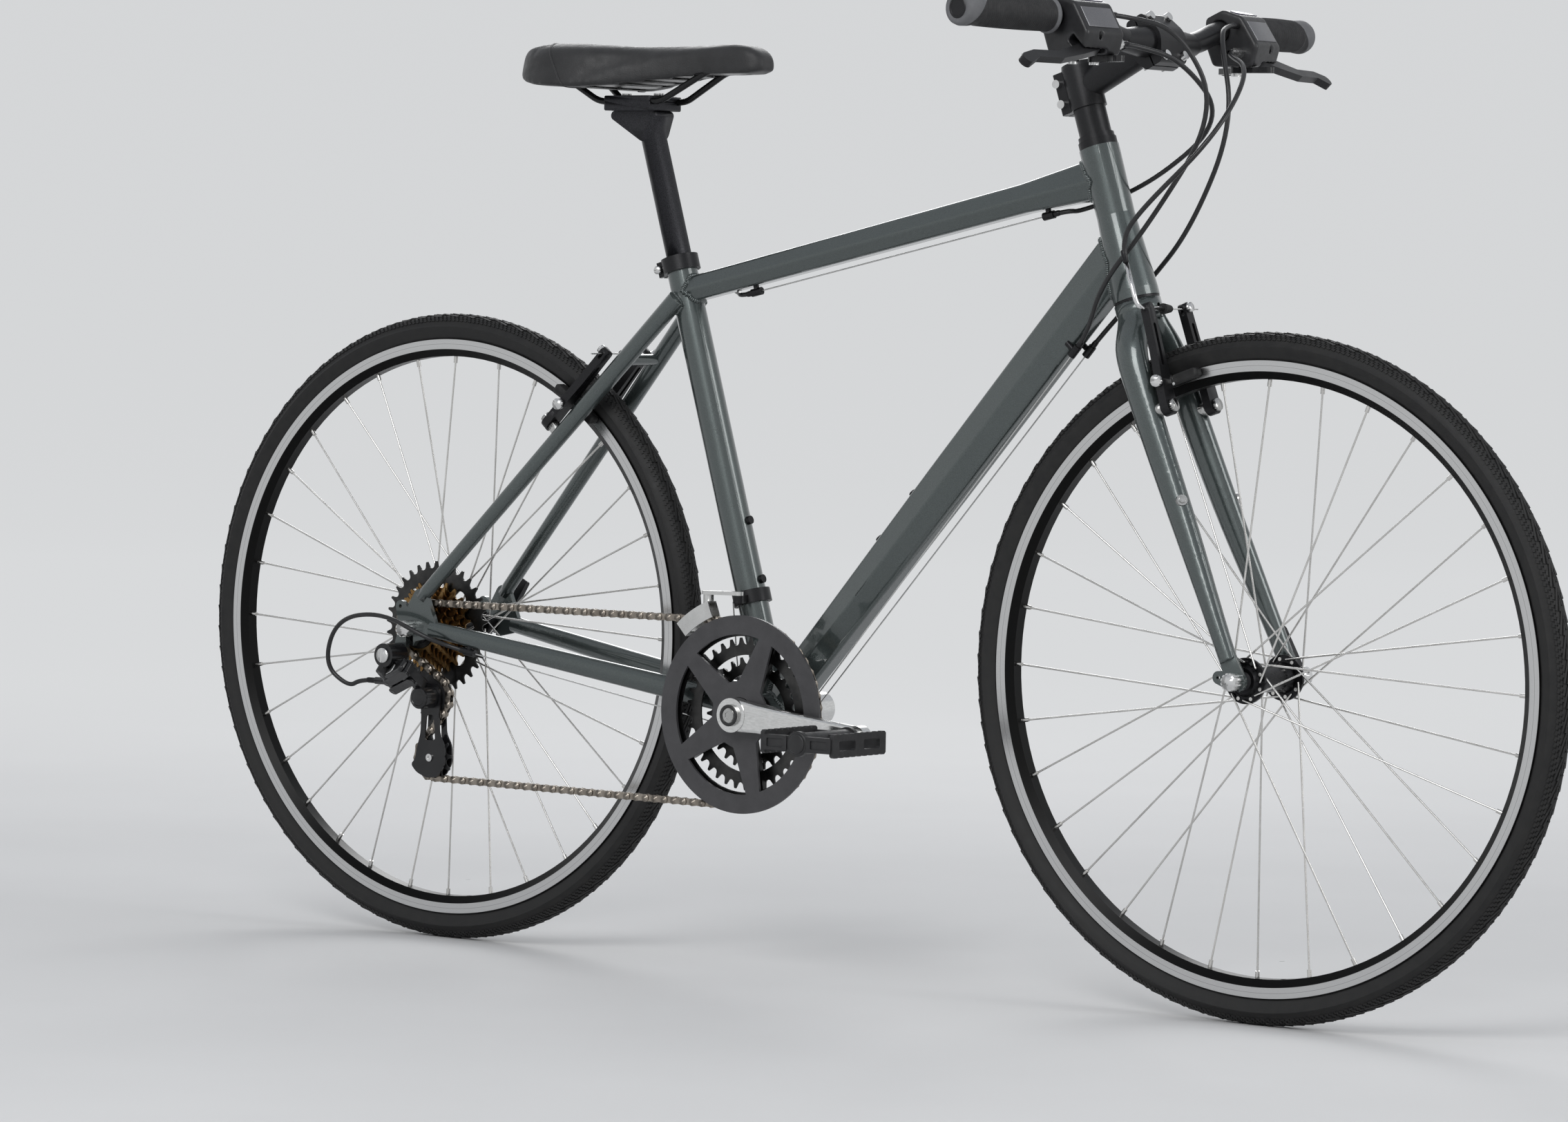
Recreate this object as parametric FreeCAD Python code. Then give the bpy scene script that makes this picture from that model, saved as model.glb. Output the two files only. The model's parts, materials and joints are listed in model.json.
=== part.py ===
import FreeCAD, Part
import math
import os

from FreeCAD import Vector

# A flat-bar hybrid bicycle in millimetres: +X forward, +Y to the rider's left, +Z up.
# The origin lies on the ground under the middle of the wheelbase, and the drive side is -Y.

os.makedirs("parts", exist_ok=True)

X = Vector(1, 0, 0)
Y = Vector(0, 1, 0)
Z = Vector(0, 0, 1)
FULL_TURN = 360.0
HALF_TURN = 180.0
QUARTER_TURN = 90.0

# Driving dimensions of the frame, wheels and gears.
WHEELBASE = 1053.0
WHEEL_RADIUS = 344.0
BOTTOM_BRACKET_DROP = 68.0
CHAINSTAY_LENGTH = 453.0
SEAT_ANGLE = 73.6
SEAT_TUBE_LENGTH = 498.0
HEAD_ANGLE = 72.0
HEAD_TUBE_LENGTH = 160.0
FORK_RAKE = 38.0
FORK_LENGTH = 405.0
FRONT_HUB_WIDTH = 100.0
REAR_HUB_WIDTH = 135.0
CRANK_LENGTH = 170.0
CRANK_ANGLE = -4.6
BAR_HALF_WIDTH = 313.0
SEAT_HEIGHT = 140.0
CHAIN_PITCH = 12.7
CHAIN_LINE = 57.0
RING_TEETH = (48, 38, 28)
RING_SPACING = 8.0
SPROCKET_TEETH = (14, 16, 18, 20, 22, 24, 34)
SPROCKET_SPACING = 5.0
PULLEY_TEETH = 11

# Clearances: a running shaft, a seated piece, and curved faces that pass one another.
SLIP = 0.05
SEAT_GAP = 0.1
CLEARANCE = 0.4


def direction(degrees):
    """Unit vector in the wheel plane, turned up from straight ahead."""
    return Vector(math.cos(math.radians(degrees)), 0, math.sin(math.radians(degrees)))


def blend(start, end, share):
    return start + (end - start) * share


def angle_of(vector):
    return math.degrees(math.atan2(vector.z, vector.x))


# Main points and axes.
REAR_AXLE = Vector(-WHEELBASE / 2, 0, WHEEL_RADIUS)
FRONT_AXLE = Vector(WHEELBASE / 2, 0, WHEEL_RADIUS)
STAY_RUN = math.sqrt(CHAINSTAY_LENGTH**2 - BOTTOM_BRACKET_DROP**2)
CRANK_CENTRE = REAR_AXLE + Vector(STAY_RUN, 0, -BOTTOM_BRACKET_DROP)
SEAT_AXIS = direction(HALF_TURN - SEAT_ANGLE)
SEAT_TOP = CRANK_CENTRE + SEAT_AXIS * SEAT_TUBE_LENGTH
STEER_AXIS = direction(HALF_TURN - HEAD_ANGLE)
STEER_FRONT = direction(QUARTER_TURN - HEAD_ANGLE)
FORK_FOOT = FRONT_AXLE - STEER_FRONT * FORK_RAKE
HEAD_BOTTOM = FORK_FOOT + STEER_AXIS * FORK_LENGTH
HEAD_TOP = HEAD_BOTTOM + STEER_AXIS * HEAD_TUBE_LENGTH
CRANK_DIRECTION = direction(CRANK_ANGLE)
CHAIN_PLANE = Vector(0, -CHAIN_LINE, 0)


def placed(shape, base, x_axis, y_axis):
    """Moves a shape drawn about the origin so that its X and Y run along the axes given."""
    turn = FreeCAD.Rotation(x_axis, y_axis, x_axis.cross(y_axis), "XYZ")
    moved = shape.copy()
    moved.Placement = FreeCAD.Placement(base, turn).multiply(moved.Placement)
    return moved


def square_to(axis):
    """A unit vector square to an axis, in the wheel plane where there is one."""
    side = axis.cross(Y)
    if side.Length < abs(axis.dot(Y)):
        side = X.cross(axis)
    return side.normalize()


def mirrored(shape):
    return shape.mirror(Vector(), Y)


def outline(steps):
    """Closed wire in the XY plane: a step is a corner, or a (middle, end) pair for an arc."""
    edges = []
    here = Vector(*steps[0], 0)
    for step in steps[1:] + steps[:1]:
        if isinstance(step[0], tuple):
            end = Vector(*step[1], 0)
            edges.append(Part.Arc(here, Vector(*step[0], 0), end).toShape())
        else:
            end = Vector(*step, 0)
            if end != here:
                edges.append(Part.LineSegment(here, end).toShape())
        here = end
    return Part.Wire(edges)


def rounded(corners, radii):
    """Closed wire in the XY plane through corners that are each rounded by a radius."""
    steps = []
    count = len(corners)
    for number, radius in enumerate(radii):
        corner = Vector(*corners[number], 0)
        back = (Vector(*corners[number - 1], 0) - corner).normalize()
        ahead = (Vector(*corners[(number + 1) % count], 0) - corner).normalize()
        half = back.getAngle(ahead) / 2
        middle = (back + ahead).normalize()
        start = corner + back * (radius / math.tan(half))
        end = corner + ahead * (radius / math.tan(half))
        crown = corner + middle * (radius / math.sin(half) - radius)
        steps += [(start.x, start.y), ((crown.x, crown.y), (end.x, end.y))]
    return outline(steps)


def linked(circles):
    """Closed wire in the XY plane round circles (x, y, radius) listed counter-clockwise."""
    count = len(circles)
    normals = []
    for number in range(count):
        ax, ay, ar = circles[number]
        bx, by, br = circles[(number + 1) % count]
        gap = math.hypot(bx - ax, by - ay)
        normals.append(math.atan2(by - ay, bx - ax) - math.acos((ar - br) / gap))
    edges = []
    for number in range(count):
        x, y, radius = circles[number]
        start, end = normals[number - 1], normals[number]
        sweep = (end - start) % (2 * math.pi)
        arc = [Vector(x + radius * math.cos(start + sweep * part / 2),
                      y + radius * math.sin(start + sweep * part / 2), 0) for part in range(3)]
        nx, ny, nr = circles[(number + 1) % count]
        reach = Vector(nx + nr * math.cos(end), ny + nr * math.sin(end), 0)
        edges.append(Part.Arc(*arc).toShape())
        edges.append(Part.LineSegment(arc[2], reach).toShape())
    return Part.Wire(edges)


def plate(wires, low, high):
    """Flat plate between two heights: the first wire is the rim, the others are holes."""
    face = Part.makeFace(wires, "Part::FaceMakerBullseye")
    face.translate(Z * low)
    return face.extrude(Z * (high - low))


def strip(circles, low, high):
    """Bent bar of even thickness: neighbouring circles are joined two by two."""
    solid = plate([linked(circles[:2])], low, high)
    for number in range(1, len(circles) - 1):
        solid = solid.fuse(plate([linked(circles[number:number + 2])], low, high))
    return solid.removeSplitter()


def upright(solid, base=Vector()):
    """Stands a plate drawn in the XY plane up in the wheel plane, its height towards -Y."""
    return placed(solid, base, X, Z)


def lathe(steps, base, axis):
    """Turned solid: steps are (radius, height) corners and arcs about an axis."""
    face = Part.Face(outline(steps))
    return placed(face.revolve(Vector(), Y, FULL_TURN), base, square_to(axis), axis)


def bush(base, axis, bore, radius, low, high):
    """Plain ring about an axis."""
    return lathe([(bore, low), (radius, low), (radius, high), (bore, high)], base, axis)


def rod(start, end, radius):
    return Part.makeCylinder(radius, (end - start).Length, start, end - start)


def taper(start, end, start_radius, end_radius):
    return Part.makeCone(start_radius, end_radius, (end - start).Length, start, end - start)


def oval(base, long_axis, short_axis, half_long, half_short):
    """Oval wire across a path."""
    wire = Part.Wire(Part.Ellipse(Vector(), half_long, half_short).toShape())
    return placed(wire, base, long_axis, short_axis)


BEND_SHARE = 0.45


def pipe(points, radius, name=None, bend_reach=math.inf):
    """Round bar along route points: straight runs joined by tangent arcs."""
    edges = []
    here = points[0]
    for number in range(1, len(points) - 1):
        back = points[number - 1] - points[number]
        ahead = points[number + 1] - points[number]
        reach = min(BEND_SHARE * back.Length, BEND_SHARE * ahead.Length, bend_reach)
        half = back.getAngle(ahead) / 2
        back.normalize()
        ahead.normalize()
        middle = (back + ahead).normalize()
        bend = reach * math.tan(half)
        crown = points[number] + middle * (bend / math.sin(half) - bend)
        start, end = points[number] + back * reach, points[number] + ahead * reach
        edges.append(Part.LineSegment(here, start).toShape())
        edges.append(Part.Arc(start, crown, end).toShape())
        here = end
    edges.append(Part.LineSegment(here, points[-1]).toShape())
    path = Part.Wire(edges)
    end_face = Part.Wire(Part.Circle(points[0], points[1] - points[0], radius).toShape())
    solid = path.makePipeShell([end_face], True, False)
    if name:
        share = solid.Volume / (math.pi * radius**2 * path.Length)
        print(name, "length", round(path.Length, 1), "volume share", round(share, 4))
    return solid


def knurled(radius, depth, count, low, high):
    """Round grip with even grooves along its sides, drawn up the Z axis."""
    grooves = [Part.makeCylinder(depth, high - low, Vector(radius * math.cos(turn), radius * math.sin(turn),
                                                           low))
               for turn in (2 * math.pi * number / count for number in range(count))]
    return Part.makeCylinder(radius, high - low, Z * low).cut(Part.makeCompound(grooves))


def save(name, *shapes):
    solids = [solid for shape in shapes for solid in shape.Solids]
    flawed = [number for number, solid in enumerate(solids) if not solid.isValid() or solid.Volume <= 0]
    print(name, "solids", len(solids), "flawed", flawed)
    Part.makeCompound(solids).exportStep("parts/" + name + ".step")


# Head tube: turned, waisted, with a flared lower end.
HEAD_TOP_RADIUS = 20.5
HEAD_WAIST_RADIUS = 19.5
HEAD_FLARE_RADIUS = 24.0
HEAD_BORE = 17.5
HEAD_COLLAR = 9.0
HEAD_WAIST_SHARE = 0.55


def head_form(bore):
    waist = HEAD_TUBE_LENGTH * HEAD_WAIST_SHARE
    top = HEAD_TUBE_LENGTH
    return lathe([(bore, 0), (HEAD_FLARE_RADIUS, 0), (HEAD_FLARE_RADIUS, HEAD_COLLAR),
                  (HEAD_WAIST_RADIUS, waist),
                  (HEAD_TOP_RADIUS, top - HEAD_COLLAR), (HEAD_TOP_RADIUS, top), (bore, top)],
                 HEAD_BOTTOM, STEER_AXIS)


# Seat tube and bottom bracket shell, welded at right angles.
SEAT_TUBE_RADIUS = 16.5
SEAT_POST_RADIUS = 13.6
SHELL_RADIUS = 20.5
SHELL_BORE = 17.0
SHELL_HALF = 34.0
SEAT_SLIT = 3.0
SEAT_SLIT_LENGTH = 34.0


def shell_form(bore):
    return bush(CRANK_CENTRE, Y, bore, SHELL_RADIUS, -SHELL_HALF, SHELL_HALF)


def seat_form():
    return rod(CRANK_CENTRE, SEAT_TOP, SEAT_TUBE_RADIUS)


def seat_tube():
    bore = rod(CRANK_CENTRE, SEAT_TOP + SEAT_AXIS, SEAT_POST_RADIUS + SLIP)
    slit = placed(Part.makeBox(2 * SEAT_TUBE_RADIUS, SEAT_SLIT, SEAT_SLIT_LENGTH,
                               Vector(0, -SEAT_SLIT / 2, 0)),
                  SEAT_TOP - SEAT_AXIS * SEAT_SLIT_LENGTH, SEAT_AXIS.cross(Y), Y)
    shell_core = rod(CRANK_CENTRE - Y * SHELL_HALF, CRANK_CENTRE + Y * SHELL_HALF, SHELL_BORE)
    return seat_form().fuse(shell_form(SHELL_BORE)).cut([bore, slit, shell_core])


# Top and down tubes: six-sided soft sections with a crease along each side.
TOP_TUBE_SEAT_DROP = 38.0
TOP_TUBE_HEAD_DROP = 31.0
TOP_TUBE_SHARES = (0.0, 0.82, 1.0)
TOP_TUBE_HALF_HEIGHTS = (13.5, 15.0, 21.0)
TOP_TUBE_HALF_WIDTHS = (16.0, 17.5, 19.0)
DOWN_TUBE_HEAD_RISE = 52.0
DOWN_TUBE_SHARES = (0.0, 0.5, 1.0)
DOWN_TUBE_HALF_HEIGHTS = (19.5, 23.5, 25.0)
DOWN_TUBE_HALF_WIDTHS = (22.0, 20.5, 19.0)
TUBE_WALL = 1.8
CREASE_SHARE = -0.12
TUBE_TOP_SHARE = 0.55
TUBE_CORNER_SHARE = 0.3
CREASE_RADIUS = 4.0

TOP_TUBE_REAR = SEAT_TOP - SEAT_AXIS * TOP_TUBE_SEAT_DROP
TOP_TUBE_FRONT = HEAD_TOP - STEER_AXIS * TOP_TUBE_HEAD_DROP
DOWN_TUBE_FRONT = HEAD_BOTTOM + STEER_AXIS * DOWN_TUBE_HEAD_RISE


def soft_section(width, height):
    corner = width * TUBE_CORNER_SHARE
    top = width * TUBE_TOP_SHARE
    crease = height * CREASE_SHARE
    corners = [(width, crease), (top, height), (-top, height), (-width, crease), (-top, -height),
               (top, -height)]
    return rounded(corners, [CREASE_RADIUS, corner, corner, CREASE_RADIUS, corner, corner])


def soft_tube(start, end, shares, widths, heights, wall):
    """Straight tube whose soft section changes along its run; with a wall it is hollow."""
    axis = (end - start).normalize()
    shells = []
    for inset in (0, wall):
        wires = [placed(soft_section(width - inset, height - inset), blend(start, end, share), Y,
                        axis.cross(Y))
                 for share, width, height in zip(shares, widths, heights)]
        shells.append(Part.makeLoft(wires, True, True))
    return shells[0].cut(shells[1]) if wall else shells[0]


def top_tube_form(wall):
    return soft_tube(TOP_TUBE_REAR, TOP_TUBE_FRONT, TOP_TUBE_SHARES, TOP_TUBE_HALF_WIDTHS,
                     TOP_TUBE_HALF_HEIGHTS, wall)


def down_tube_form(wall):
    return soft_tube(CRANK_CENTRE, DOWN_TUBE_FRONT, DOWN_TUBE_SHARES, DOWN_TUBE_HALF_WIDTHS,
                     DOWN_TUBE_HALF_HEIGHTS, wall)


# Bottle bolts, two on the seat tube and two on the down tube.
BOTTLE_SPACING = 64.0
SEAT_BOTTLE_RISE = 140.0
DOWN_BOTTLE_RISE = 228.0
BOTTLE_SHANK = 2.5
BOTTLE_HEAD = 4.5
BOTTLE_HEAD_HEIGHT = 4.0
BOTTLE_SHANK_LENGTH = 9.0

DOWN_AXIS = (DOWN_TUBE_FRONT - CRANK_CENTRE).normalize()
DOWN_LENGTH = (DOWN_TUBE_FRONT - CRANK_CENTRE).Length
DOWN_UP = DOWN_AXIS.cross(Y)
SEAT_FRONT = SEAT_AXIS.cross(Y) * -1


def down_depth(run):
    """Half height of the down tube at a distance from the crank."""
    share = run / DOWN_LENGTH
    low, middle, high = DOWN_TUBE_HALF_HEIGHTS
    half = DOWN_TUBE_SHARES[1]
    if share < half:
        return blend(low, middle, share / half)
    return blend(middle, high, (share - half) / (1 - half))


def bottle_places():
    """Base point on the tube surface and outward direction of each bottle bolt."""
    places = []
    for number in range(2):
        run = SEAT_BOTTLE_RISE + number * BOTTLE_SPACING
        places.append((CRANK_CENTRE + SEAT_AXIS * run - SEAT_FRONT * -SEAT_TUBE_RADIUS, SEAT_FRONT))
        run = DOWN_BOTTLE_RISE + number * BOTTLE_SPACING
        places.append((CRANK_CENTRE + DOWN_AXIS * run + DOWN_UP * down_depth(run), DOWN_UP))
    return places


def bottle_holes(radius):
    return [rod(base - out * BOTTLE_SHANK_LENGTH, base + out * BOTTLE_SHANK, radius) for base,
            out in bottle_places()]


def bottle_bolts():
    return [lathe([(0, -BOTTLE_SHANK_LENGTH), (BOTTLE_SHANK, -BOTTLE_SHANK_LENGTH),
                   (BOTTLE_SHANK, SEAT_GAP),
                   (BOTTLE_HEAD, SEAT_GAP), (BOTTLE_HEAD, BOTTLE_HEAD_HEIGHT), (0, BOTTLE_HEAD_HEIGHT)],
                   base, out)
            for base, out in bottle_places()]


# Rear triangle: tapered stays between the seat tube, the shell and the dropouts.
DROPOUT_THICKNESS = 6.0
SEAT_STAY_TOP_DROP = 46.0
SEAT_STAY_TOP_SIDE = 19.0
SEAT_STAY_TOP_RADIUS = 10.0
SEAT_STAY_END_RADIUS = 7.5
STAY_END_SIDE = 70.5
SEAT_STAY_END = Vector(14.0, 0, 34.0)
CHAIN_STAY_START = Vector(-14.0, 0, 5.0)
CHAIN_STAY_END = Vector(28.0, 0, 1.0)
CHAIN_STAY_SIDE = 23.0
CHAIN_STAY_START_HALVES = (13.0, 9.5)
CHAIN_STAY_END_HALVES = (9.0, 7.0)
BRIDGE_RADIUS = 6.0
SEAT_BRIDGE_SHARE = 0.2
CHAIN_BRIDGE_SHARE = 0.12
AXLE_EYE = 15.0
STAY_EYE = 10.0
REAR_AXLE_RADIUS = 5.0
EYELET_HOLE = 2.1
EYELET_EYE = 6.5
REAR_EYELET = Vector(-14.0, 0, 24.0)
HANGER_BACK = 14.5
HANGER_DROP = 29.0
HANGER_EYE = 10.0
HANGER_BOLT = 5.0
SLOT_REACH = 30.0
DROPOUT_INNER = REAR_HUB_WIDTH / 2
DROPOUT_OUTER = DROPOUT_INNER + DROPOUT_THICKNESS
HANGER = REAR_AXLE + Vector(-HANGER_BACK, 0, -HANGER_DROP)
SEAT_STAY_TOP = SEAT_TOP - SEAT_AXIS * SEAT_STAY_TOP_DROP


def seat_stay_line(side):
    """Top and end of a seat stay on its centre line; the right side is -1."""
    return (SEAT_STAY_TOP + Y * (SEAT_STAY_TOP_SIDE * side),
            REAR_AXLE + SEAT_STAY_END + Y * (STAY_END_SIDE * side))


def eye(point, radius):
    return (point.x, point.z, radius)


def right_dropout():
    seat_end = REAR_AXLE + SEAT_STAY_END
    chain_end = REAR_AXLE + CHAIN_STAY_END
    eyelet = REAR_AXLE + REAR_EYELET
    body = plate([linked([eye(REAR_AXLE, AXLE_EYE), eye(chain_end, STAY_EYE), eye(seat_end, STAY_EYE)])],
                 DROPOUT_INNER, DROPOUT_OUTER)
    ear = plate([linked([eye(REAR_AXLE, AXLE_EYE), eye(eyelet, EYELET_EYE)])], DROPOUT_INNER, DROPOUT_OUTER)
    slot = plate([linked([eye(REAR_AXLE, REAR_AXLE_RADIUS + SLIP),
                          eye(REAR_AXLE - Z * SLOT_REACH, REAR_AXLE_RADIUS + SLIP)])], 0, 2 * DROPOUT_OUTER)
    hole = upright(Part.makeCylinder(EYELET_HOLE, 2 * DROPOUT_OUTER, Vector(eyelet.x, eyelet.z, 0)))
    return upright(body.fuse(ear)).cut([upright(slot), hole]).removeSplitter()


def hanger_tab():
    tab = plate([linked([eye(REAR_AXLE, AXLE_EYE), eye(HANGER, HANGER_EYE)])], DROPOUT_INNER, DROPOUT_OUTER)
    slot = plate([linked([eye(REAR_AXLE, REAR_AXLE_RADIUS + SLIP),
                          eye(REAR_AXLE - Z * SLOT_REACH, REAR_AXLE_RADIUS + SLIP)])], 0, 2 * DROPOUT_OUTER)
    hole = Part.makeCylinder(HANGER_BOLT + SLIP, 2 * DROPOUT_OUTER, Vector(HANGER.x, HANGER.z, 0))
    return upright(tab.cut([slot, hole]))


def dropouts():
    right = right_dropout()
    stays = [form(side) for form in (seat_stay_form, chain_stay_form) for side in (-1, 1)]
    return [plate_solid.cut(stays) for plate_solid in (right.fuse(hanger_tab()).removeSplitter(),
                                                       mirrored(right))]


def seat_stay_form(side):
    return taper(*seat_stay_line(side), SEAT_STAY_TOP_RADIUS, SEAT_STAY_END_RADIUS)


def seat_stays():
    cores = [seat_stay_form(side) for side in (-1, 1)]
    right_top, right_end = seat_stay_line(-1)
    left_top, left_end = seat_stay_line(1)
    bridge = rod(blend(right_top, right_end, SEAT_BRIDGE_SHARE),
                 blend(left_top, left_end, SEAT_BRIDGE_SHARE),
                 BRIDGE_RADIUS)
    return [core.cut(seat_form()) for core in cores] + [bridge.cut(cores)]


def chain_stay_line(side):
    return (CRANK_CENTRE + CHAIN_STAY_START + Y * (CHAIN_STAY_SIDE * side),
            REAR_AXLE + CHAIN_STAY_END + Y * (STAY_END_SIDE * side))


def chain_stay_form(side):
    start, end = chain_stay_line(side)
    axis = (end - start).normalize()
    short = axis.cross(Z).normalize()
    wires = [oval(point, short.cross(axis), short, *halves)
             for point, halves in ((start, CHAIN_STAY_START_HALVES), (end, CHAIN_STAY_END_HALVES))]
    return Part.makeLoft(wires, True, True)


def chain_stays():
    forms = [chain_stay_form(side) for side in (-1, 1)]
    ends = [blend(*chain_stay_line(side), CHAIN_BRIDGE_SHARE) for side in (-1, 1)]
    shell = shell_form(0)
    bridge = rod(*ends, BRIDGE_RADIUS).cut(forms + [shell])
    return [form.cut([shell, seat_form()]) for form in forms] + [bridge]


# Headset and bottom bracket bearings, seated in the frame.
STEERER_RADIUS = 14.3
CUP_SKIRT = 12.0
LOWER_CUP_HEIGHT = 2.6
UPPER_CUP_HEIGHT = 8.0
CUP_RIM = 0.8
SPINDLE_RADIUS = 8.0
CUP_FLANGE = 2.0


def bearing_cups():
    bore = STEERER_RADIUS + SLIP
    skirt = HEAD_BORE - SLIP
    lower = HEAD_FLARE_RADIUS - CUP_RIM
    upper = HEAD_TOP_RADIUS - CUP_RIM
    lower_cup = lathe([(bore, -LOWER_CUP_HEIGHT), (lower, -LOWER_CUP_HEIGHT), (lower, 0), (skirt, 0),
                       (skirt, CUP_SKIRT), (bore, CUP_SKIRT)], HEAD_BOTTOM, STEER_AXIS)
    upper_cup = lathe([(bore, -CUP_SKIRT), (skirt, -CUP_SKIRT), (skirt, 0), (upper, 0),
                       (upper, UPPER_CUP_HEIGHT),
                       (bore, UPPER_CUP_HEIGHT)], HEAD_TOP, STEER_AXIS)
    inner, outer = SPINDLE_RADIUS + SLIP, SHELL_BORE - SLIP
    end = SHELL_HALF + CUP_FLANGE
    cartridge = lathe([(inner, -end), (SHELL_RADIUS, -end), (SHELL_RADIUS, -SHELL_HALF),
                       (outer, -SHELL_HALF),
                       (outer, SHELL_HALF), (SHELL_RADIUS, SHELL_HALF), (SHELL_RADIUS, end), (inner, end)],
                      CRANK_CENTRE, Y)
    return [lower_cup, upper_cup, cartridge]


# Seat collar: a split band with a cross bolt behind.
COLLAR_RADIUS = 20.0
COLLAR_HEIGHT = 16.0
COLLAR_LUG_REACH = 27.0
COLLAR_LUG_HALF = 6.5
COLLAR_BOLT = 2.5
COLLAR_BOLT_HEAD = 4.2
COLLAR_LUG_SIDE = 8.0


def seat_collar():
    base = SEAT_TOP - SEAT_AXIS * COLLAR_HEIGHT
    rear = SEAT_FRONT * -1
    band = bush(base, SEAT_AXIS, 0, COLLAR_RADIUS, 0, COLLAR_HEIGHT)
    lug = placed(plate([rounded([(0, -COLLAR_LUG_SIDE), (COLLAR_LUG_REACH, -COLLAR_LUG_SIDE),
                                 (COLLAR_LUG_REACH, COLLAR_LUG_SIDE), (0, COLLAR_LUG_SIDE)],
                                [COLLAR_BOLT] * 4)], 0, COLLAR_HEIGHT), base, rear,
                                rear.cross(SEAT_AXIS) * -1)
    slit = placed(Part.makeBox(2 * COLLAR_LUG_REACH, SEAT_SLIT, 2 * COLLAR_HEIGHT,
                               Vector(0, -SEAT_SLIT / 2, 0)),
                  base - SEAT_AXIS, rear, rear.cross(SEAT_AXIS) * -1)
    bore = rod(base - SEAT_AXIS, SEAT_TOP + SEAT_AXIS, SEAT_TUBE_RADIUS + SLIP)
    eye_point = base + SEAT_AXIS * (COLLAR_HEIGHT / 2) + rear * (COLLAR_LUG_REACH - COLLAR_LUG_HALF / 2)
    near, far = eye_point - Y * COLLAR_LUG_SIDE, eye_point + Y * COLLAR_LUG_SIDE
    hole = rod(near - Y, far + Y, COLLAR_BOLT + SLIP)
    bolt = rod(near - Y * SEAT_GAP, far, COLLAR_BOLT).fuse(
        rod(near - Y * (COLLAR_BOLT_HEAD + SEAT_GAP), near - Y * SEAT_GAP, COLLAR_BOLT_HEAD))
    return [band.fuse(lug).cut([bore, slit, hole]), bolt]


# Fork: crown and steerer in one, two curved and raked blades, and flat fork ends.
CROWN_GAP = 3.0
CROWN_HEIGHT = 20.0
CROWN_FOOT_RADIUS = 21.5
STEERER_BORE = 11.5
STEERER_RISE = 84.0
CROWN_HOLE = 3.0
BLADE_HEIGHTS = (388.0, 374.0, 355.0, 326.0, 250.0, 120.0, 22.0)
BLADE_RAKE_SHARES = (0.0, 0.0, 0.01, 0.06, 0.24, 0.62, 0.92)
BLADE_SIDES = (15.0, 21.0, 32.0, 38.5, 42.0, 47.0, 52.5)
BLADE_DEPTHS = (17.0, 17.5, 17.5, 16.5, 15.0, 12.0, 9.5)
BLADE_WIDTHS = (10.5, 12.0, 13.0, 12.5, 11.5, 10.0, 8.5)
FORK_END_THICKNESS = 5.0
FORK_END_EYE = 11.0
FORK_END_TOP_EYE = 9.0
FORK_END_RISE = 24.0
FORK_EYELET = Vector(-20.0, 0, 3.0)
FRONT_AXLE_RADIUS = 4.5
FORK_INNER = FRONT_HUB_WIDTH / 2
FORK_OUTER = FORK_INNER + FORK_END_THICKNESS
CROWN_TOP = FORK_LENGTH - CROWN_GAP


def fork_point(height, ahead, side):
    return FORK_FOOT + STEER_AXIS * height + STEER_FRONT * ahead + Y * side


def crown():
    foot = CROWN_TOP - CROWN_HEIGHT
    top = FORK_LENGTH + HEAD_TUBE_LENGTH + STEERER_RISE
    solid = lathe([(STEERER_BORE, foot), (CROWN_FOOT_RADIUS, foot),
                   (HEAD_FLARE_RADIUS, foot + CROWN_HEIGHT / 2),
                   (HEAD_FLARE_RADIUS, CROWN_TOP), (STEERER_RADIUS, CROWN_TOP), (STEERER_RADIUS, top),
                   (STEERER_BORE, top)], FORK_FOOT, STEER_AXIS)
    middle = CROWN_TOP - CROWN_HEIGHT / 2
    hole = rod(fork_point(middle, -2 * HEAD_FLARE_RADIUS, 0), fork_point(middle, 2 * HEAD_FLARE_RADIUS, 0),
               CROWN_HOLE)
    return solid.cut(hole)


def right_fork_end():
    root = fork_point(FORK_END_RISE, FORK_RAKE * BLADE_RAKE_SHARES[-1], 0)
    eyelet = FRONT_AXLE + FORK_EYELET
    body = plate([linked([eye(FRONT_AXLE, FORK_END_EYE), eye(root, FORK_END_TOP_EYE)])], FORK_INNER,
                 FORK_OUTER)
    ear = plate([linked([eye(FRONT_AXLE, FORK_END_EYE), eye(eyelet, EYELET_EYE)])], FORK_INNER, FORK_OUTER)
    slot = plate([linked([eye(FRONT_AXLE, FRONT_AXLE_RADIUS + SLIP),
                          eye(FRONT_AXLE - Z * SLOT_REACH, FRONT_AXLE_RADIUS + SLIP)])], 0, 2 * FORK_OUTER)
    hole = Part.makeCylinder(EYELET_HOLE, 2 * FORK_OUTER, Vector(eyelet.x, eyelet.z, 0))
    return upright(body.fuse(ear).cut([slot, hole]).removeSplitter())


def right_blade():
    points = [fork_point(height, FORK_RAKE * share, -side)
              for height, share, side in zip(BLADE_HEIGHTS, BLADE_RAKE_SHARES, BLADE_SIDES)]
    wires = []
    for number, point in enumerate(points):
        before, after = points[max(number - 1, 0)], points[min(number + 1, len(points) - 1)]
        run = (before - after).normalize()
        across = run.cross(STEER_FRONT).normalize()
        wires.append(oval(point, across.cross(run), across, BLADE_DEPTHS[number], BLADE_WIDTHS[number]))
    return Part.makeLoft(wires, True, False)


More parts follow.
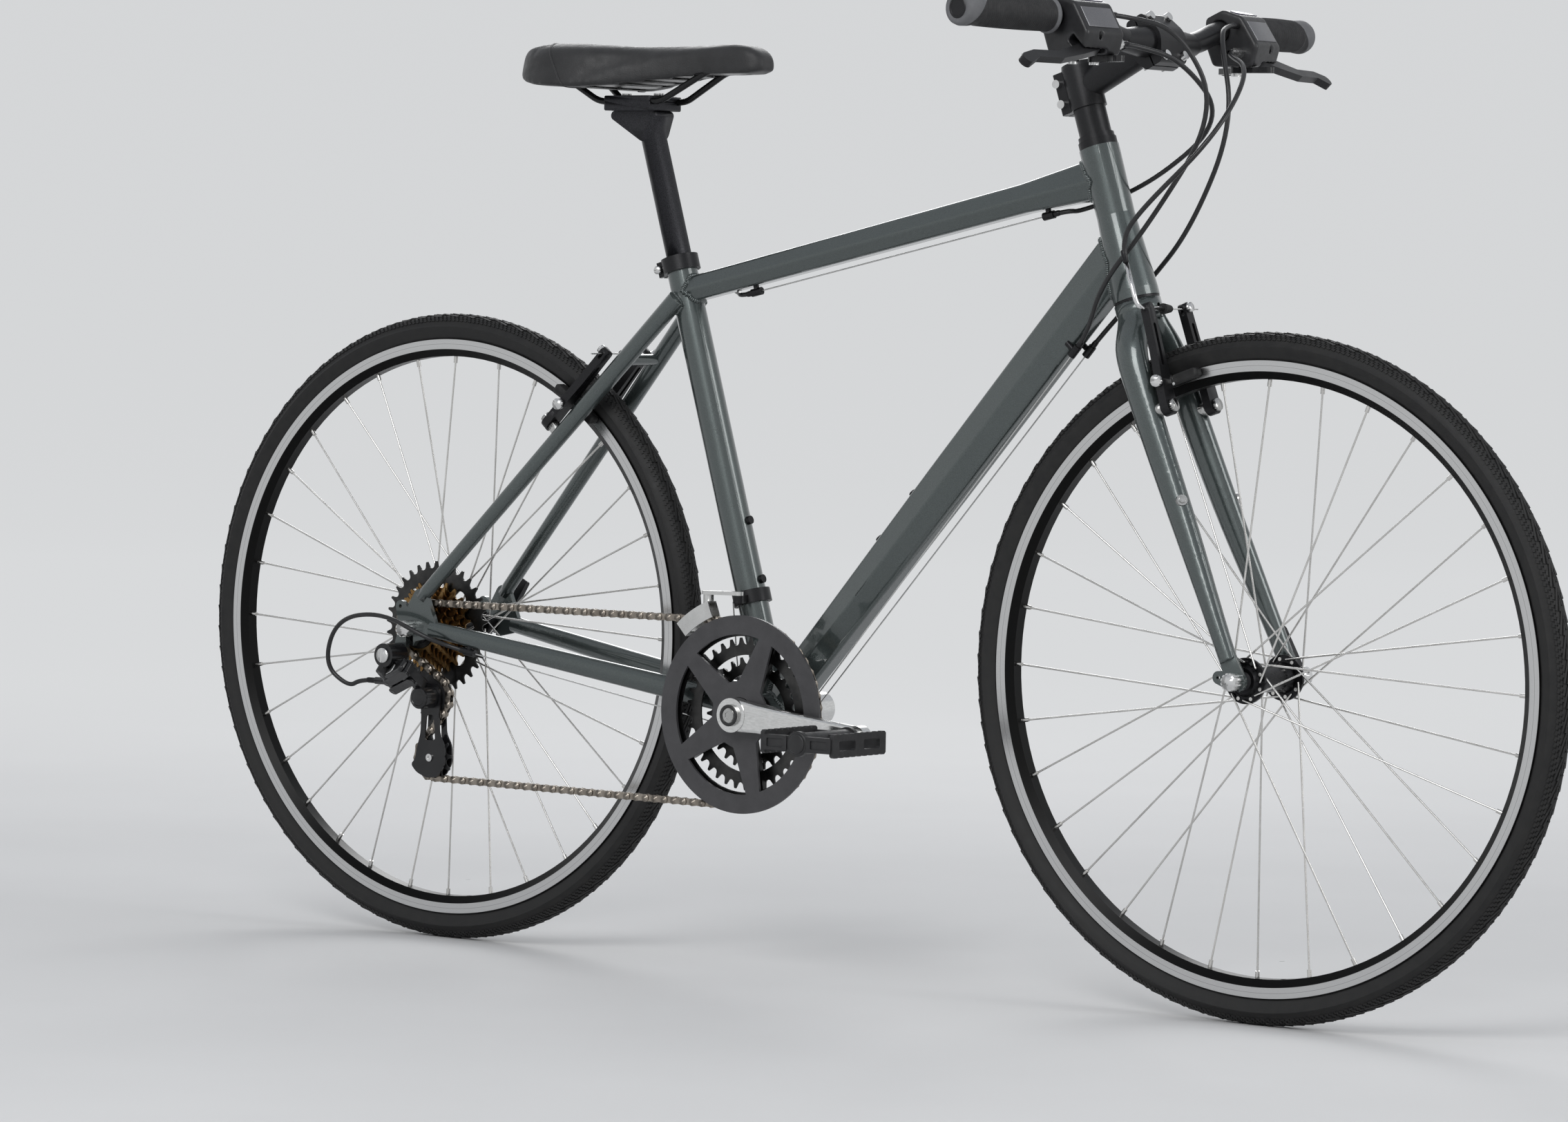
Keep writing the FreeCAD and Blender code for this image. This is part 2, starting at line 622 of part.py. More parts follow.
# Brake studs and pivot bolts, on the blades and on the seat stays.
STUD_RADIUS = 4.0
STUD_SIDE = 40.0
STUD_BOLT_HEAD = 6.5
STUD_BOLT_HEIGHT = 4.0
STUD_FOOT_RADIUS = 7.0
ARM_HALF = 4.5
PAD_RISE = 27.0
TRACK_RADIUS = 311.0
FRONT_ARM_AHEAD = 31.0
REAR_ARM_AHEAD = 21.0


class BrakeFrame:
    """Where a pair of rim brake arms sits: up along the tubes, out towards the arms."""

    def __init__(self, axle, foot, up, out, ahead):
        self.up = up
        self.out = out
        offset = (foot + out * ahead - axle).dot(out)
        rise = math.sqrt(TRACK_RADIUS**2 - offset**2) - PAD_RISE
        self.middle = axle + out * offset + up * rise
        self.axle = axle

    def point(self, side, up, ahead):
        return self.middle + Y * side + self.up * up + self.out * ahead


STAY_TOP, STAY_END = seat_stay_line(-1)
STAY_UP = Vector(STAY_TOP.x - STAY_END.x, 0, STAY_TOP.z - STAY_END.z).normalize()
STAY_OUT = Y.cross(STAY_UP) * -1
FRONT_BRAKE = BrakeFrame(FRONT_AXLE, FORK_FOOT, STEER_AXIS, STEER_FRONT, FRONT_ARM_AHEAD)
REAR_BRAKE = BrakeFrame(REAR_AXLE, STAY_END - Y * STAY_END.y, STAY_UP, STAY_OUT, REAR_ARM_AHEAD)


def brake_stud(place, side, foot):
    """Stud with a shoulder behind the arm and a bolt head before it."""
    back, front = ARM_HALF + SEAT_GAP, ARM_HALF + SEAT_GAP
    return lathe([(0, -foot), (STUD_FOOT_RADIUS, -foot), (STUD_FOOT_RADIUS, -back), (STUD_RADIUS, -back),
                  (STUD_RADIUS, front), (STUD_BOLT_HEAD, front), (STUD_BOLT_HEAD, front + STUD_BOLT_HEIGHT),
                  (0, front + STUD_BOLT_HEIGHT)], place.point(STUD_SIDE * side, 0, 0), place.out)


def fork():
    stem_solid = crown()
    ends = right_fork_end()
    blade = right_blade()
    stud = brake_stud(FRONT_BRAKE, -1, FRONT_ARM_AHEAD)
    blade_cut = blade.cut([stem_solid, ends])
    stud_cut = stud.cut(blade)
    return [stem_solid, blade_cut, mirrored(blade_cut), ends, mirrored(ends), stud_cut, mirrored(stud_cut)]


def rear_studs():
    cores = [seat_stay_form(side) for side in (-1, 1)]
    return [brake_stud(REAR_BRAKE, side, REAR_ARM_AHEAD).cut(cores) for side in (-1, 1)]


# Brake arms: a slotted arm with pad, pad bolt, and on one side the noodle.
ARM_TOP = 102.0
ARM_PLACES = ((40.0, 0.0, 9.0), (38.5, 27.0, 8.5), (36.0, 62.0, 6.5), (34.0, 102.0, 6.0))
ARM_SLOT = ((37.6, 44.0, 2.2), (35.2, 84.0, 2.2))
PAD_GAP = 2.6
PAD_DEPTH = 7.0
PAD_HOLDER_DEPTH = 3.0
PAD_LENGTH = 62.0
PAD_HEIGHT = 9.0
PAD_CORNER = 3.0
TRACK_SIDE = 12.0
PAD_BOLT = 3.0
PAD_NUT = 6.0
PAD_NUT_SIDE = 48.0
PAD_NUT_HEIGHT = 5.0
NOODLE_RADIUS = 2.4
NOODLE_SIDE = 52.0
NOODLE_TOP = 150.0
NOODLE_END = 6.0
NOODLE_BEND = 10.0
BOOT_END = -8.0
BOOT_RADII = (5.6, 3.4)
BOOT_RIBS = 5
BOOT_RIB_SHARE = 0.82
BOOT_CREST_SHARE = 0.5
CABLE_RADIUS = 0.75
CABLE_TAIL = 58.0
WIRE_ROOM = 1.8
WIRE_DIP = 5.5
PINCH_NUT = 5.0
PINCH_NUT_HEIGHT = 4.0


def in_brake(place, solid, side):
    """Puts an arm drawn as (outward, up, ahead) on one side of a brake."""
    shape = placed(solid, place.middle, Y * -1, place.up)
    return shape if side < 0 else mirrored(shape)


def brake_pad(place):
    """Rubber block and its holder, tangent to the rim, drawn for the right side."""
    centre = place.point(0, PAD_RISE, 0)
    radial = (centre - place.axle).normalize()
    along = Y.cross(radial)
    half, high = PAD_LENGTH / 2, PAD_HEIGHT / 2
    wire = rounded([(-half, -high), (half, -high), (half, high), (-half, high)], [PAD_CORNER] * 4)
    inner = TRACK_SIDE + PAD_GAP
    block = plate([wire], inner, inner + PAD_DEPTH)
    holder = plate([wire], inner + PAD_DEPTH, inner + PAD_DEPTH + PAD_HOLDER_DEPTH)
    return [placed(solid, centre, along, radial) for solid in (block, holder)]


def pad_bolt(place):
    start = TRACK_SIDE + PAD_GAP + PAD_DEPTH + PAD_HOLDER_DEPTH
    arm_in, arm_out = ARM_PLACES[1][0] - ARM_PLACES[1][2] - CLEARANCE, PAD_NUT_SIDE - SEAT_GAP
    return lathe([(0, start), (PAD_BOLT, start), (PAD_BOLT, arm_out), (PAD_NUT, arm_out),
                  (PAD_NUT, arm_out + PAD_NUT_HEIGHT), (0, arm_out + PAD_NUT_HEIGHT)],
                 place.point(0, PAD_RISE, 0), Y * -1), bush(place.point(0, PAD_RISE, 0), Y * -1,
                                                            PAD_BOLT + SLIP,
                                                            PAD_NUT, start, arm_in)


def brake_arm(place, side, carries_noodle):
    body = strip(list(ARM_PLACES), -ARM_HALF, ARM_HALF)
    slot = plate([linked(list(ARM_SLOT))], -2 * ARM_HALF, 2 * ARM_HALF)
    stud_side = ARM_PLACES[0][0]
    pivot = Part.makeCylinder(STUD_RADIUS + SLIP, 4 * ARM_HALF, Vector(stud_side, 0, -2 * ARM_HALF))
    pad_hole = rod(Vector(0, PAD_RISE, 0), Vector(2 * PAD_NUT_SIDE, PAD_RISE, 0), PAD_BOLT + SLIP)
    spot = rod(Vector(PAD_NUT_SIDE - SEAT_GAP, PAD_RISE, 0), Vector(2 * PAD_NUT_SIDE, PAD_RISE, 0),
               2 * PAD_NUT)
    if carries_noodle:
        cable_hole = rod(Vector(0, ARM_TOP, 0), Vector(2 * PAD_NUT_SIDE, ARM_TOP, 0), NOODLE_RADIUS + SLIP)
    else:
        wire_slot = linked([(ARM_TOP - WIRE_DIP, 0, WIRE_ROOM), (ARM_TOP, 0, WIRE_ROOM)])
        cable_hole = placed(plate([wire_slot], 0, 2 * PAD_NUT_SIDE), Vector(), Y, Z)
    arm = body.cut([slot, pivot, pad_hole, spot, cable_hole])
    pieces = [in_brake(place, arm, side)]
    for solid in [*brake_pad(place), *pad_bolt(place)]:
        pieces.append(solid if side < 0 else mirrored(solid))
    if carries_noodle:
        noodle = pipe([Vector(NOODLE_SIDE, NOODLE_TOP, 0), Vector(NOODLE_SIDE, ARM_TOP, 0),
                       Vector(NOODLE_END, ARM_TOP, 0)], NOODLE_RADIUS, bend_reach=NOODLE_BEND)
        pieces.append(in_brake(place, noodle, side))
    else:
        base = place.point(ARM_PLACES[-1][0] * side, ARM_TOP, 0)
        pieces.append(bush(base, place.out, 0, PINCH_NUT, ARM_HALF, ARM_HALF + PINCH_NUT_HEIGHT))
    return pieces


def brake_wire(place, side):
    """Bare wire from the noodle to the far arm, and the ribbed boot that covers its start."""
    steps = [(CABLE_RADIUS + SLIP, 0)]
    pitch = (NOODLE_END - BOOT_END) / BOOT_RIBS
    for number in range(BOOT_RIBS):
        radius = blend(*BOOT_RADII, number / BOOT_RIBS)
        groove = radius * BOOT_RIB_SHARE
        turn = pitch * (number + BOOT_CREST_SHARE)
        steps += [(radius, pitch * number), (radius, turn), (groove, turn), (groove, pitch * (number + 1))]
    steps.append((CABLE_RADIUS + SLIP, pitch * BOOT_RIBS))
    boot = lathe(steps, Vector(NOODLE_END, ARM_TOP, 0), X * -1)
    wire = rod(Vector(NOODLE_END, ARM_TOP, 0), Vector(-CABLE_TAIL, ARM_TOP, 0), CABLE_RADIUS)
    return [in_brake(place, solid, side) for solid in (boot, wire)]


# Wheels: tyre with inner tube, rim, crossed spokes with nipples, flanged hub.
RIM_HALF_WIDTH = 12.0
RIM_LIP = 1.7
RIM_OUTER = 317.0
RIM_SEAT = 311.0
RIM_WELL = 306.5
RIM_WELL_HALF = 6.0
RIM_KNEE = 305.0
RIM_INNER = 297.5
RIM_FOOT_HALF = 6.5
TYRE_HALF_WIDTH = 16.5
TYRE_BELLY = 330.0
TYRE_SHOULDER_SHARE = 0.72
TYRE_FLANK_SHARE = 0.5
TYRE_TUCK_SHARE = 0.25
TYRE_WALL = 2.6
TYRE_BEAD_GAP = 0.15
TUBE_RADIUS = 10.5
TUBE_WALL_THICKNESS = 1.0
VALVE_RADIUS = 3.0
VALVE_LENGTH = 40.0
SPOKES = 32
CROSSES = 3
SPOKE_RADIUS = 1.0
SPOKE_LIFT = 1.9
SPOKE_HEAD = 1.9
SPOKE_HEAD_HEIGHT = 0.9
FLANGE_HALF = 1.6
FLANGE_RADIUS = 23.0
HOLE_CIRCLE = 19.0
SPOKE_HOLE = 1.25
NIPPLE_RADIUS = 2.2
NIPPLE_LENGTH = 13.0
NIPPLE_SEAT = 303.0
RIM_HOLE_SIDE = 1.5
HUB_WAIST = 13.0
FRONT_FLANGE = 35.0
FRONT_HUB_END = 41.0
FRONT_HUB_BORE = 9.5
REAR_LEFT_FLANGE = 35.0
REAR_RIGHT_FLANGE = 16.0
REAR_HUB_END = 56.0
REAR_HUB_BORE = 11.5
FREEWHEEL_BORE = 17.0
FREEWHEEL_END = 60.5
HOLES_A_SIDE = SPOKES // 2
HOLE_STEP = FULL_TURN / HOLES_A_SIDE
CROSS_TURN = FULL_TURN * CROSSES / HOLES_A_SIDE
VALVE_TURN = HOLE_STEP / 4 - QUARTER_TURN


def tyre(axle):
    seat_half = RIM_HALF_WIDTH - RIM_LIP - TYRE_BEAD_GAP
    foot = RIM_SEAT + TYRE_BEAD_GAP

    def wall_line(inset):
        top = WHEEL_RADIUS - inset
        half = TYRE_HALF_WIDTH - inset
        neck = seat_half - inset
        turn = (TYRE_BELLY + (top - TYRE_BELLY) * TYRE_SHOULDER_SHARE, half * TYRE_SHOULDER_SHARE)
        flank = (blend(RIM_OUTER, TYRE_BELLY, TYRE_FLANK_SHARE), blend(half, neck, TYRE_TUCK_SHARE))
        return top, half, neck, turn, flank

    top, half, neck, turn, flank = wall_line(0)
    lip = RIM_OUTER + CLEARANCE
    steps = [(foot, -neck), (lip, -neck), ((flank[0], -flank[1]), (TYRE_BELLY, -half)),
             ((turn[0], -turn[1]), (top, 0)),
             ((turn[0], turn[1]), (TYRE_BELLY, half)), ((flank[0], flank[1]), (lip, neck)), (foot, neck)]
    top, half, neck, turn, flank = wall_line(TYRE_WALL)
    steps += [(foot, neck), (lip, neck), ((flank[0], flank[1]), (TYRE_BELLY, half)),
              ((turn[0], turn[1]), (top, 0)),
              ((turn[0], -turn[1]), (TYRE_BELLY, -half)), ((flank[0], -flank[1]), (lip, -neck)),
              (foot, -neck)]
    casing = lathe(steps, axle, Y)
    centre = (top + RIM_OUTER) / 2
    tube = Part.makeTorus(centre, TUBE_RADIUS, axle, Y).cut(
        Part.makeTorus(centre, TUBE_RADIUS - TUBE_WALL_THICKNESS, axle, Y))
    out = direction(VALVE_TURN)
    foot_point = axle + out * (centre - TUBE_RADIUS + TUBE_WALL_THICKNESS)
    valve = rod(foot_point, foot_point - out * VALVE_LENGTH, VALVE_RADIUS)
    core = Part.makeTorus(centre, TUBE_RADIUS - TUBE_WALL_THICKNESS, axle, Y)
    return [casing, tube.fuse(valve.cut(core))]


def spoke_offset(outside):
    """Distance of a spoke's line from the middle of its flange at the hub."""
    return FLANGE_HALF + SPOKE_RADIUS + (SPOKE_LIFT if outside else SLIP)


def spoke_ends(side, flange, outside, hub_turn, rim_turn):
    face = flange * side + spoke_offset(outside) * side * (1 if outside else -1)
    hub_point = direction(hub_turn) * HOLE_CIRCLE + Y * face
    rim_point = direction(rim_turn) * (NIPPLE_SEAT - SPOKE_RADIUS) + Y * (RIM_HOLE_SIDE * side)
    return hub_point, rim_point


def spoke_set(flanges):
    """One spoke of each kind: (side, flange, outside, hub angle, rim angle)."""
    kinds = []
    for side, flange in zip((-1, 1), flanges):
        offset = 0 if side < 0 else HOLE_STEP / 2
        kinds.append((side, flange, True, offset, offset + CROSS_TURN))
        kinds.append((side, flange, False, offset + HOLE_STEP, offset + HOLE_STEP - CROSS_TURN))
    return kinds


def turned_copies(solid, step, count):
    copies = []
    for number in range(count):
        copy = solid.copy()
        copy.rotate(Vector(), Y, step * number)
        copies.append(copy)
    return copies


def spokes(axle, flanges):
    solids = []
    for side, flange, outside, hub_turn, rim_turn in spoke_set(flanges):
        hub_point, rim_point = spoke_ends(side, flange, outside, hub_turn, rim_turn)
        inward = Y * (-side if outside else side)
        through = spoke_offset(outside) + FLANGE_HALF + SLIP + SPOKE_HEAD_HEIGHT
        bar = rod(hub_point, rim_point, SPOKE_RADIUS)
        neck = rod(hub_point, hub_point + inward * through, SPOKE_RADIUS)
        head = rod(hub_point + inward * (through - SPOKE_HEAD_HEIGHT), hub_point + inward * through,
                   SPOKE_HEAD)
        spoke = bar.fuse([neck, head, Part.makeSphere(SPOKE_RADIUS, hub_point)])
        run = (rim_point - hub_point).normalize()
        nipple = bush(rim_point, run, SPOKE_RADIUS + SLIP, NIPPLE_RADIUS, SPOKE_RADIUS - NIPPLE_LENGTH,
                      SPOKE_RADIUS)
        for solid in (spoke, nipple):
            solids += turned_copies(solid, 2 * HOLE_STEP, HOLES_A_SIDE // 2)
    for solid in solids:
        solid.translate(axle)
    return solids


def rim(axle, flanges):
    half = RIM_HALF_WIDTH
    seat = half - RIM_LIP
    ring = lathe([(RIM_OUTER, -half), (RIM_OUTER, -seat), (RIM_SEAT, -seat), (RIM_WELL, -RIM_WELL_HALF),
                  (RIM_WELL, RIM_WELL_HALF), (RIM_SEAT, seat), (RIM_OUTER, seat), (RIM_OUTER, half),
                  (RIM_KNEE, half),
                  (RIM_INNER, RIM_FOOT_HALF), (RIM_INNER, -RIM_FOOT_HALF), (RIM_KNEE, -half)], Vector(), Y)
    holes = []
    for side, flange, outside, hub_turn, rim_turn in spoke_set(flanges):
        hub_point, rim_point = spoke_ends(side, flange, outside, hub_turn, rim_turn)
        run = (rim_point - hub_point).normalize()
        hole = rod(rim_point - run * NIPPLE_LENGTH, rim_point + run * NIPPLE_LENGTH, NIPPLE_RADIUS + SLIP)
        holes += turned_copies(hole, 2 * HOLE_STEP, HOLES_A_SIDE // 2)
    out = direction(VALVE_TURN)
    holes.append(rod(out * (RIM_INNER - VALVE_LENGTH), out * (RIM_OUTER + VALVE_RADIUS),
                     VALVE_RADIUS + SEAT_GAP))
    solid = ring.cut(holes)
    solid.translate(axle)
    return solid


def flange_holes(flanges):
    holes = []
    for side, flange in zip((-1, 1), flanges):
        offset = 0 if side < 0 else HOLE_STEP / 2
        base = direction(offset) * HOLE_CIRCLE + Y * (flange * side)
        reach = Y * (2 * FLANGE_HALF)
        holes += turned_copies(rod(base - reach, base + reach, SPOKE_HOLE), HOLE_STEP, HOLES_A_SIDE)
    return holes


def front_hub():
    flange_out, flange_in = FRONT_FLANGE + FLANGE_HALF, FRONT_FLANGE - FLANGE_HALF
    neck = HOLE_CIRCLE - SPOKE_HEAD - SPOKE_HOLE
    half = [(FRONT_HUB_BORE, FRONT_HUB_END), (HUB_WAIST, FRONT_HUB_END), (neck, flange_out),
            (FLANGE_RADIUS, flange_out),
            (FLANGE_RADIUS, flange_in), (neck, flange_in), (HUB_WAIST, flange_in - FLANGE_RADIUS / 2)]
    other = [(radius, -height) for radius, height in reversed(half)]
    solid = lathe(half + other, Vector(), Y).cut(flange_holes((FRONT_FLANGE, FRONT_FLANGE)))
    solid.translate(FRONT_AXLE)
    return solid


def rear_hub():
    neck = HOLE_CIRCLE - SPOKE_HEAD - SPOKE_HOLE
    left_out, left_in = REAR_LEFT_FLANGE + FLANGE_HALF, REAR_LEFT_FLANGE - FLANGE_HALF
    right_out, right_in = REAR_RIGHT_FLANGE + FLANGE_HALF, REAR_RIGHT_FLANGE - FLANGE_HALF
    steps = [(REAR_HUB_BORE, REAR_HUB_END), (HUB_WAIST, REAR_HUB_END), (neck, left_out),
             (FLANGE_RADIUS, left_out),
             (FLANGE_RADIUS, left_in), (neck, left_in), (HUB_WAIST, left_in - FLANGE_RADIUS / 2),
             (HUB_WAIST, FLANGE_RADIUS / 2 - right_in), (neck, -right_in), (FLANGE_RADIUS, -right_in),
             (FLANGE_RADIUS, -right_out), (neck, -right_out), (neck, -right_out - SPOKE_HEAD),
             (FREEWHEEL_BORE, -right_out - 2 * SPOKE_HEAD),
             (FREEWHEEL_BORE, -FREEWHEEL_END), (REAR_HUB_BORE, -FREEWHEEL_END)]
    solid = lathe(steps, Vector(), Y).cut(flange_holes((REAR_RIGHT_FLANGE, REAR_LEFT_FLANGE)))
    solid.translate(REAR_AXLE)
    return solid


# Axles with cones, and quick release skewers: a knurled nut on the right, a forked head on the left.
CONE_LENGTH = 10.0
LOCK_NUT = 8.5
QR_NUT = 9.0
QR_NUT_LENGTH = 13.0
QR_KNURLS = 12
QR_KNURL_DEPTH = 1.1
QR_HEAD = 10.5
QR_HEAD_LENGTH = 18.0
QR_LEVER_HALF = 4.5
QR_PIN = 2.4
QR_PIN_SHARE = 0.8
QR_PIVOT = 11.0
QR_ROOT = 6.5
QR_BEND = (19.0, 4.5, 4.2)
QR_TIP = (52.0, 8.0, 3.6)
FRONT_QR_TURN = 122.0
REAR_QR_TURN = 62.0


def axle_shaft(axle, radius, bore, ends, inner, outer):
    """Axle with a cone running in each hub end and a lock nut up to each dropout."""
    right, left = ends
    cone = bore - SLIP
    steps = [(0, -outer), (radius, -outer), (radius, -inner), (LOCK_NUT, -inner),
             (LOCK_NUT, -right - SEAT_GAP),
             (cone, -right - SEAT_GAP), (cone, CONE_LENGTH - right), (radius, CONE_LENGTH - right),
             (radius, left - CONE_LENGTH), (cone, left - CONE_LENGTH), (cone, left + SEAT_GAP),
             (LOCK_NUT, left + SEAT_GAP),
             (LOCK_NUT, inner), (radius, inner), (radius, outer), (0, outer)]
    return lathe(steps, axle, Y)


def qr_frame(axle, outer, turn):
    """Pivot point, lever direction and pin axis of a quick release lever."""
    along = direction(turn)
    return axle + Y * (outer + QR_PIVOT), along, along.cross(Y)


def axle_group(axle, radius, bore, ends, inner, outer, turn):
    shaft = axle_shaft(axle, radius, bore, ends, inner, outer)
    nut = placed(knurled(QR_NUT, QR_KNURL_DEPTH, QR_KNURLS, outer + SEAT_GAP, outer + QR_NUT_LENGTH), axle,
                 X, Z)
    pivot, along, pin_axis = qr_frame(axle, outer, turn)
    head = bush(axle, Y, 0, QR_HEAD, outer + SEAT_GAP, outer + QR_HEAD_LENGTH)
    slot_half = QR_LEVER_HALF + CLEARANCE
    floor = QR_PIVOT - QR_ROOT - CLEARANCE
    slot = placed(Part.makeBox(8 * QR_HEAD, 8 * QR_HEAD, 2 * slot_half,
                               Vector(-4 * QR_HEAD, floor - QR_PIVOT, -slot_half)),
                  pivot, along, Y)
    pin_reach = pin_axis * QR_HEAD * QR_PIN_SHARE
    pin = rod(pivot - pin_reach, pivot + pin_reach, QR_PIN)
    hole = rod(pivot - pin_reach * 2, pivot + pin_reach * 2, QR_PIN + SLIP)
    return [shaft, nut, head.cut([slot, hole]), pin]


def qr_lever(axle, outer, turn):
    pivot, along, _ = qr_frame(axle, outer, turn)
    body = strip([(0, 0, QR_ROOT), QR_BEND, QR_TIP], -QR_LEVER_HALF, QR_LEVER_HALF)
    bore = Part.makeCylinder(QR_PIN + SLIP, 4 * QR_LEVER_HALF, Vector(0, 0, -2 * QR_LEVER_HALF))
    return placed(body.cut(bore), pivot, along, Y)


# Toothed wheels: roller seats on the pitch circle, straight flanks and flat tips.
ROLLER_RADIUS = 3.9
SEAT_RADIUS = 4.0
TOOTH_RISE = 3.6
TOOTH_TIP_HALF = 1.1
TOOTH_THICKNESS = 2.0
SEAT_SPREAD = 60.0


def pitch_radius(teeth):
    return CHAIN_PITCH / (2 * math.sin(math.pi / teeth))


def toothed_wire(teeth, phase):
    """Rim of a toothed wheel with one roller seat at the phase angle."""
    radius = pitch_radius(teeth)
    step = 2 * math.pi / teeth
    spread = math.radians(SEAT_SPREAD)
    steps = []
    for number in range(teeth):
        turn = math.radians(phase) + step * number
        out = Vector(math.cos(turn), math.sin(turn), 0)
        side = Vector(-math.sin(turn), math.cos(turn), 0)
        seat = out * radius
        start = seat - out * (SEAT_RADIUS * math.cos(spread)) - side * (SEAT_RADIUS * math.sin(spread))
        floor = seat - out * SEAT_RADIUS
        end = seat - out * (SEAT_RADIUS * math.cos(spread)) + side * (SEAT_RADIUS * math.sin(spread))
        tip_turn = turn + step / 2
        tip_out = Vector(math.cos(tip_turn), math.sin(tip_turn), 0) * (radius + TOOTH_RISE)
        tip_side = Vector(-math.sin(tip_turn), math.cos(tip_turn), 0) * TOOTH_TIP_HALF
        near, far = tip_out - tip_side, tip_out + tip_side
        steps += [(start.x, start.y), ((floor.x, floor.y), (end.x, end.y)), (near.x, near.y),
                  (far.x, far.y)]
    return outline(steps)


def ring_wire(radius):
    return Part.Wire(Part.Circle(Vector(), Z, radius).toShape())


def toothed(teeth, phase, bore, centre, line):
    """Toothed wheel standing in the wheel plane at a distance to the right of the middle."""
    half = TOOTH_THICKNESS / 2
    return upright(plate([toothed_wire(teeth, phase), ring_wire(bore)], line - half, line + half), centre)


# Chain run: round the large ring, the smallest sprocket and the two pulleys.
RING_RADIUS = pitch_radius(RING_TEETH[0])
SPROCKET_RADIUS = pitch_radius(SPROCKET_TEETH[0])
PULLEY_RADIUS = pitch_radius(PULLEY_TEETH)
LINK_DROP = 30.0
LINK_BACK = 4.0
LINK_SIDE = 78.0
LINK_LENGTH = 42.0
LINK_SWING = 28.0
LINK_SLANT = 40.0
LINK_GAP = 14.0
GUIDE_AHEAD = 4.0
GUIDE_DROP = 28.0
CAGE_LENGTH = 66.0
CAGE_TURN = -83.0
CAGE_SEARCH = 30.0
SOLVE_STEPS = 60
LINK_AXIS = Vector(0, math.sin(math.radians(LINK_SLANT)), math.cos(math.radians(LINK_SLANT)))
LINK_ACROSS = X.cross(LINK_AXIS) * -1
LINK_REST = X * math.cos(math.radians(LINK_SWING)) - LINK_ACROSS * math.sin(math.radians(LINK_SWING))
KNUCKLE_REAR = HANGER + Vector(-LINK_BACK, -LINK_SIDE, -LINK_DROP)
KNUCKLE_FRONT = KNUCKLE_REAR + LINK_REST * LINK_LENGTH
GUIDE_CENTRE = Vector(KNUCKLE_FRONT.x + GUIDE_AHEAD, 0, KNUCKLE_FRONT.z - GUIDE_DROP)


def chain_path(cage_turn):
    """Chain line as pieces (length, function giving the point), from the front of the ring round."""
    tension = GUIDE_CENTRE + direction(cage_turn) * CAGE_LENGTH
    rounds = [(CRANK_CENTRE, RING_RADIUS, 1), (REAR_AXLE, SPROCKET_RADIUS, 1),
              (GUIDE_CENTRE, PULLEY_RADIUS, -1),
              (tension, PULLEY_RADIUS, 1)]
    leave, meet = [], []
    for number in range(4):
        centre, radius, sense = rounds[number]
        other, other_radius, other_sense = rounds[(number + 1) % 4]
        gap = other - centre
        lean = math.degrees(math.asin((radius * sense - other_radius * other_sense) / gap.Length))
        normal = direction(angle_of(gap) + lean - QUARTER_TURN)
        leave.append(centre + normal * (radius * sense))
        meet.append(other + normal * (other_radius * other_sense))
    pieces = []
    for number in range(4):
        centre, radius, sense = rounds[number]
        start = angle_of(meet[number - 1] - centre)
        sweep = ((angle_of(leave[number] - centre) - start) * sense) % FULL_TURN
        pieces.append(("arc", math.radians(sweep) * radius, (centre, radius, start, sense)))
        pieces.append(("run", (meet[number] - leave[number]).Length, (leave[number], meet[number])))
    return pieces, tension


def chain_point(pieces, distance):
    total = sum(piece[1] for piece in pieces)
    distance = distance % total
    for kind, length, values in pieces:
        if distance <= length:
            if kind == "run":
                return blend(*values, distance / length)
            centre, radius, start, sense = values
            return centre + direction(start + sense * math.degrees(distance / radius)) * radius
        distance -= length
    return chain_point(pieces, 0)


def chain_walk(pieces, count):
    """Pin places one pitch apart, and the distance walked along the path."""
    walked = 0
    points = [chain_point(pieces, 0)]
    for _ in range(count):
        low, high = walked + CHAIN_PITCH, walked + CHAIN_PITCH * (1 + BEND_SHARE / 2)
        for _ in range(SOLVE_STEPS):
            middle = (low + high) / 2
            if (chain_point(pieces, middle) - points[-1]).Length < CHAIN_PITCH:
                low = middle
            else:
                high = middle
        walked = (low + high) / 2
        points.append(chain_point(pieces, walked))
    return points[:-1], walked


def chain_layout():
    """Tension pulley and pin places at the cage angle where a whole, even number of links closes."""
    pieces, _ = chain_path(CAGE_TURN)
    count = 2 * round(sum(piece[1] for piece in pieces) / (2 * CHAIN_PITCH))

    def slack(turn):
        pieces, _ = chain_path(turn)
        return chain_walk(pieces, count)[1] - sum(piece[1] for piece in pieces)

    low, high = CAGE_TURN - CAGE_SEARCH, CAGE_TURN + CAGE_SEARCH
    low_sign = slack(low) > 0
    for _ in range(SOLVE_STEPS // 2):
        middle = (low + high) / 2
        if (slack(middle) > 0) == low_sign:
            low = middle
        else:
            high = middle
    turn = (low + high) / 2
    pieces, tension = chain_path(turn)
    points, _ = chain_walk(pieces, count)
    print("chain links", count, "cage angle", round(turn, 2), "closing gap", round(slack(turn), 4))
    return tension, points


def seat_phase(points, centre, radius):
    """Angle of a pin that lies on a toothed wheel, so that its teeth fall between the rollers."""
    nearest = min(points, key=lambda point: abs((point - centre).Length - radius))
    return angle_of(nearest - centre)


TENSION_CENTRE, PINS = chain_layout()

# Chain links: waisted plates, rollers with bores, and pins.
PLATE_END = 4.1
PLATE_WAIST = 3.2
INNER_PLATE = (1.25, 2.15)
OUTER_PLATE = (2.25, 3.1)
PIN_RADIUS = 1.75
PIN_HALF = 3.5


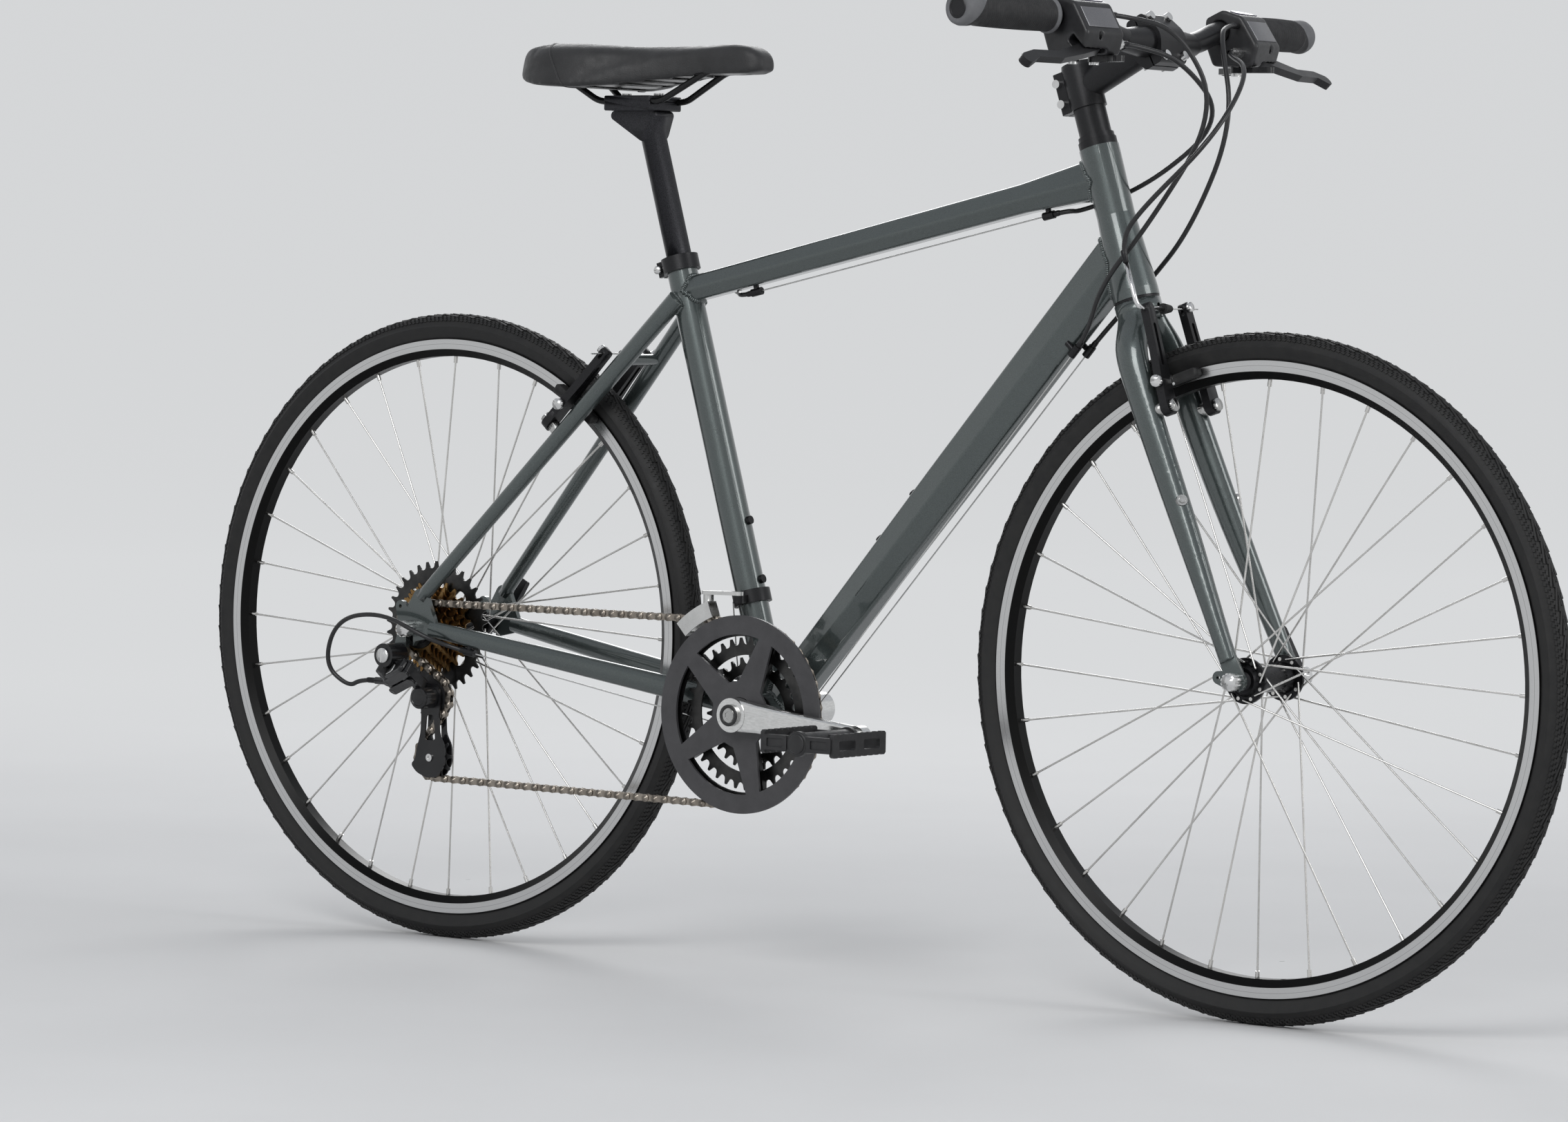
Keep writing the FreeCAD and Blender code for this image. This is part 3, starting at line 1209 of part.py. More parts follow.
def link_plate(low, high):
    middle = CHAIN_PITCH / 2
    wire = outline([(0, -PLATE_END), ((middle, -PLATE_WAIST), (CHAIN_PITCH, -PLATE_END)),
                    ((CHAIN_PITCH + PLATE_END, 0), (CHAIN_PITCH, PLATE_END)),
                    ((middle, PLATE_WAIST), (0, PLATE_END)),
                    ((-PLATE_END, 0), (0, -PLATE_END))])
    return plate([wire], low, high)


def link_pair(span):
    low, high = span
    return link_plate(low, high), link_plate(-high, -low)


def inner_link():
    first, second = link_pair(INNER_PLATE)
    places = [Vector(0, 0, -INNER_PLATE[1]), Vector(CHAIN_PITCH, 0, -INNER_PLATE[1])]
    rollers = [Part.makeCylinder(ROLLER_RADIUS, 2 * INNER_PLATE[1], place) for place in places]
    bores = [Part.makeCylinder(PIN_RADIUS + SEAT_GAP, 2 * INNER_PLATE[1], place) for place in places]
    return first.fuse([second] + rollers).cut(bores).removeSplitter()


def outer_link():
    first, second = link_pair(OUTER_PLATE)
    pins = [Part.makeCylinder(PIN_RADIUS, 2 * PIN_HALF, Vector(run, 0, -PIN_HALF))
            for run in (0, CHAIN_PITCH)]
    return first.fuse([second] + pins)


def chain():
    kinds = (inner_link(), outer_link())
    links = []
    for number, point in enumerate(PINS):
        ahead = PINS[(number + 1) % len(PINS)] - point
        run = ahead.normalize()
        links.append(placed(kinds[number % 2], point + CHAIN_PLANE, run, Y.cross(run) * -1))
    return links


# Freewheel: seven sprockets on a ratchet body that turns on the hub.
FREEWHEEL_BODY = 22.5
FREEWHEEL_RIM = 2.5
LARGE_HOLES = 8
LARGE_HOLE_CIRCLE = 45.0
LARGE_HOLE = 9.0


def freewheel():
    last = CHAIN_LINE - SPROCKET_SPACING * (len(SPROCKET_TEETH) - 1)
    body = bush(REAR_AXLE, Y * -1, FREEWHEEL_BORE + SLIP, FREEWHEEL_BODY, last - FREEWHEEL_RIM,
                CHAIN_LINE + FREEWHEEL_RIM)
    solids = [body]
    phase = seat_phase(PINS, REAR_AXLE, SPROCKET_RADIUS)
    for number, teeth in enumerate(SPROCKET_TEETH):
        solids.append(toothed(teeth, phase, FREEWHEEL_BODY + SLIP, REAR_AXLE,
                              CHAIN_LINE - SPROCKET_SPACING * number))
    holes = [upright(Part.makeCylinder(LARGE_HOLE, 2 * CHAIN_LINE,
                                       Vector(LARGE_HOLE_CIRCLE * math.cos(turn),
                                                                       LARGE_HOLE_CIRCLE * math.sin(turn),
                                                                               0)), REAR_AXLE)
             for turn in (2 * math.pi * number / LARGE_HOLES for number in range(LARGE_HOLES))]
    solids[-1] = solids[-1].cut(holes)
    return solids


# Crankset: two arms on a spindle, a five-arm spider, three rings and a chain guard.
SPIDER_ARMS = 5
SPIDER_REACH = 90.0
SPIDER_ROOT = 24.0
SPIDER_TIP = 8.0
RING_BORES = (82.0, 62.0, 43.0)
STANDOFF_CIRCLE = 50.0
STANDOFF_RADIUS = 5.0
GUARD_RADIUS = 104.0
GUARD_INNER = 84.0
GUARD_THICKNESS = 3.0
GUARD_HUB = 36.0
GUARD_ARM_ROOT = 15.0
GUARD_ARM_TIP = 9.0
GUARD_GAP = 4.5
BOSS_RADIUS = 18.0
BOSS_OUTER = 80.0
ARM_ROOT_SIDE = 71.0
ARM_TIP_SIDE = 85.0
ARM_SHARES = (0.0, 0.2, 0.6, 1.0)
CRANK_HALF_WIDTHS = (17.5, 15.0, 13.0, 12.5)
CRANK_HALF_DEPTHS = (7.0, 6.8, 6.2, 6.0)
CRANK_CORNER = 4.0
PEDAL_EYE = 13.5
PEDAL_EYE_HALF = 6.5
PEDAL_SHANK = 7.1
SPINDLE_END = 72.0
CRANK_CAP = 11.5
CRANK_CAP_LENGTH = 3.0


def crank_arm_right():
    middle = -ARM_ROOT_SIDE
    wires = []
    for share, width, depth in zip(ARM_SHARES, CRANK_HALF_WIDTHS, CRANK_HALF_DEPTHS):
        point = CRANK_CENTRE + CRANK_DIRECTION * (CRANK_LENGTH * share) + Y * blend(middle, -ARM_TIP_SIDE,
                share)
        section = rounded([(-width, -depth), (width, -depth), (width, depth), (-width, depth)],
                          [CRANK_CORNER] * 4)
        wires.append(placed(section, point, CRANK_DIRECTION.cross(Y), Y))
    arm = Part.makeLoft(wires, True, True)
    tip = CRANK_CENTRE + CRANK_DIRECTION * CRANK_LENGTH
    inner_face = CHAIN_LINE - TOOTH_THICKNESS / 2
    boss = bush(CRANK_CENTRE, Y * -1, 0, BOSS_RADIUS, inner_face - RING_SPACING, BOSS_OUTER)
    pedal_boss = bush(tip, Y * -1, 0, PEDAL_EYE, ARM_TIP_SIDE - PEDAL_EYE_HALF,
                      ARM_TIP_SIDE + PEDAL_EYE_HALF)
    spindle_hole = rod(CRANK_CENTRE, CRANK_CENTRE - Y * (2 * BOSS_OUTER), SPINDLE_RADIUS + SLIP)
    pedal_hole = rod(tip, tip - Y * (2 * ARM_TIP_SIDE), PEDAL_SHANK + SLIP)
    return arm.fuse([boss, pedal_boss]).cut([spindle_hole, pedal_hole])


def crank_arms():
    right = crank_arm_right()
    left = mirrored(right)
    left.rotate(CRANK_CENTRE, Y, HALF_TURN)
    return [right, left]


def spider():
    """Flat five-armed plate on the crank boss, between the outer and the middle ring."""
    outer = CHAIN_LINE - TOOTH_THICKNESS / 2
    inner = CHAIN_LINE - RING_SPACING + TOOTH_THICKNESS / 2
    hub = Part.makeCylinder(SPIDER_ROOT, outer - inner, Z * inner)
    arms = []
    for number in range(SPIDER_ARMS):
        turn = math.radians(CRANK_ANGLE) + 2 * math.pi * number / SPIDER_ARMS
        reach = (SPIDER_REACH - SPIDER_TIP) * math.cos(turn), (SPIDER_REACH - SPIDER_TIP) * math.sin(turn)
        arms.append(plate([linked([(0, 0, GUARD_ARM_TIP), (*reach, SPIDER_TIP)])], inner, outer))
    solid = hub.fuse(arms).cut(Part.makeCylinder(BOSS_RADIUS + SLIP, outer, Vector()))
    return upright(solid.removeSplitter(), CRANK_CENTRE)


def chainrings():
    phase = seat_phase(PINS, CRANK_CENTRE, RING_RADIUS)
    rings = [toothed(teeth, phase, bore, CRANK_CENTRE, CHAIN_LINE - RING_SPACING * number)
             for number, (teeth, bore) in enumerate(zip(RING_TEETH, RING_BORES))]
    posts = []
    start = CHAIN_LINE - RING_SPACING + TOOTH_THICKNESS / 2
    end = CHAIN_LINE - 2 * RING_SPACING + TOOTH_THICKNESS / 2
    for number in range(SPIDER_ARMS):
        out = direction(CRANK_ANGLE + FULL_TURN * number / SPIDER_ARMS) * STANDOFF_CIRCLE
        posts.append(rod(CRANK_CENTRE + out - Y * end, CRANK_CENTRE + out - Y * start, STANDOFF_RADIUS))
    return rings + [spider()] + posts


def guard_window(number):
    """Hole between two guard arms: an arc of the rim, an arc of the hub and two arm edges."""
    start = math.radians(CRANK_ANGLE) + 2 * math.pi * number / SPIDER_ARMS
    step = 2 * math.pi / SPIDER_ARMS
    outer_trim = math.asin(GUARD_ARM_TIP / GUARD_INNER)
    inner_trim = math.asin(GUARD_ARM_ROOT / GUARD_HUB)

    def spot(radius, turn):
        return (radius * math.cos(turn), radius * math.sin(turn))

    return outline([spot(GUARD_HUB, start + inner_trim), spot(GUARD_INNER, start + outer_trim),
                    (spot(GUARD_INNER, start + step / 2), spot(GUARD_INNER, start + step - outer_trim)),
                    spot(GUARD_HUB, start + step - inner_trim)])


def chain_guard():
    outer = CHAIN_LINE + GUARD_GAP + GUARD_THICKNESS
    middle = CHAIN_LINE + GUARD_GAP
    windows = [guard_window(number) for number in range(SPIDER_ARMS)]
    face = plate([ring_wire(GUARD_RADIUS), ring_wire(BOSS_RADIUS + CLEARANCE)] + windows, middle, outer)
    foot = CHAIN_LINE - TOOTH_THICKNESS / 2
    pads = []
    for number in range(SPIDER_ARMS):
        turn = math.radians(CRANK_ANGLE) + 2 * math.pi * number / SPIDER_ARMS
        near = GUARD_HUB * math.cos(turn), GUARD_HUB * math.sin(turn), SPIDER_TIP / 2
        reach = RING_BORES[0] - SPIDER_TIP
        far = reach * math.cos(turn), reach * math.sin(turn), SPIDER_TIP / 2
        pads.append(plate([linked([near, far])], foot, middle))
    return upright(face.fuse(pads).removeSplitter(), CRANK_CENTRE)


# Pedals: an axle with a barrel, end plates and toothed rails.
PEDAL_START = 100.0
PEDAL_END = 190.0
PEDAL_HALF_LENGTH = 46.0
PEDAL_HALF_HEIGHT = 12.0
PEDAL_RAIL = 5.0
PEDAL_BARREL = 11.0
PEDAL_AXLE = 5.0
PEDAL_PLATE = 5.0
PEDAL_TEETH = 9
PEDAL_TOOTH = 4.0
PEDAL_TOOTH_SHARES = (0.25, 0.75)
PEDAL_WINDOW_SHARES = (0.2, 1.0)
PEDAL_PLATE_CORNER = 5.0
PEDAL_CROSS = 5.0
PEDAL_CAP = 13.0


def crank_axles():
    solids = [bush(CRANK_CENTRE, Y, 0, SPINDLE_RADIUS, -SPINDLE_END, SPINDLE_END)]
    for side, along in ((-1, 1), (1, -1)):
        tip = CRANK_CENTRE + CRANK_DIRECTION * (CRANK_LENGTH * along)
        start, flange = ARM_TIP_SIDE - PEDAL_EYE_HALF, ARM_TIP_SIDE + PEDAL_EYE_HALF + SEAT_GAP
        stop = PEDAL_START - CLEARANCE
        solids.append(lathe([(0, start), (PEDAL_SHANK, start), (PEDAL_SHANK, flange),
                             (2 * PEDAL_AXLE, flange),
                             (2 * PEDAL_AXLE, stop), (PEDAL_AXLE, stop),
                             (PEDAL_AXLE, PEDAL_END - PEDAL_PLATE),
                             (0, PEDAL_END - PEDAL_PLATE)], tip, Y * side))
        cap_foot = BOSS_OUTER + SEAT_GAP
        solids.append(lathe([(0, SPINDLE_END), (SPINDLE_RADIUS, SPINDLE_END), (SPINDLE_RADIUS, cap_foot),
                             (CRANK_CAP, cap_foot),
                             (CRANK_CAP, cap_foot + CRANK_CAP_LENGTH), (0, cap_foot + CRANK_CAP_LENGTH)],
                            CRANK_CENTRE, Y * side))
    return solids


def pedal(side):
    """Pedal drawn with its axle on Y from the origin, then moved to the crank tip."""
    length = PEDAL_END - PEDAL_START
    middle = (PEDAL_START + PEDAL_END) / 2
    pitch = length / PEDAL_TEETH
    base_half = PEDAL_HALF_HEIGHT - PEDAL_TOOTH / 2
    top = []
    for number in range(PEDAL_TEETH):
        start = PEDAL_START + pitch * number
        top.append((start, base_half))
        top += [(start + pitch * share, PEDAL_HALF_HEIGHT) for share in PEDAL_TOOTH_SHARES]
    top.append((PEDAL_END, base_half))
    bottom = [(run, -height) for run, height in reversed(top)]
    wire = outline(top + bottom)
    window = length / 2 - PEDAL_PLATE * 2
    holes = []
    for sign in (-1, 1):
        near, far = sorted(middle + sign * window * share for share in PEDAL_WINDOW_SHARES)
        corners = [(near, -base_half / 2), (far, -base_half / 2), (far, base_half / 2),
                   (near, base_half / 2)]
        holes.append(rounded(corners, [PEDAL_TOOTH / 2] * 4))
    front = placed(plate([wire] + holes, PEDAL_HALF_LENGTH - PEDAL_RAIL, PEDAL_HALF_LENGTH), Vector(),
                   Y * side, Z)
    back = front.copy()
    back.rotate(Vector(), Z, HALF_TURN)
    back.translate(Y * (2 * middle * side))
    high = PEDAL_HALF_HEIGHT - PEDAL_TOOTH
    wide = PEDAL_HALF_LENGTH - PEDAL_RAIL / 2
    plate_wire = rounded([(-wide, -high), (wide, -high), (wide, high), (-wide, high)],
                         [PEDAL_PLATE_CORNER / 2] * 4)
    ends = []
    for low in (PEDAL_START, PEDAL_END - PEDAL_PLATE):
        end_plate = plate([plate_wire], low, low + PEDAL_PLATE)
        disc = Part.makeCylinder(PEDAL_CAP, PEDAL_PLATE, Z * low)
        ends.append(placed(end_plate.fuse(disc), Vector(), X, Z * -side))
    barrel = bush(Vector(), Y * side, 0, PEDAL_BARREL, PEDAL_START, PEDAL_END)
    cross = placed(plate([plate_wire], middle - PEDAL_CROSS / 2, middle + PEDAL_CROSS / 2),
                   Vector(), X, Z * -side)
    bore = rod(Vector(), Y * (side * (PEDAL_END - PEDAL_PLATE + SEAT_GAP)), PEDAL_AXLE + SLIP)
    solid = front.fuse([back, barrel, cross] + ends).cut(bore)
    solid.translate(CRANK_CENTRE + CRANK_DIRECTION * (-CRANK_LENGTH * side))
    return solid


# Rear derailleur: B knuckle on the hanger, two slanted links, P knuckle, cage and pulleys.
KNUCKLE_BOSS = 13.0
KNUCKLE_OUTER = 100.0
KNUCKLE_CAP = 8.0
KNUCKLE_CAP_HEIGHT = 2.5
KNUCKLE_HALF = 5.5
KNUCKLE_EYE = 5.0
KNUCKLE_ARM = 16.0
KNUCKLE_ARM_EYE = 6.0
LINK_PIN = 2.4
LINK_EAR = 2.5
LINK_EAR_GAP = 0.5
WEB_SHARES = (0.3, 0.7)
WEB_HALF = 2.5
COVER_DEPTH = 5.0
BARREL_RADIUS = 4.0
BARREL_LENGTH = 20.0
CAGE_GAP = 5.0
CAGE_PLATE = 1.8
CAGE_EYE = 12.5
CAGE_BOLT = 2.5
CAGE_STUD = 6.0
CAGE_WINDOW = 5.0
PULLEY_HUB = 8.0
PULLEY_HUB_HALF = 4.2
GUIDE_BOSS = 12.0
GUIDE_BOSS_LENGTH = 18.0
GUIDE_BOSS_GAP = 0.5


def in_link(solid, base):
    """Drawn with X ahead and Y across the links, its height along the link pins."""
    return placed(solid, base, X, LINK_ACROSS)


def b_knuckle():
    eyes = [(0, -LINK_GAP / 2 - KNUCKLE_ARM, KNUCKLE_ARM_EYE), (0, LINK_GAP / 2, KNUCKLE_EYE)]
    block = in_link(plate([linked(eyes)], -KNUCKLE_HALF, KNUCKLE_HALF), KNUCKLE_REAR)
    boss = bush(HANGER, Y * -1, 0, KNUCKLE_BOSS, DROPOUT_OUTER + SEAT_GAP, KNUCKLE_OUTER)
    bolt = lathe([(0, DROPOUT_INNER), (HANGER_BOLT, DROPOUT_INNER), (HANGER_BOLT, KNUCKLE_OUTER + SEAT_GAP),
                  (KNUCKLE_CAP, KNUCKLE_OUTER + SEAT_GAP),
                  (KNUCKLE_CAP, KNUCKLE_OUTER + KNUCKLE_CAP_HEIGHT),
                  (0, KNUCKLE_OUTER + KNUCKLE_CAP_HEIGHT)], HANGER, Y * -1)
    bore = rod(HANGER, HANGER - Y * (2 * KNUCKLE_OUTER), HANGER_BOLT + SLIP)
    barrel = rod(KNUCKLE_REAR, KNUCKLE_REAR - X * (BARREL_LENGTH + KNUCKLE_EYE), BARREL_RADIUS)
    return [block.fuse([boss, barrel]).cut(bore).fuse(link_pins(KNUCKLE_REAR)), bolt]


def link_pins(base):
    reach = LINK_AXIS * (KNUCKLE_HALF + LINK_EAR_GAP + LINK_EAR)
    return [rod(base + LINK_ACROSS * offset - reach, base + LINK_ACROSS * offset + reach, LINK_PIN)
            for offset in (-LINK_GAP / 2, LINK_GAP / 2)]


def swing_link(offset, cover):
    """One of the two links: an ear above and below the knuckles, and a web between them."""
    low, high = KNUCKLE_HALF + LINK_EAR_GAP, KNUCKLE_HALF + LINK_EAR_GAP + LINK_EAR
    wire = linked([(0, 0, KNUCKLE_EYE), (LINK_LENGTH, 0, KNUCKLE_EYE)])
    holes = [Part.makeCylinder(LINK_PIN + SLIP, 2 * high, Vector(run, 0, -high))
             for run in (0, LINK_LENGTH)]
    start, end = LINK_LENGTH * WEB_SHARES[0], LINK_LENGTH * WEB_SHARES[1]
    web = plate([rounded([(start, -cover), (end, -cover), (end, WEB_HALF), (start, WEB_HALF)],
                         [WEB_HALF / 2] * 4)],
                -high, high)
    body = plate([wire], low, high).fuse([plate([wire], -high, -low), web]).cut(holes)
    return placed(body, KNUCKLE_REAR + LINK_ACROSS * offset, LINK_REST, LINK_AXIS.cross(LINK_REST))


def p_knuckle():
    eyes = [(0, -LINK_GAP / 2, KNUCKLE_EYE), (0, LINK_GAP / 2 + KNUCKLE_ARM, KNUCKLE_ARM_EYE)]
    block = in_link(plate([linked(eyes)], -KNUCKLE_HALF, KNUCKLE_HALF), KNUCKLE_FRONT)
    face = CHAIN_LINE + CAGE_GAP + CAGE_PLATE + GUIDE_BOSS_GAP
    boss = bush(GUIDE_CENTRE, Y * -1, 0, GUIDE_BOSS, face, face + GUIDE_BOSS_LENGTH)
    stud_room = rod(GUIDE_CENTRE, GUIDE_CENTRE - Y * (face + GUIDE_BOSS_LENGTH / 2), CAGE_STUD + SLIP)
    keep_clear = rod(GUIDE_CENTRE, GUIDE_CENTRE - Y * face, 2 * GUIDE_BOSS)
    return block.cut(keep_clear).fuse(boss).cut(stud_room).fuse(link_pins(KNUCKLE_FRONT))


def cage():
    eyes = [eye(TENSION_CENTRE, CAGE_EYE), eye(GUIDE_CENTRE, CAGE_EYE)]
    window_ends = [eye(blend(GUIDE_CENTRE, TENSION_CENTRE, share), CAGE_WINDOW)
                   for share in (1 - WEB_SHARES[0], WEB_SHARES[0])]
    wires = [linked(eyes), linked(window_ends)]
    inner, outer = CAGE_GAP, CAGE_GAP + CAGE_PLATE
    near = upright(plate(wires, CHAIN_LINE + inner, CHAIN_LINE + outer))
    far = upright(plate(wires, CHAIN_LINE - outer, CHAIN_LINE - inner))
    bolts = [rod(point - Y * (CHAIN_LINE - outer), point - Y * (CHAIN_LINE + outer), CAGE_BOLT)
             for point in (GUIDE_CENTRE, TENSION_CENTRE)]
    stud_end = CHAIN_LINE + outer + GUIDE_BOSS_GAP + GUIDE_BOSS_LENGTH / 2 - CLEARANCE
    stud = rod(GUIDE_CENTRE - Y * (CHAIN_LINE + inner), GUIDE_CENTRE - Y * stud_end, CAGE_STUD)
    return near.fuse([far, stud] + bolts)


def pulley(centre):
    phase = seat_phase(PINS, centre, PULLEY_RADIUS)
    teeth = toothed(PULLEY_TEETH, phase, PULLEY_HUB / 2, centre, CHAIN_LINE)
    hub = bush(centre, Y * -1, 0, PULLEY_HUB, CHAIN_LINE - PULLEY_HUB_HALF, CHAIN_LINE + PULLEY_HUB_HALF)
    bore = rod(centre, centre - Y * (2 * CHAIN_LINE), CAGE_BOLT + SLIP)
    return teeth.fuse(hub).cut(bore)


# Front derailleur: band clamp, a level link and a curved cage over the large ring.
FD_HEIGHT = 395.0
FD_BAND = 20.5
FD_BAND_HALF = 7.0
FD_PIVOT_AHEAD = 13.0
FD_PIVOT_SIDE = 41.0
FD_PIVOT_EYE = 5.5
FD_ARM_HALF = 4.0
FD_LINK_LENGTH = 36.0
FD_SWING = 14.0
FD_PIN = 2.4
FD_LINK_THICKNESS = 4.0
FD_CAGE_GAP = 6.0
FD_CAGE_PLATE = 1.4
FD_CAGE_LOW = 107.5
FD_CAGE_HIGH = 125.0
FD_CAGE_START = 111.0
FD_CAGE_END = 133.0
FD_BRIDGE = 3.0
FD_BRIDGE_TURN = 7.0

FD_BASE = CRANK_CENTRE + SEAT_AXIS * ((FD_HEIGHT - CRANK_CENTRE.z) / SEAT_AXIS.z)
FD_PIVOT = FD_BASE + Vector(FD_PIVOT_AHEAD, -FD_PIVOT_SIDE, 0)
FD_LINK_END = FD_PIVOT + Vector(-FD_LINK_LENGTH * math.cos(math.radians(FD_SWING)),
                                -FD_LINK_LENGTH * math.sin(math.radians(FD_SWING)), 0)


def fd_body():
    band = bush(FD_BASE, SEAT_AXIS, 0, FD_BAND, -FD_BAND_HALF, FD_BAND_HALF)
    arm = plate([linked([(FD_BASE.x, -SEAT_TUBE_RADIUS, FD_BAND_HALF),
                         (FD_PIVOT.x, FD_PIVOT.y, FD_PIVOT_EYE)][::-1])],
                FD_HEIGHT - FD_ARM_HALF, FD_HEIGHT + FD_ARM_HALF)
    bore = rod(CRANK_CENTRE, SEAT_TOP, SEAT_TUBE_RADIUS + SLIP)
    pin = rod(FD_PIVOT, FD_PIVOT + Z * (FD_ARM_HALF + FD_LINK_THICKNESS), FD_PIN)
    return band.fuse(arm).cut(bore).fuse(pin)


def fd_link():
    low = FD_HEIGHT + FD_ARM_HALF + SEAT_GAP
    body = plate([linked([(FD_LINK_END.x, FD_LINK_END.y, FD_PIVOT_EYE),
                          (FD_PIVOT.x, FD_PIVOT.y, FD_PIVOT_EYE)])],
                 low, low + FD_LINK_THICKNESS)
    holes = [Part.makeCylinder(FD_PIN + SLIP, 4 * FD_LINK_THICKNESS, point - Z * FD_LINK_THICKNESS)
             for point in (FD_PIVOT, FD_LINK_END)]
    return body.cut(holes)


def fd_sector(low, high, start, end, near, far):
    """Curved plate round the crank between two radii and two angles."""

    def spot(radius, turn):
        return (radius * math.cos(math.radians(turn)), radius * math.sin(math.radians(turn)))

    middle = (start + end) / 2
    wire = outline([spot(low, start), spot(high, start), (spot(high, middle), spot(high, end)),
                    spot(low, end),
                    (spot(low, middle), spot(low, start))])
    return upright(plate([wire], near, far), CRANK_CENTRE)


def fd_cage():
    outer = CHAIN_LINE + FD_CAGE_GAP
    inner = CHAIN_LINE - FD_CAGE_GAP
    near = fd_sector(FD_CAGE_LOW, FD_CAGE_HIGH, FD_CAGE_START, FD_CAGE_END, outer, outer + FD_CAGE_PLATE)
    far = fd_sector(FD_CAGE_LOW, FD_CAGE_HIGH, FD_CAGE_START, FD_CAGE_END, inner - FD_CAGE_PLATE, inner)
    top = fd_sector(FD_CAGE_HIGH - FD_BRIDGE / 2, FD_CAGE_HIGH, FD_CAGE_START,
                    FD_CAGE_START + FD_BRIDGE_TURN,
                    inner - FD_CAGE_PLATE, outer + FD_CAGE_PLATE)
    tail = fd_sector(FD_CAGE_LOW, FD_CAGE_LOW + FD_BRIDGE / 2, FD_CAGE_END - FD_BRIDGE, FD_CAGE_END,
                     inner - FD_CAGE_PLATE, outer + FD_CAGE_PLATE)
    tab_side = -(CHAIN_LINE - FD_CAGE_GAP - FD_CAGE_PLATE / 2)
    tab = plate([linked([(FD_LINK_END.x, tab_side, FD_CAGE_PLATE / 2 + FD_BRIDGE / 2),
                         (FD_LINK_END.x, FD_LINK_END.y + FD_BRIDGE, FD_PIVOT_EYE)])],
                FD_HEIGHT - 3 * FD_ARM_HALF, FD_HEIGHT + FD_ARM_HALF)
    pin = rod(FD_LINK_END, FD_LINK_END + Z * (FD_ARM_HALF + FD_LINK_THICKNESS), FD_PIN)
    return near.fuse([far, top, tail, tab, pin])


# Stem, spacers and handlebar.
TOP_RING_START = 8.2
TOP_RING_END = 13.0
TOP_RING_RADIUS = 18.5
SPACER_RADIUS = 16.5
STEM_CLAMP_START = 42.0
STEM_CLAMP_HEIGHT = 43.0
STEM_CLAMP_RADIUS = 18.5
STEM_LENGTH = 97.0
STEM_RISE = 9.5
STEM_BODY = 15.0
STEM_HEAD_RADIUS = 20.5
STEM_HEAD_HALF = 23.0
STEM_BACK = 1.0
STEM_LUG = 5.0
STEM_LUG_RISE = 22.0
STEM_LUG_AHEAD = 7.0
STEM_SPLIT_GAP = 1.6
STEM_BOLT = 2.5
STEM_BOLT_HEAD = 4.4
STEM_BOLT_HEIGHT = 5.0
STEM_BOLT_SIDE = 16.0
STEM_BOLT_DEPTH = 16.0
PINCH_REACH = 27.0
PINCH_SIDE = 11.0
PINCH_PLACE_SHARES = (0.25, 0.75)
CAP_HEIGHT = 4.0
BAR_CENTRE_RADIUS = 15.9
BAR_RADIUS = 11.1
BAR_WALL = 2.2
BAR_STRAIGHT = 28.0
BAR_TAPER_END = 66.0
BAR_BEND = 118.0
BAR_RISE = 18.0
BAR_END_RISE = 20.0
BAR_SWEEP = 24.0

STEM_MIDDLE = HEAD_TOP + STEER_AXIS * (STEM_CLAMP_START + STEM_CLAMP_HEIGHT / 2)
STEM_AXIS = direction(QUARTER_TURN - HEAD_ANGLE + STEM_RISE)
STEM_UP = STEM_AXIS.cross(Y)
BAR_CENTRE = STEM_MIDDLE + STEM_AXIS * STEM_LENGTH


def stem_head(inset):
    """Bar clamp with bolt lugs, drawn in the wheel plane and widened to both sides."""
    eyes = [(-STEM_LUG_AHEAD, -STEM_LUG_RISE, STEM_LUG), (STEM_LUG_AHEAD, -STEM_LUG_RISE, STEM_LUG),
            (0, 0, STEM_HEAD_RADIUS),
            (STEM_LUG_AHEAD, STEM_LUG_RISE, STEM_LUG), (-STEM_LUG_AHEAD, STEM_LUG_RISE, STEM_LUG),
            (-STEM_BACK, 0, STEM_HEAD_RADIUS)]
    core = Part.makeCylinder(BAR_CENTRE_RADIUS + SLIP, 4 * STEM_HEAD_HALF, Z * (-2 * STEM_HEAD_HALF))
    body = plate([linked(eyes)], -STEM_HEAD_HALF, STEM_HEAD_HALF).cut(core)
    reach = 4 * STEM_HEAD_RADIUS
    side = Part.makeBox(reach, 2 * reach, 2 * reach, Vector(inset if inset > 0 else inset - reach, -reach,
                                                            -reach))
    return body.common(side)


def in_stem(solid):
    return placed(solid, BAR_CENTRE, STEM_AXIS, STEM_UP)


def stem_bolt_places():
    return [(STEM_LUG_RISE * up, STEM_BOLT_SIDE * side) for up in (-1, 1) for side in (-1, 1)]


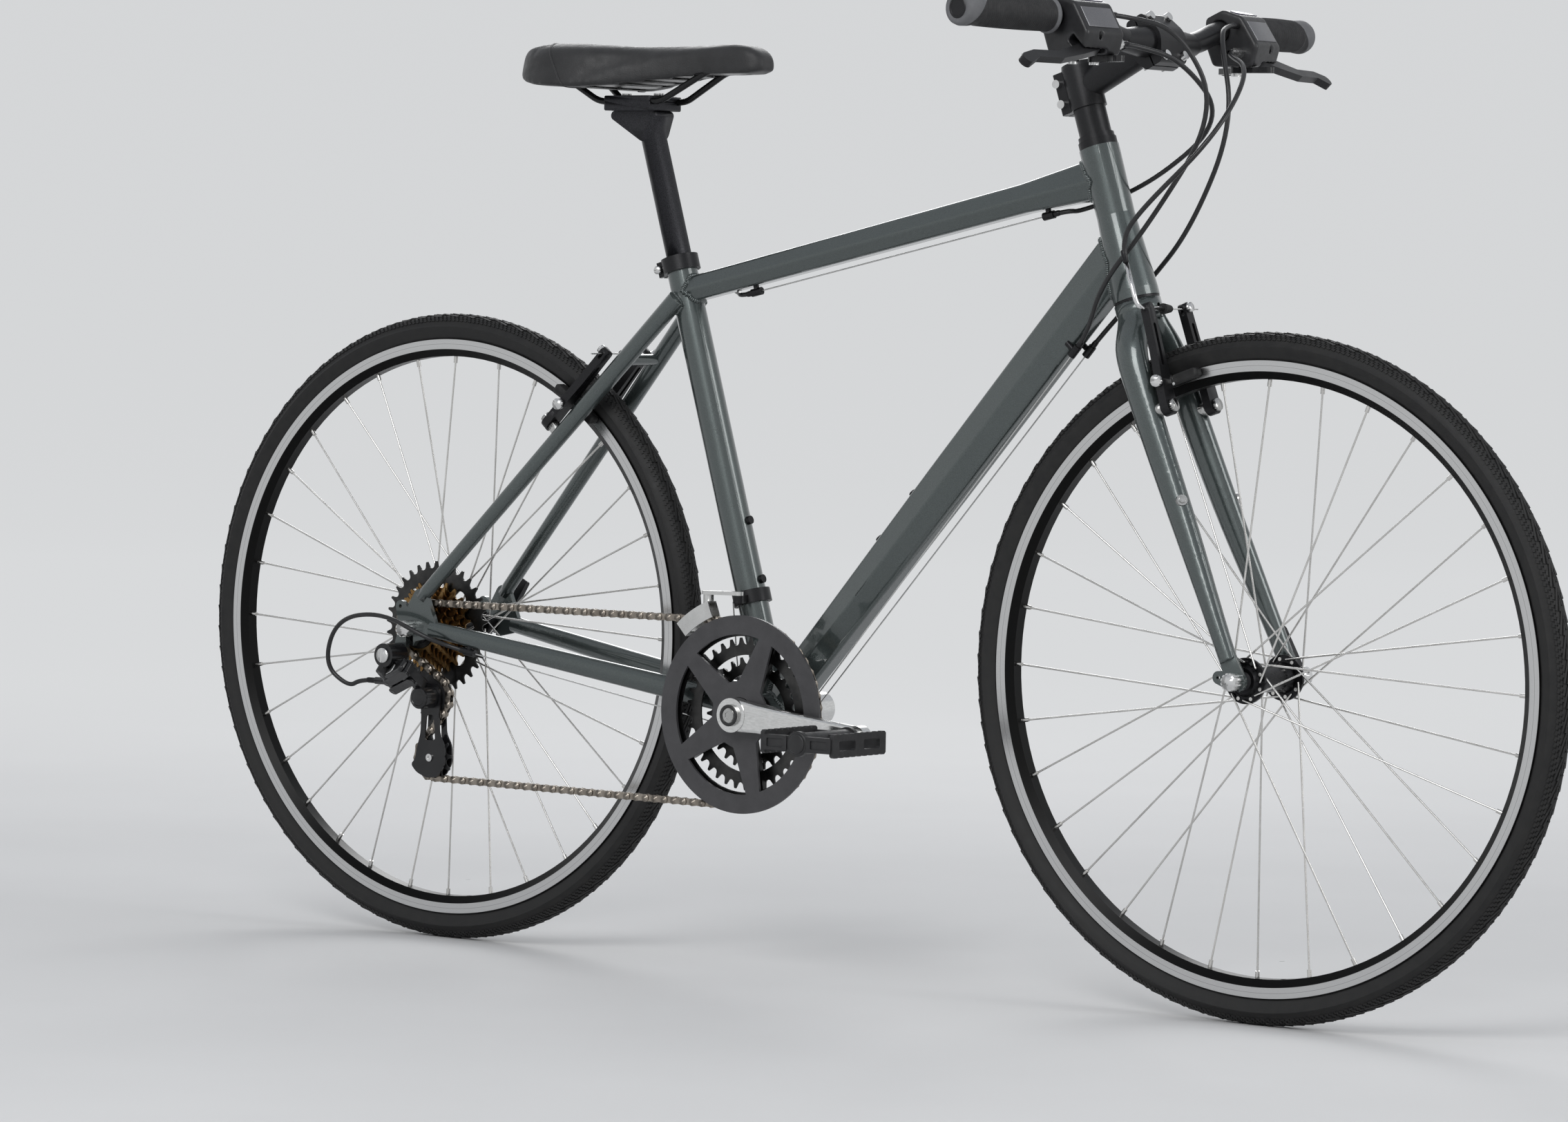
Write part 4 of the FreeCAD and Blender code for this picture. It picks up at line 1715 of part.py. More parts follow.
def stem():
    base = HEAD_TOP
    rear = STEER_FRONT * -1
    start, end = STEM_CLAMP_START, STEM_CLAMP_START + STEM_CLAMP_HEIGHT
    ring = bush(base, STEER_AXIS, STEERER_RADIUS + SLIP, TOP_RING_RADIUS, TOP_RING_START, TOP_RING_END)
    spacer = bush(base, STEER_AXIS, STEERER_RADIUS + SLIP, SPACER_RADIUS, TOP_RING_END, start)
    cap = lathe([(0, end), (STEM_CLAMP_RADIUS, end), (STEM_CLAMP_RADIUS - CUP_RIM, end + CAP_HEIGHT),
                 (0, end + CAP_HEIGHT)],
                base, STEER_AXIS)
    clamp = bush(base, STEER_AXIS, 0, STEM_CLAMP_RADIUS, start, end)
    lug = placed(plate([rounded([(0, -PINCH_SIDE), (PINCH_REACH, -PINCH_SIDE), (PINCH_REACH, PINCH_SIDE),
                                 (0, PINCH_SIDE)],
                                [STEM_LUG / 2] * 4)], start, end), base, rear, rear.cross(STEER_AXIS) * -1)
    slit = placed(Part.makeBox(2 * PINCH_REACH, STEM_SPLIT_GAP, 4 * end,
                               Vector(0, -STEM_SPLIT_GAP / 2, -end)), base, rear,
                  rear.cross(STEER_AXIS) * -1)
    body = taper(STEM_MIDDLE, BAR_CENTRE - STEM_AXIS * BAR_CENTRE_RADIUS, STEM_BODY + CUP_RIM, STEM_BODY)
    steerer = rod(base, base + STEER_AXIS * (2 * end), STEERER_RADIUS + SLIP)
    bar = rod(BAR_CENTRE - Y * (2 * STEM_HEAD_HALF), BAR_CENTRE + Y * (2 * STEM_HEAD_HALF),
              BAR_CENTRE_RADIUS + SLIP)
    shanks = [in_stem(rod(Vector(-STEM_BOLT_DEPTH, up, side), Vector(STEM_BOLT_DEPTH, up, side),
                          STEM_BOLT + SLIP))
              for up, side in stem_bolt_places()]
    face = STEM_LUG_AHEAD + STEM_LUG
    seats = [in_stem(rod(Vector(face, up, side), Vector(2 * face, up, side), STEM_BOLT_HEAD + CLEARANCE))
             for up, side in stem_bolt_places()]
    pinches = [rod(point - Y * (2 * PINCH_SIDE), point + Y * (2 * PINCH_SIDE), STEM_BOLT + SLIP)
               for point in pinch_points()]
    main = clamp.fuse([lug, body, in_stem(stem_head(-STEM_SPLIT_GAP / 2))])
    faceplate = in_stem(stem_head(STEM_SPLIT_GAP / 2))
    return [ring, spacer, cap, main.cut([steerer, slit, bar] + shanks + pinches),
            faceplate.cut(shanks + seats)]


def pinch_points():
    rear = STEER_FRONT * -(PINCH_REACH - STEM_LUG)
    return [HEAD_TOP + STEER_AXIS * (STEM_CLAMP_START + STEM_CLAMP_HEIGHT * share) + rear
            for share in PINCH_PLACE_SHARES]


def headed_bolt(base, axis, depth):
    """Round-headed bolt whose head sits on the base point."""
    return lathe([(0, -depth), (STEM_BOLT, -depth), (STEM_BOLT, SEAT_GAP), (STEM_BOLT_HEAD, SEAT_GAP),
                  (STEM_BOLT_HEAD, STEM_BOLT_HEIGHT), (0, STEM_BOLT_HEIGHT)], base, axis)


def stem_bolts():
    face = STEM_LUG_AHEAD + STEM_LUG
    solids = [in_stem(headed_bolt(Vector(face, up, side), X, face + STEM_BOLT_DEPTH - CLEARANCE * 2))
              for up, side in stem_bolt_places()]
    solids += [headed_bolt(point - Y * PINCH_SIDE, Y * -1, 2 * PINCH_SIDE) for point in pinch_points()]
    top = HEAD_TOP + STEER_AXIS * (STEM_CLAMP_START + STEM_CLAMP_HEIGHT + CAP_HEIGHT)
    solids.append(bush(top, STEER_AXIS, 0, STEM_BOLT_HEAD, 0, STEM_BOLT / 2))
    return solids


def bar_point(run, side):
    """Centre line of the bar at a distance out from its bend, on one side."""
    share = (run - BAR_BEND) / (BAR_HALF_WIDTH - BAR_BEND)
    return BAR_CENTRE + Vector(-BAR_SWEEP * share, run * side, blend(BAR_RISE, BAR_END_RISE, share))


def bar_axis(side):
    return (bar_point(BAR_HALF_WIDTH, side) - bar_point(BAR_BEND, side)).normalize()


BAR_INSET = 4.0
BAR_BEND_REACH = 22.0


def bar_wing(radius):
    return pipe([BAR_CENTRE - Y * (BAR_STRAIGHT / 2), BAR_CENTRE - Y * BAR_TAPER_END,
                 bar_point(BAR_BEND, -1),
                 bar_point(BAR_HALF_WIDTH - BAR_INSET, -1)], radius, bend_reach=BAR_BEND_REACH)


def handlebar():
    wing = bar_wing(BAR_RADIUS)
    middle = lathe([(0, -BAR_TAPER_END), (BAR_RADIUS, -BAR_TAPER_END), (BAR_CENTRE_RADIUS, -BAR_STRAIGHT),
                    (BAR_CENTRE_RADIUS, BAR_STRAIGHT), (BAR_RADIUS, BAR_TAPER_END), (0, BAR_TAPER_END)],
                    BAR_CENTRE, Y)
    inner = BAR_CENTRE_RADIUS - BAR_WALL
    hollow = lathe([(0, -BAR_STRAIGHT), (inner, -BAR_STRAIGHT), (inner, BAR_STRAIGHT), (0, BAR_STRAIGHT)],
                   BAR_CENTRE, Y)
    bores = [bar_wing(BAR_RADIUS - BAR_WALL), mirrored(bar_wing(BAR_RADIUS - BAR_WALL))]
    return middle.fuse([wing, mirrored(wing)]).cut(bores + [hollow])


# Grips: soft sleeves with a flange and a closed outer end.
GRIP_START = 180.0
GRIP_RADIUS = 15.5
GRIP_BELLY = 16.6
GRIP_FLANGE = 18.0
GRIP_FLANGE_LENGTH = 4.0
GRIP_END_RADIUS = 17.5
GRIP_END_LENGTH = 12.0


def grips():
    base = bar_point(GRIP_START, -1)
    length = (bar_point(BAR_HALF_WIDTH, -1) - base).Length
    bore = BAR_RADIUS + SLIP
    floor = length - BAR_INSET + SEAT_GAP
    middle = (length - GRIP_END_LENGTH) / 2
    solid = lathe([(bore, 0), (GRIP_FLANGE, 0), (GRIP_FLANGE, GRIP_FLANGE_LENGTH),
                   (GRIP_RADIUS, 2 * GRIP_FLANGE_LENGTH),
                   ((GRIP_BELLY, middle), (GRIP_RADIUS, length - 2 * GRIP_END_LENGTH)),
                   (GRIP_END_RADIUS, length - GRIP_END_LENGTH),
                   (GRIP_END_RADIUS, length - GRIP_FLANGE_LENGTH), (GRIP_RADIUS, length), (0, length),
                   (0, floor), (bore, floor)],
                  base, bar_axis(-1))
    return [solid, mirrored(solid)]


# Controls: a body round the bar, a brake lever on a pin, a thumb lever and a release lever.
POD_START = 116.0
POD_END = 172.0
POD_CORNERS = ((-17.0, 12.0), (2.0, 21.0), (24.0, 14.0), (43.0, -16.0), (37.0, -37.0), (-8.0, -37.0),
               (-17.0, -14.0))
POD_RADII = (6.0, 8.0, 8.0, 7.0, 5.0, 6.0, 6.0)
POD_ROUND = 3.0
LEVER_TILT = -45.0
LEVER_PIVOT_RUN = 150.0
LEVER_PIVOT_REACH = 42.0
LEVER_HALF = 4.0
LEVER_PIN = 2.5
LEVER_PIN_HALF = 11.0
LEVER_ROOM = 13.0
LEVER_PLACES = ((0.0, 0.0, 8.0), (26.0, 9.0, 6.5), (62.0, 19.0, 5.0), (100.0, 20.0, 4.8),
                (117.0, 27.0, 6.5))
SHIFT_RUN = 148.0
SHIFT_DROP = 40.4
SHIFT_BACK = 4.0
SHIFT_HALF = 3.0
SHIFT_PIN = 2.5
SHIFT_PLACES = ((0.0, 0.0, 6.0), (-22.0, 16.0, 5.0), (-27.0, 34.0, 7.5))
RELEASE_PLACES = ((0.0, 0.0, 6.0), (20.0, -2.0, 4.5), (34.0, 3.0, 6.0))
RELEASE_RUN = 128.0
RELEASE_BACK = 14.0
SHIFT_PLATE_GAP = 0.3
ADJUSTER_RADIUS = 5.5
ADJUSTER_LENGTH = 15.0
ADJUSTER_KNURLS = 10
ADJUSTER_DEPTH = 0.8
ADJUSTER_REACH = 34.0


class ControlFrame:
    """Right-hand control: outward along the bar, ahead and up square to it."""

    def __init__(self):
        self.out = bar_axis(-1)
        self.ahead = Z.cross(self.out).normalize()
        self.up = self.out.cross(self.ahead)
        tilt = math.radians(LEVER_TILT)
        self.pull = self.ahead * math.cos(tilt) + self.up * math.sin(tilt)
        self.pin = self.up * math.cos(tilt) - self.ahead * math.sin(tilt)

    def at(self, run, ahead, up):
        return bar_point(run, -1) + self.ahead * ahead + self.up * up


CONTROL = ControlFrame()
LEVER_PIVOT = bar_point(LEVER_PIVOT_RUN, -1) + CONTROL.pull * LEVER_PIVOT_REACH
SHIFT_PIVOT = CONTROL.at(SHIFT_RUN, SHIFT_BACK, -SHIFT_DROP)
RELEASE_PIVOT = CONTROL.at(RELEASE_RUN, RELEASE_BACK, -SHIFT_DROP)


def pod():
    length = (bar_point(POD_END, -1) - bar_point(POD_START, -1)).Length
    face = plate([rounded(POD_CORNERS, POD_RADII)], 0, length)
    body = face.makeFillet(POD_ROUND, [edge for edge in face.Edges if abs(edge.BoundBox.ZLength) < SLIP])
    solid = placed(body, bar_point(POD_START, -1), CONTROL.ahead, CONTROL.up)
    bar = bar_wing(BAR_RADIUS + SLIP)
    room = placed(Part.makeBox(2 * POD_END, 2 * LEVER_PIVOT_REACH, 2 * (LEVER_HALF + CLEARANCE),
                               Vector(-LEVER_ROOM, -LEVER_ROOM, -LEVER_HALF - CLEARANCE)),
                  LEVER_PIVOT, CONTROL.out, CONTROL.pull)
    pin_hole = rod(LEVER_PIVOT - CONTROL.pin * LEVER_PIN_HALF * 2,
                   LEVER_PIVOT + CONTROL.pin * LEVER_PIN_HALF * 2, LEVER_PIN + SLIP)
    shift_holes = [rod(point, point + CONTROL.up * SHIFT_DROP / 2, SHIFT_PIN + SLIP)
                   for point in (SHIFT_PIVOT, RELEASE_PIVOT)]
    return solid.cut([bar, room, pin_hole] + shift_holes)


def brake_lever():
    body = strip(list(LEVER_PLACES), -LEVER_HALF, LEVER_HALF)
    bore = Part.makeCylinder(LEVER_PIN + SLIP, 4 * LEVER_HALF, Vector(0, 0, -2 * LEVER_HALF))
    return placed(body.cut(bore), LEVER_PIVOT, CONTROL.out, CONTROL.pull)


def thumb_lever(pivot, places):
    """Flat lever under the control, drawn with X ahead and Y outward."""
    body = strip(list(places), -SHIFT_HALF, SHIFT_HALF)
    bore = Part.makeCylinder(SHIFT_PIN + SLIP, 4 * SHIFT_HALF, Vector(0, 0, -2 * SHIFT_HALF))
    return placed(body.cut(bore), pivot, CONTROL.ahead, CONTROL.out)


def control_hardware():
    """Lever pins, shift lever pins and the barrel adjuster of the right control."""
    reach = CONTROL.pin * LEVER_PIN_HALF
    lever_pin = rod(LEVER_PIVOT - reach, LEVER_PIVOT + reach, LEVER_PIN)
    shift_pins = []
    for point in (SHIFT_PIVOT, RELEASE_PIVOT):
        head = point - CONTROL.up * (SHIFT_HALF + SHIFT_PLATE_GAP)
        shift_pins.append(rod(head, point + CONTROL.up * (SHIFT_DROP / 4), SHIFT_PIN).fuse(
            rod(head - CONTROL.up * SHIFT_PIN, head, 2 * SHIFT_PIN)))
    base = bar_point(POD_START, -1) + CONTROL.pull * ADJUSTER_REACH
    adjuster = knurled(ADJUSTER_RADIUS, ADJUSTER_DEPTH, ADJUSTER_KNURLS, 0, ADJUSTER_LENGTH)
    return [lever_pin, *shift_pins, placed(adjuster, base, CONTROL.pin, CONTROL.pin.cross(CONTROL.out))]


# Seat post with a two-plate clamp, saddle rails, shell and cover.
POST_INSERT = 185.0
POST_BORE = 11.2
CRADLE_AHEAD = 17.0
CRADLE_BACK = 45.0
CRADLE_RISE = 21.0
CRADLE_EYE = 5.0
CRADLE_HALF = 15.0
CLAMP_HALF = 27.0
CLAMP_HIGH = 6.0
CLAMP_CORNER = 2.0
RAIL_RADIUS = 3.5
RAIL_RISE = 31.0
CLAMP_BOLT = 3.0
CLAMP_HEAD = 5.5
CLAMP_BOLT_PLACES = (8.0, -36.0)
RAIL_BEND = 9.0
RAIL_ROUTE = ((-84.0, 30.0, 50.0), (-56.0, 22.0, 31.0), (28.0, 22.0, 31.0), (86.0, 17.0, 62.0),
              (124.0, 9.0, 66.0))
SADDLE_STATIONS = (-144.0, -128.0, -94.0, -46.0, 4.0, 54.0, 104.0, 142.0, 154.0)
SADDLE_WIDTHS = (44.0, 64.0, 76.0, 70.0, 47.0, 30.0, 23.0, 19.5, 12.0)
SADDLE_TOPS = (84.0, 89.0, 90.5, 89.0, 86.5, 87.5, 90.0, 86.0, 76.0)
SADDLE_SKIRTS = (60.0, 51.0, 46.0, 45.0, 50.0, 55.0, 58.0, 60.0, 63.0)
SADDLE_SHOULDER_SHARE = 0.86
SADDLE_CROWN_SHARE = 0.42
SADDLE_EDGE = 2.5
SHELL_WIDTH_SHARE = 0.86
SHELL_DEPTH = 8.0
SHELL_LIFT = 1.5
SHELL_CORNER = 1.5

POST_TOP = SEAT_TOP + SEAT_AXIS * SEAT_HEIGHT


def seat_post():
    foot = SEAT_TOP - SEAT_AXIS * POST_INSERT
    post = rod(foot, POST_TOP, SEAT_POST_RADIUS)
    hollow = rod(foot, POST_TOP - SEAT_AXIS * SEAT_POST_RADIUS, POST_BORE)
    cradle = plate([linked([(0, 0, SEAT_POST_RADIUS - CLAMP_CORNER),
                            (CRADLE_AHEAD - CRADLE_EYE, CRADLE_RISE - CRADLE_EYE, CRADLE_EYE),
                            (CRADLE_EYE - CRADLE_BACK, CRADLE_RISE - CRADLE_EYE, CRADLE_EYE)])],
                            -CRADLE_HALF, CRADLE_HALF)
    head = upright(cradle, POST_TOP)
    level = RAIL_RISE - CRADLE_RISE
    lower = clamp_plate(CRADLE_RISE, RAIL_RISE)
    upper = clamp_plate(RAIL_RISE, RAIL_RISE + CLAMP_HIGH)
    grooves = [pipe_room(side) for side in (-1, 1)]
    bolts = [rod(POST_TOP + Vector(ahead, 0, CRADLE_RISE - level),
                 POST_TOP + Vector(ahead, 0, RAIL_RISE + CLAMP_HIGH + CLAMP_BOLT),
                 CLAMP_BOLT) for ahead in CLAMP_BOLT_PLACES]
    heads = [rod(POST_TOP + Vector(ahead, 0, RAIL_RISE + CLAMP_HIGH + SEAT_GAP),
                 POST_TOP + Vector(ahead, 0, RAIL_RISE + CLAMP_HIGH + CLAMP_BOLT),
                 CLAMP_HEAD) for ahead in CLAMP_BOLT_PLACES]
    rooms = [rod(POST_TOP + Vector(ahead, 0, -RAIL_RISE), POST_TOP + Vector(ahead, 0, 2 * RAIL_RISE),
                 CLAMP_BOLT + SLIP)
             for ahead in CLAMP_BOLT_PLACES]
    split = Part.makeBox(4 * CRADLE_BACK, 4 * CRADLE_BACK, SEAT_GAP,
                         POST_TOP + Vector(-2 * CRADLE_BACK, -2 * CRADLE_BACK, RAIL_RISE - SEAT_GAP / 2))
    return [post.fuse(head).cut([hollow] + rooms), lower.cut(grooves + rooms + [split]),
            upper.cut(grooves + rooms + [split])] + [
        bolt.fuse(head_disc) for bolt, head_disc in zip(bolts, heads)]


def clamp_plate(low, high):
    """Plate across both rails."""
    wire = rounded([(-CRADLE_BACK, low), (CRADLE_AHEAD, low), (CRADLE_AHEAD, high), (-CRADLE_BACK, high)],
                   [CLAMP_CORNER] * 4)
    return upright(plate([wire], -CLAMP_HALF, CLAMP_HALF), POST_TOP)


def rail_points(side):
    return [POST_TOP + Vector(ahead, across * side, up) for ahead, across, up in RAIL_ROUTE]


def pipe_room(side):
    points = rail_points(side)
    return rod(points[1], points[2], RAIL_RADIUS + SLIP)


def saddle_rails(radius):
    return [pipe(rail_points(side), radius, bend_reach=RAIL_BEND) for side in (-1, 1)]


def saddle_section(station, width, low, high, edge, crown):
    shoulder = width * SADDLE_SHOULDER_SHARE
    wire = rounded([(-width, low), (width, low), (shoulder, high), (-shoulder, high)],
                   [edge, edge, crown, crown])
    return placed(wire, POST_TOP + X * station, Y, Z)


def saddle_shell_form(grow):
    """Stiff shell under the cover; grown on all sides it is the room left for it in the cover."""
    wires = []
    ends = [grow] + [0] * (len(SADDLE_STATIONS) - 4) + [-grow]
    for shift, station, width, skirt in zip(ends, SADDLE_STATIONS[1:-1], SADDLE_WIDTHS[1:-1],
                                            SADDLE_SKIRTS[1:-1]):
        low = skirt + SHELL_LIFT
        wires.append(saddle_section(station - shift, width * SHELL_WIDTH_SHARE + grow, low - grow,
                                    low + SHELL_DEPTH + grow,
                                    SHELL_CORNER, SHELL_CORNER))
    return Part.makeLoft(wires, True, False)


def saddle_cover():
    wires = []
    for station, width, top, skirt in zip(SADDLE_STATIONS, SADDLE_WIDTHS, SADDLE_TOPS, SADDLE_SKIRTS):
        crown = min(width, top - skirt) * SADDLE_CROWN_SHARE
        wires.append(saddle_section(station, width, skirt, top, SADDLE_EDGE, crown))
    rails = saddle_rails(RAIL_RADIUS + CLEARANCE)
    return Part.makeLoft(wires, True, False).cut([saddle_shell_form(CLEARANCE)] + rails)


def saddle_base():
    rails = saddle_rails(RAIL_RADIUS)
    return [saddle_shell_form(0).cut(rails)] + rails


# Cable stops, cable guide and bare cables on the frame.
STOP_RADIUS = 4.2
STOP_LENGTH = 13.0
STOP_BORE = 1.1
STOP_SEAT = 2.75
STOP_SEAT_DEPTH = 6.0
STOP_FOOT = 3.0
HOUSING_RADIUS = 2.5
TOP_STOP_SHARES = (0.18, 0.85)
TOP_STOP_DROP = 6.5
DOWN_STOP_RUN = 535.0
DOWN_STOP_SIDE = 13.0
DOWN_STOP_DROP = 6.0
STAY_STOP_SHARE = 0.86
STAY_STOP_DROP = 15.5
GUIDE_THICKNESS = 3.0
GUIDE_HALF = 16.0
GUIDE_SIDE = 8.0

TOP_AXIS = (TOP_TUBE_FRONT - TOP_TUBE_REAR).normalize()
TOP_UP = TOP_AXIS.cross(Y)


def top_depth(share):
    rear, middle, front = TOP_TUBE_HALF_HEIGHTS
    knee = TOP_TUBE_SHARES[1]
    return blend(rear, middle, share / knee) if share < knee else blend(middle, front,
            (share - knee) / (1 - knee))


def top_stop(share):
    return blend(TOP_TUBE_REAR, TOP_TUBE_FRONT, share) - TOP_UP * (top_depth(share) + TOP_STOP_DROP)


def down_stop(side):
    return CRANK_CENTRE + DOWN_AXIS * DOWN_STOP_RUN - DOWN_UP * (down_depth(DOWN_STOP_RUN)
                                                                 + DOWN_STOP_DROP) + Y * (DOWN_STOP_SIDE
                                                                         * side)


def stay_stop():
    return blend(*chain_stay_line(-1), STAY_STOP_SHARE) - Z * STAY_STOP_DROP


STOP_TOP_REAR = top_stop(TOP_STOP_SHARES[0])
STOP_TOP_FRONT = top_stop(TOP_STOP_SHARES[1])
TOP_CABLE_AXIS = (STOP_TOP_FRONT - STOP_TOP_REAR).normalize()
GUIDE_LOW = CRANK_CENTRE - Z * (SHELL_RADIUS + GUIDE_THICKNESS + CABLE_RADIUS + SEAT_GAP)
GUIDE_TURN_AHEAD = 20.0
GUIDE_TURN_BACK = 22.0
STAY_CABLE_AXIS = (stay_stop() - (GUIDE_LOW - X * GUIDE_TURN_BACK - Y * GUIDE_SIDE)).normalize()


def down_cable_points(side):
    """Along the underside of the down tube to the guide under the shell."""
    stop = down_stop(side)
    run = GUIDE_LOW + X * GUIDE_TURN_AHEAD + Y * (GUIDE_SIDE * side)
    return stop, run


def stop_solid(point, axis, towards, core):
    """Cable stop: a bored barrel on a foot; its housing seat opens along the axis."""
    barrel = rod(point, point + axis * STOP_LENGTH, STOP_RADIUS)
    middle = point + axis * (STOP_LENGTH / 2)
    foot = rod(middle, middle + towards * (3 * STOP_RADIUS), STOP_FOOT)
    wire_room = rod(point - axis * STOP_LENGTH, point + axis * (2 * STOP_LENGTH), STOP_BORE)
    seat = rod(point + axis * (STOP_LENGTH - STOP_SEAT_DEPTH), point + axis * (2 * STOP_LENGTH), STOP_SEAT)
    return barrel.fuse(foot).cut([core, wire_room, seat])


def cable_stops():
    top_core, down_core = top_tube_form(0), down_tube_form(0)
    solids = [stop_solid(STOP_TOP_FRONT, TOP_CABLE_AXIS, TOP_UP, top_core),
              stop_solid(STOP_TOP_REAR, TOP_CABLE_AXIS * -1, TOP_UP, top_core)]
    for side in (-1, 1):
        stop, run = down_cable_points(side)
        solids.append(stop_solid(stop, (stop - run).normalize(), DOWN_UP, down_core))
    solids.append(stop_solid(stay_stop(), STAY_CABLE_AXIS, Z, chain_stay_form(-1)))
    return solids


def cable_guide():
    ring = bush(CRANK_CENTRE, Y, SHELL_RADIUS + SLIP, SHELL_RADIUS + GUIDE_THICKNESS, -GUIDE_HALF,
                GUIDE_HALF)
    reach = 2 * SHELL_RADIUS
    below = Part.makeBox(2 * reach, 2 * reach, reach, CRANK_CENTRE
                         + Vector(-reach, -reach, -reach - SHELL_RADIUS / 2))
    return ring.common(below).cut([down_tube_form(0)] + [chain_stay_form(side) for side in (-1, 1)])


FD_CABLE_ROUTE = (Vector(-30.0, -3.0, 12.0), Vector(-41.0, -14.0, 60.0))


def inner_cables():
    reach = TOP_CABLE_AXIS * (STOP_LENGTH - STOP_SEAT_DEPTH)
    solids = [pipe([STOP_TOP_REAR - reach, STOP_TOP_FRONT + reach], CABLE_RADIUS, "top cable")]
    for side in (-1, 1):
        stop, run = down_cable_points(side)
        start = stop + (stop - run).normalize() * (STOP_LENGTH - STOP_SEAT_DEPTH)
        low = GUIDE_LOW - X * GUIDE_TURN_BACK + Y * (GUIDE_SIDE * side)
        if side < 0:
            end = stay_stop() + STAY_CABLE_AXIS * (STOP_LENGTH - STOP_SEAT_DEPTH)
            solids.append(pipe([start, run, low, end], CABLE_RADIUS, "rear gear cable"))
        else:
            points = [GUIDE_LOW + point for point in FD_CABLE_ROUTE]
            anchor = FD_BASE + Vector(-FD_BAND_HALF, -FD_BAND - FD_BRIDGE, -FD_ARM_HALF - CLEARANCE / 2)
            solids.append(pipe([start, run, low] + points + [anchor], CABLE_RADIUS, "front gear cable"))
    return solids


# Cable housings between the controls, the stops and the brakes: hand-chosen routes.
REAR_BRAKE_ROUTE = ((440.0, -40.0, 955.0), (438.0, 44.0, 900.0), (352.0, 46.0, 836.0), (286.0, 16.0, 806.0))
FRONT_BRAKE_ROUTE = ((470.0, 40.0, 950.0), (480.0, -40.0, 880.0), (404.0, -57.0, 806.0))
REAR_GEAR_ROUTE = ((446.0, -56.0, 985.0), (474.0, -24.0, 905.0), (402.0, -40.0, 790.0),
                   (348.0, -40.0, 732.0))
FRONT_GEAR_ROUTE = ((424.0, 52.0, 985.0), (462.0, 22.0, 895.0), (404.0, 38.0, 790.0), (350.0, 40.0, 732.0))
REAR_NOODLE_ROUTE = ((-156.0, 24.0, 718.0), (-222.0, 46.0, 732.0), (-272.0, 54.0, 716.0))
REAR_LOOP_ROUTE = ((-490.0, -94.0, 338.0), (-545.0, -99.0, 362.0), (-612.0, -97.0, 352.0),
                   (-636.0, -90.0, 300.0), (-606.0, -82.0, 276.0))
POD_EXIT_AHEAD = 20.0
POD_EXIT_UP = 4.0
ADJUSTER_RUN = 22.0
SEAT_LEFT = 5.5


def housing(start, start_run, route, end_run, end, name):
    """Housing from one seat to another, leaving and arriving straight."""
    points = [start, start + start_run] + [Vector(*place) for place in route] + [end + end_run, end]
    return pipe(points, HOUSING_RADIUS, name)


def cable_housings():
    inward = CONTROL.out * -1
    adjuster = bar_point(POD_START, -1) + CONTROL.pull * ADJUSTER_REACH + inward * (ADJUSTER_LENGTH
            + SEAT_GAP)
    exit_point = CONTROL.at(POD_START, POD_EXIT_AHEAD, POD_EXIT_UP) + inward * SEAT_GAP
    lead = inward * ADJUSTER_RUN

    def left(vector):
        return Vector(vector.x, -vector.y, vector.z)

    seat = STOP_LENGTH - SEAT_LEFT
    front_stop = STOP_TOP_FRONT + TOP_CABLE_AXIS * seat
    rear_stop = STOP_TOP_REAR - TOP_CABLE_AXIS * seat
    solids = [housing(adjuster, lead, REAR_BRAKE_ROUTE, TOP_CABLE_AXIS * ADJUSTER_RUN, front_stop,
                      "rear brake housing")]
    noodle = FRONT_BRAKE.point(-NOODLE_SIDE, NOODLE_TOP + SEAT_GAP, 0)
    solids.append(housing(left(adjuster), left(lead), FRONT_BRAKE_ROUTE, FRONT_BRAKE.up * ADJUSTER_RUN,
                          noodle, "front brake housing"))
    for side, route, first, run, name in ((-1, REAR_GEAR_ROUTE, exit_point, lead, "rear gear housing"),
                                          (1, FRONT_GEAR_ROUTE, left(exit_point), left(lead),
                                           "front gear housing")):
        stop, foot = down_cable_points(side)
        axis = (stop - foot).normalize()
        solids.append(housing(first, run, route, axis * ADJUSTER_RUN, stop + axis * seat, name))
    noodle = REAR_BRAKE.point(NOODLE_SIDE, NOODLE_TOP + SEAT_GAP, 0)
    solids.append(housing(rear_stop, TOP_CABLE_AXIS * -ADJUSTER_RUN, REAR_NOODLE_ROUTE,
                          REAR_BRAKE.up * ADJUSTER_RUN, noodle,
                          "rear noodle housing"))
    barrel = KNUCKLE_REAR - X * (BARREL_LENGTH + KNUCKLE_EYE + SEAT_GAP)
    loop_start = stay_stop() + STAY_CABLE_AXIS * seat
    solids.append(housing(loop_start, STAY_CABLE_AXIS * ADJUSTER_RUN, REAR_LOOP_ROUTE, X * -ADJUSTER_RUN,
                          barrel, "rear loop housing"))
    return solids + brake_wire(FRONT_BRAKE, -1) + brake_wire(REAR_BRAKE, 1)


# Build and write every node.
HOLES = bottle_holes(BOTTLE_SHANK + SLIP)
save("head_tube", head_form(HEAD_BORE))
save("top_tube", top_tube_form(TUBE_WALL).cut([head_form(0), seat_form()]))
save("down_tube", down_tube_form(TUBE_WALL).cut([head_form(0), shell_form(0), seat_form()] + HOLES))
save("seat_tube", seat_tube().cut(HOLES))
save("seat_stays", *seat_stays(), *rear_studs())
save("chain_stays", *chain_stays(), *dropouts())
save("bearing_cups", *bearing_cups())
save("seat_collar", *seat_collar())
save("frame_fittings", *cable_stops(), cable_guide(), *bottle_bolts())
save("inner_cables", *inner_cables())
save("cable_housings", *cable_housings())
save("fork", *fork())

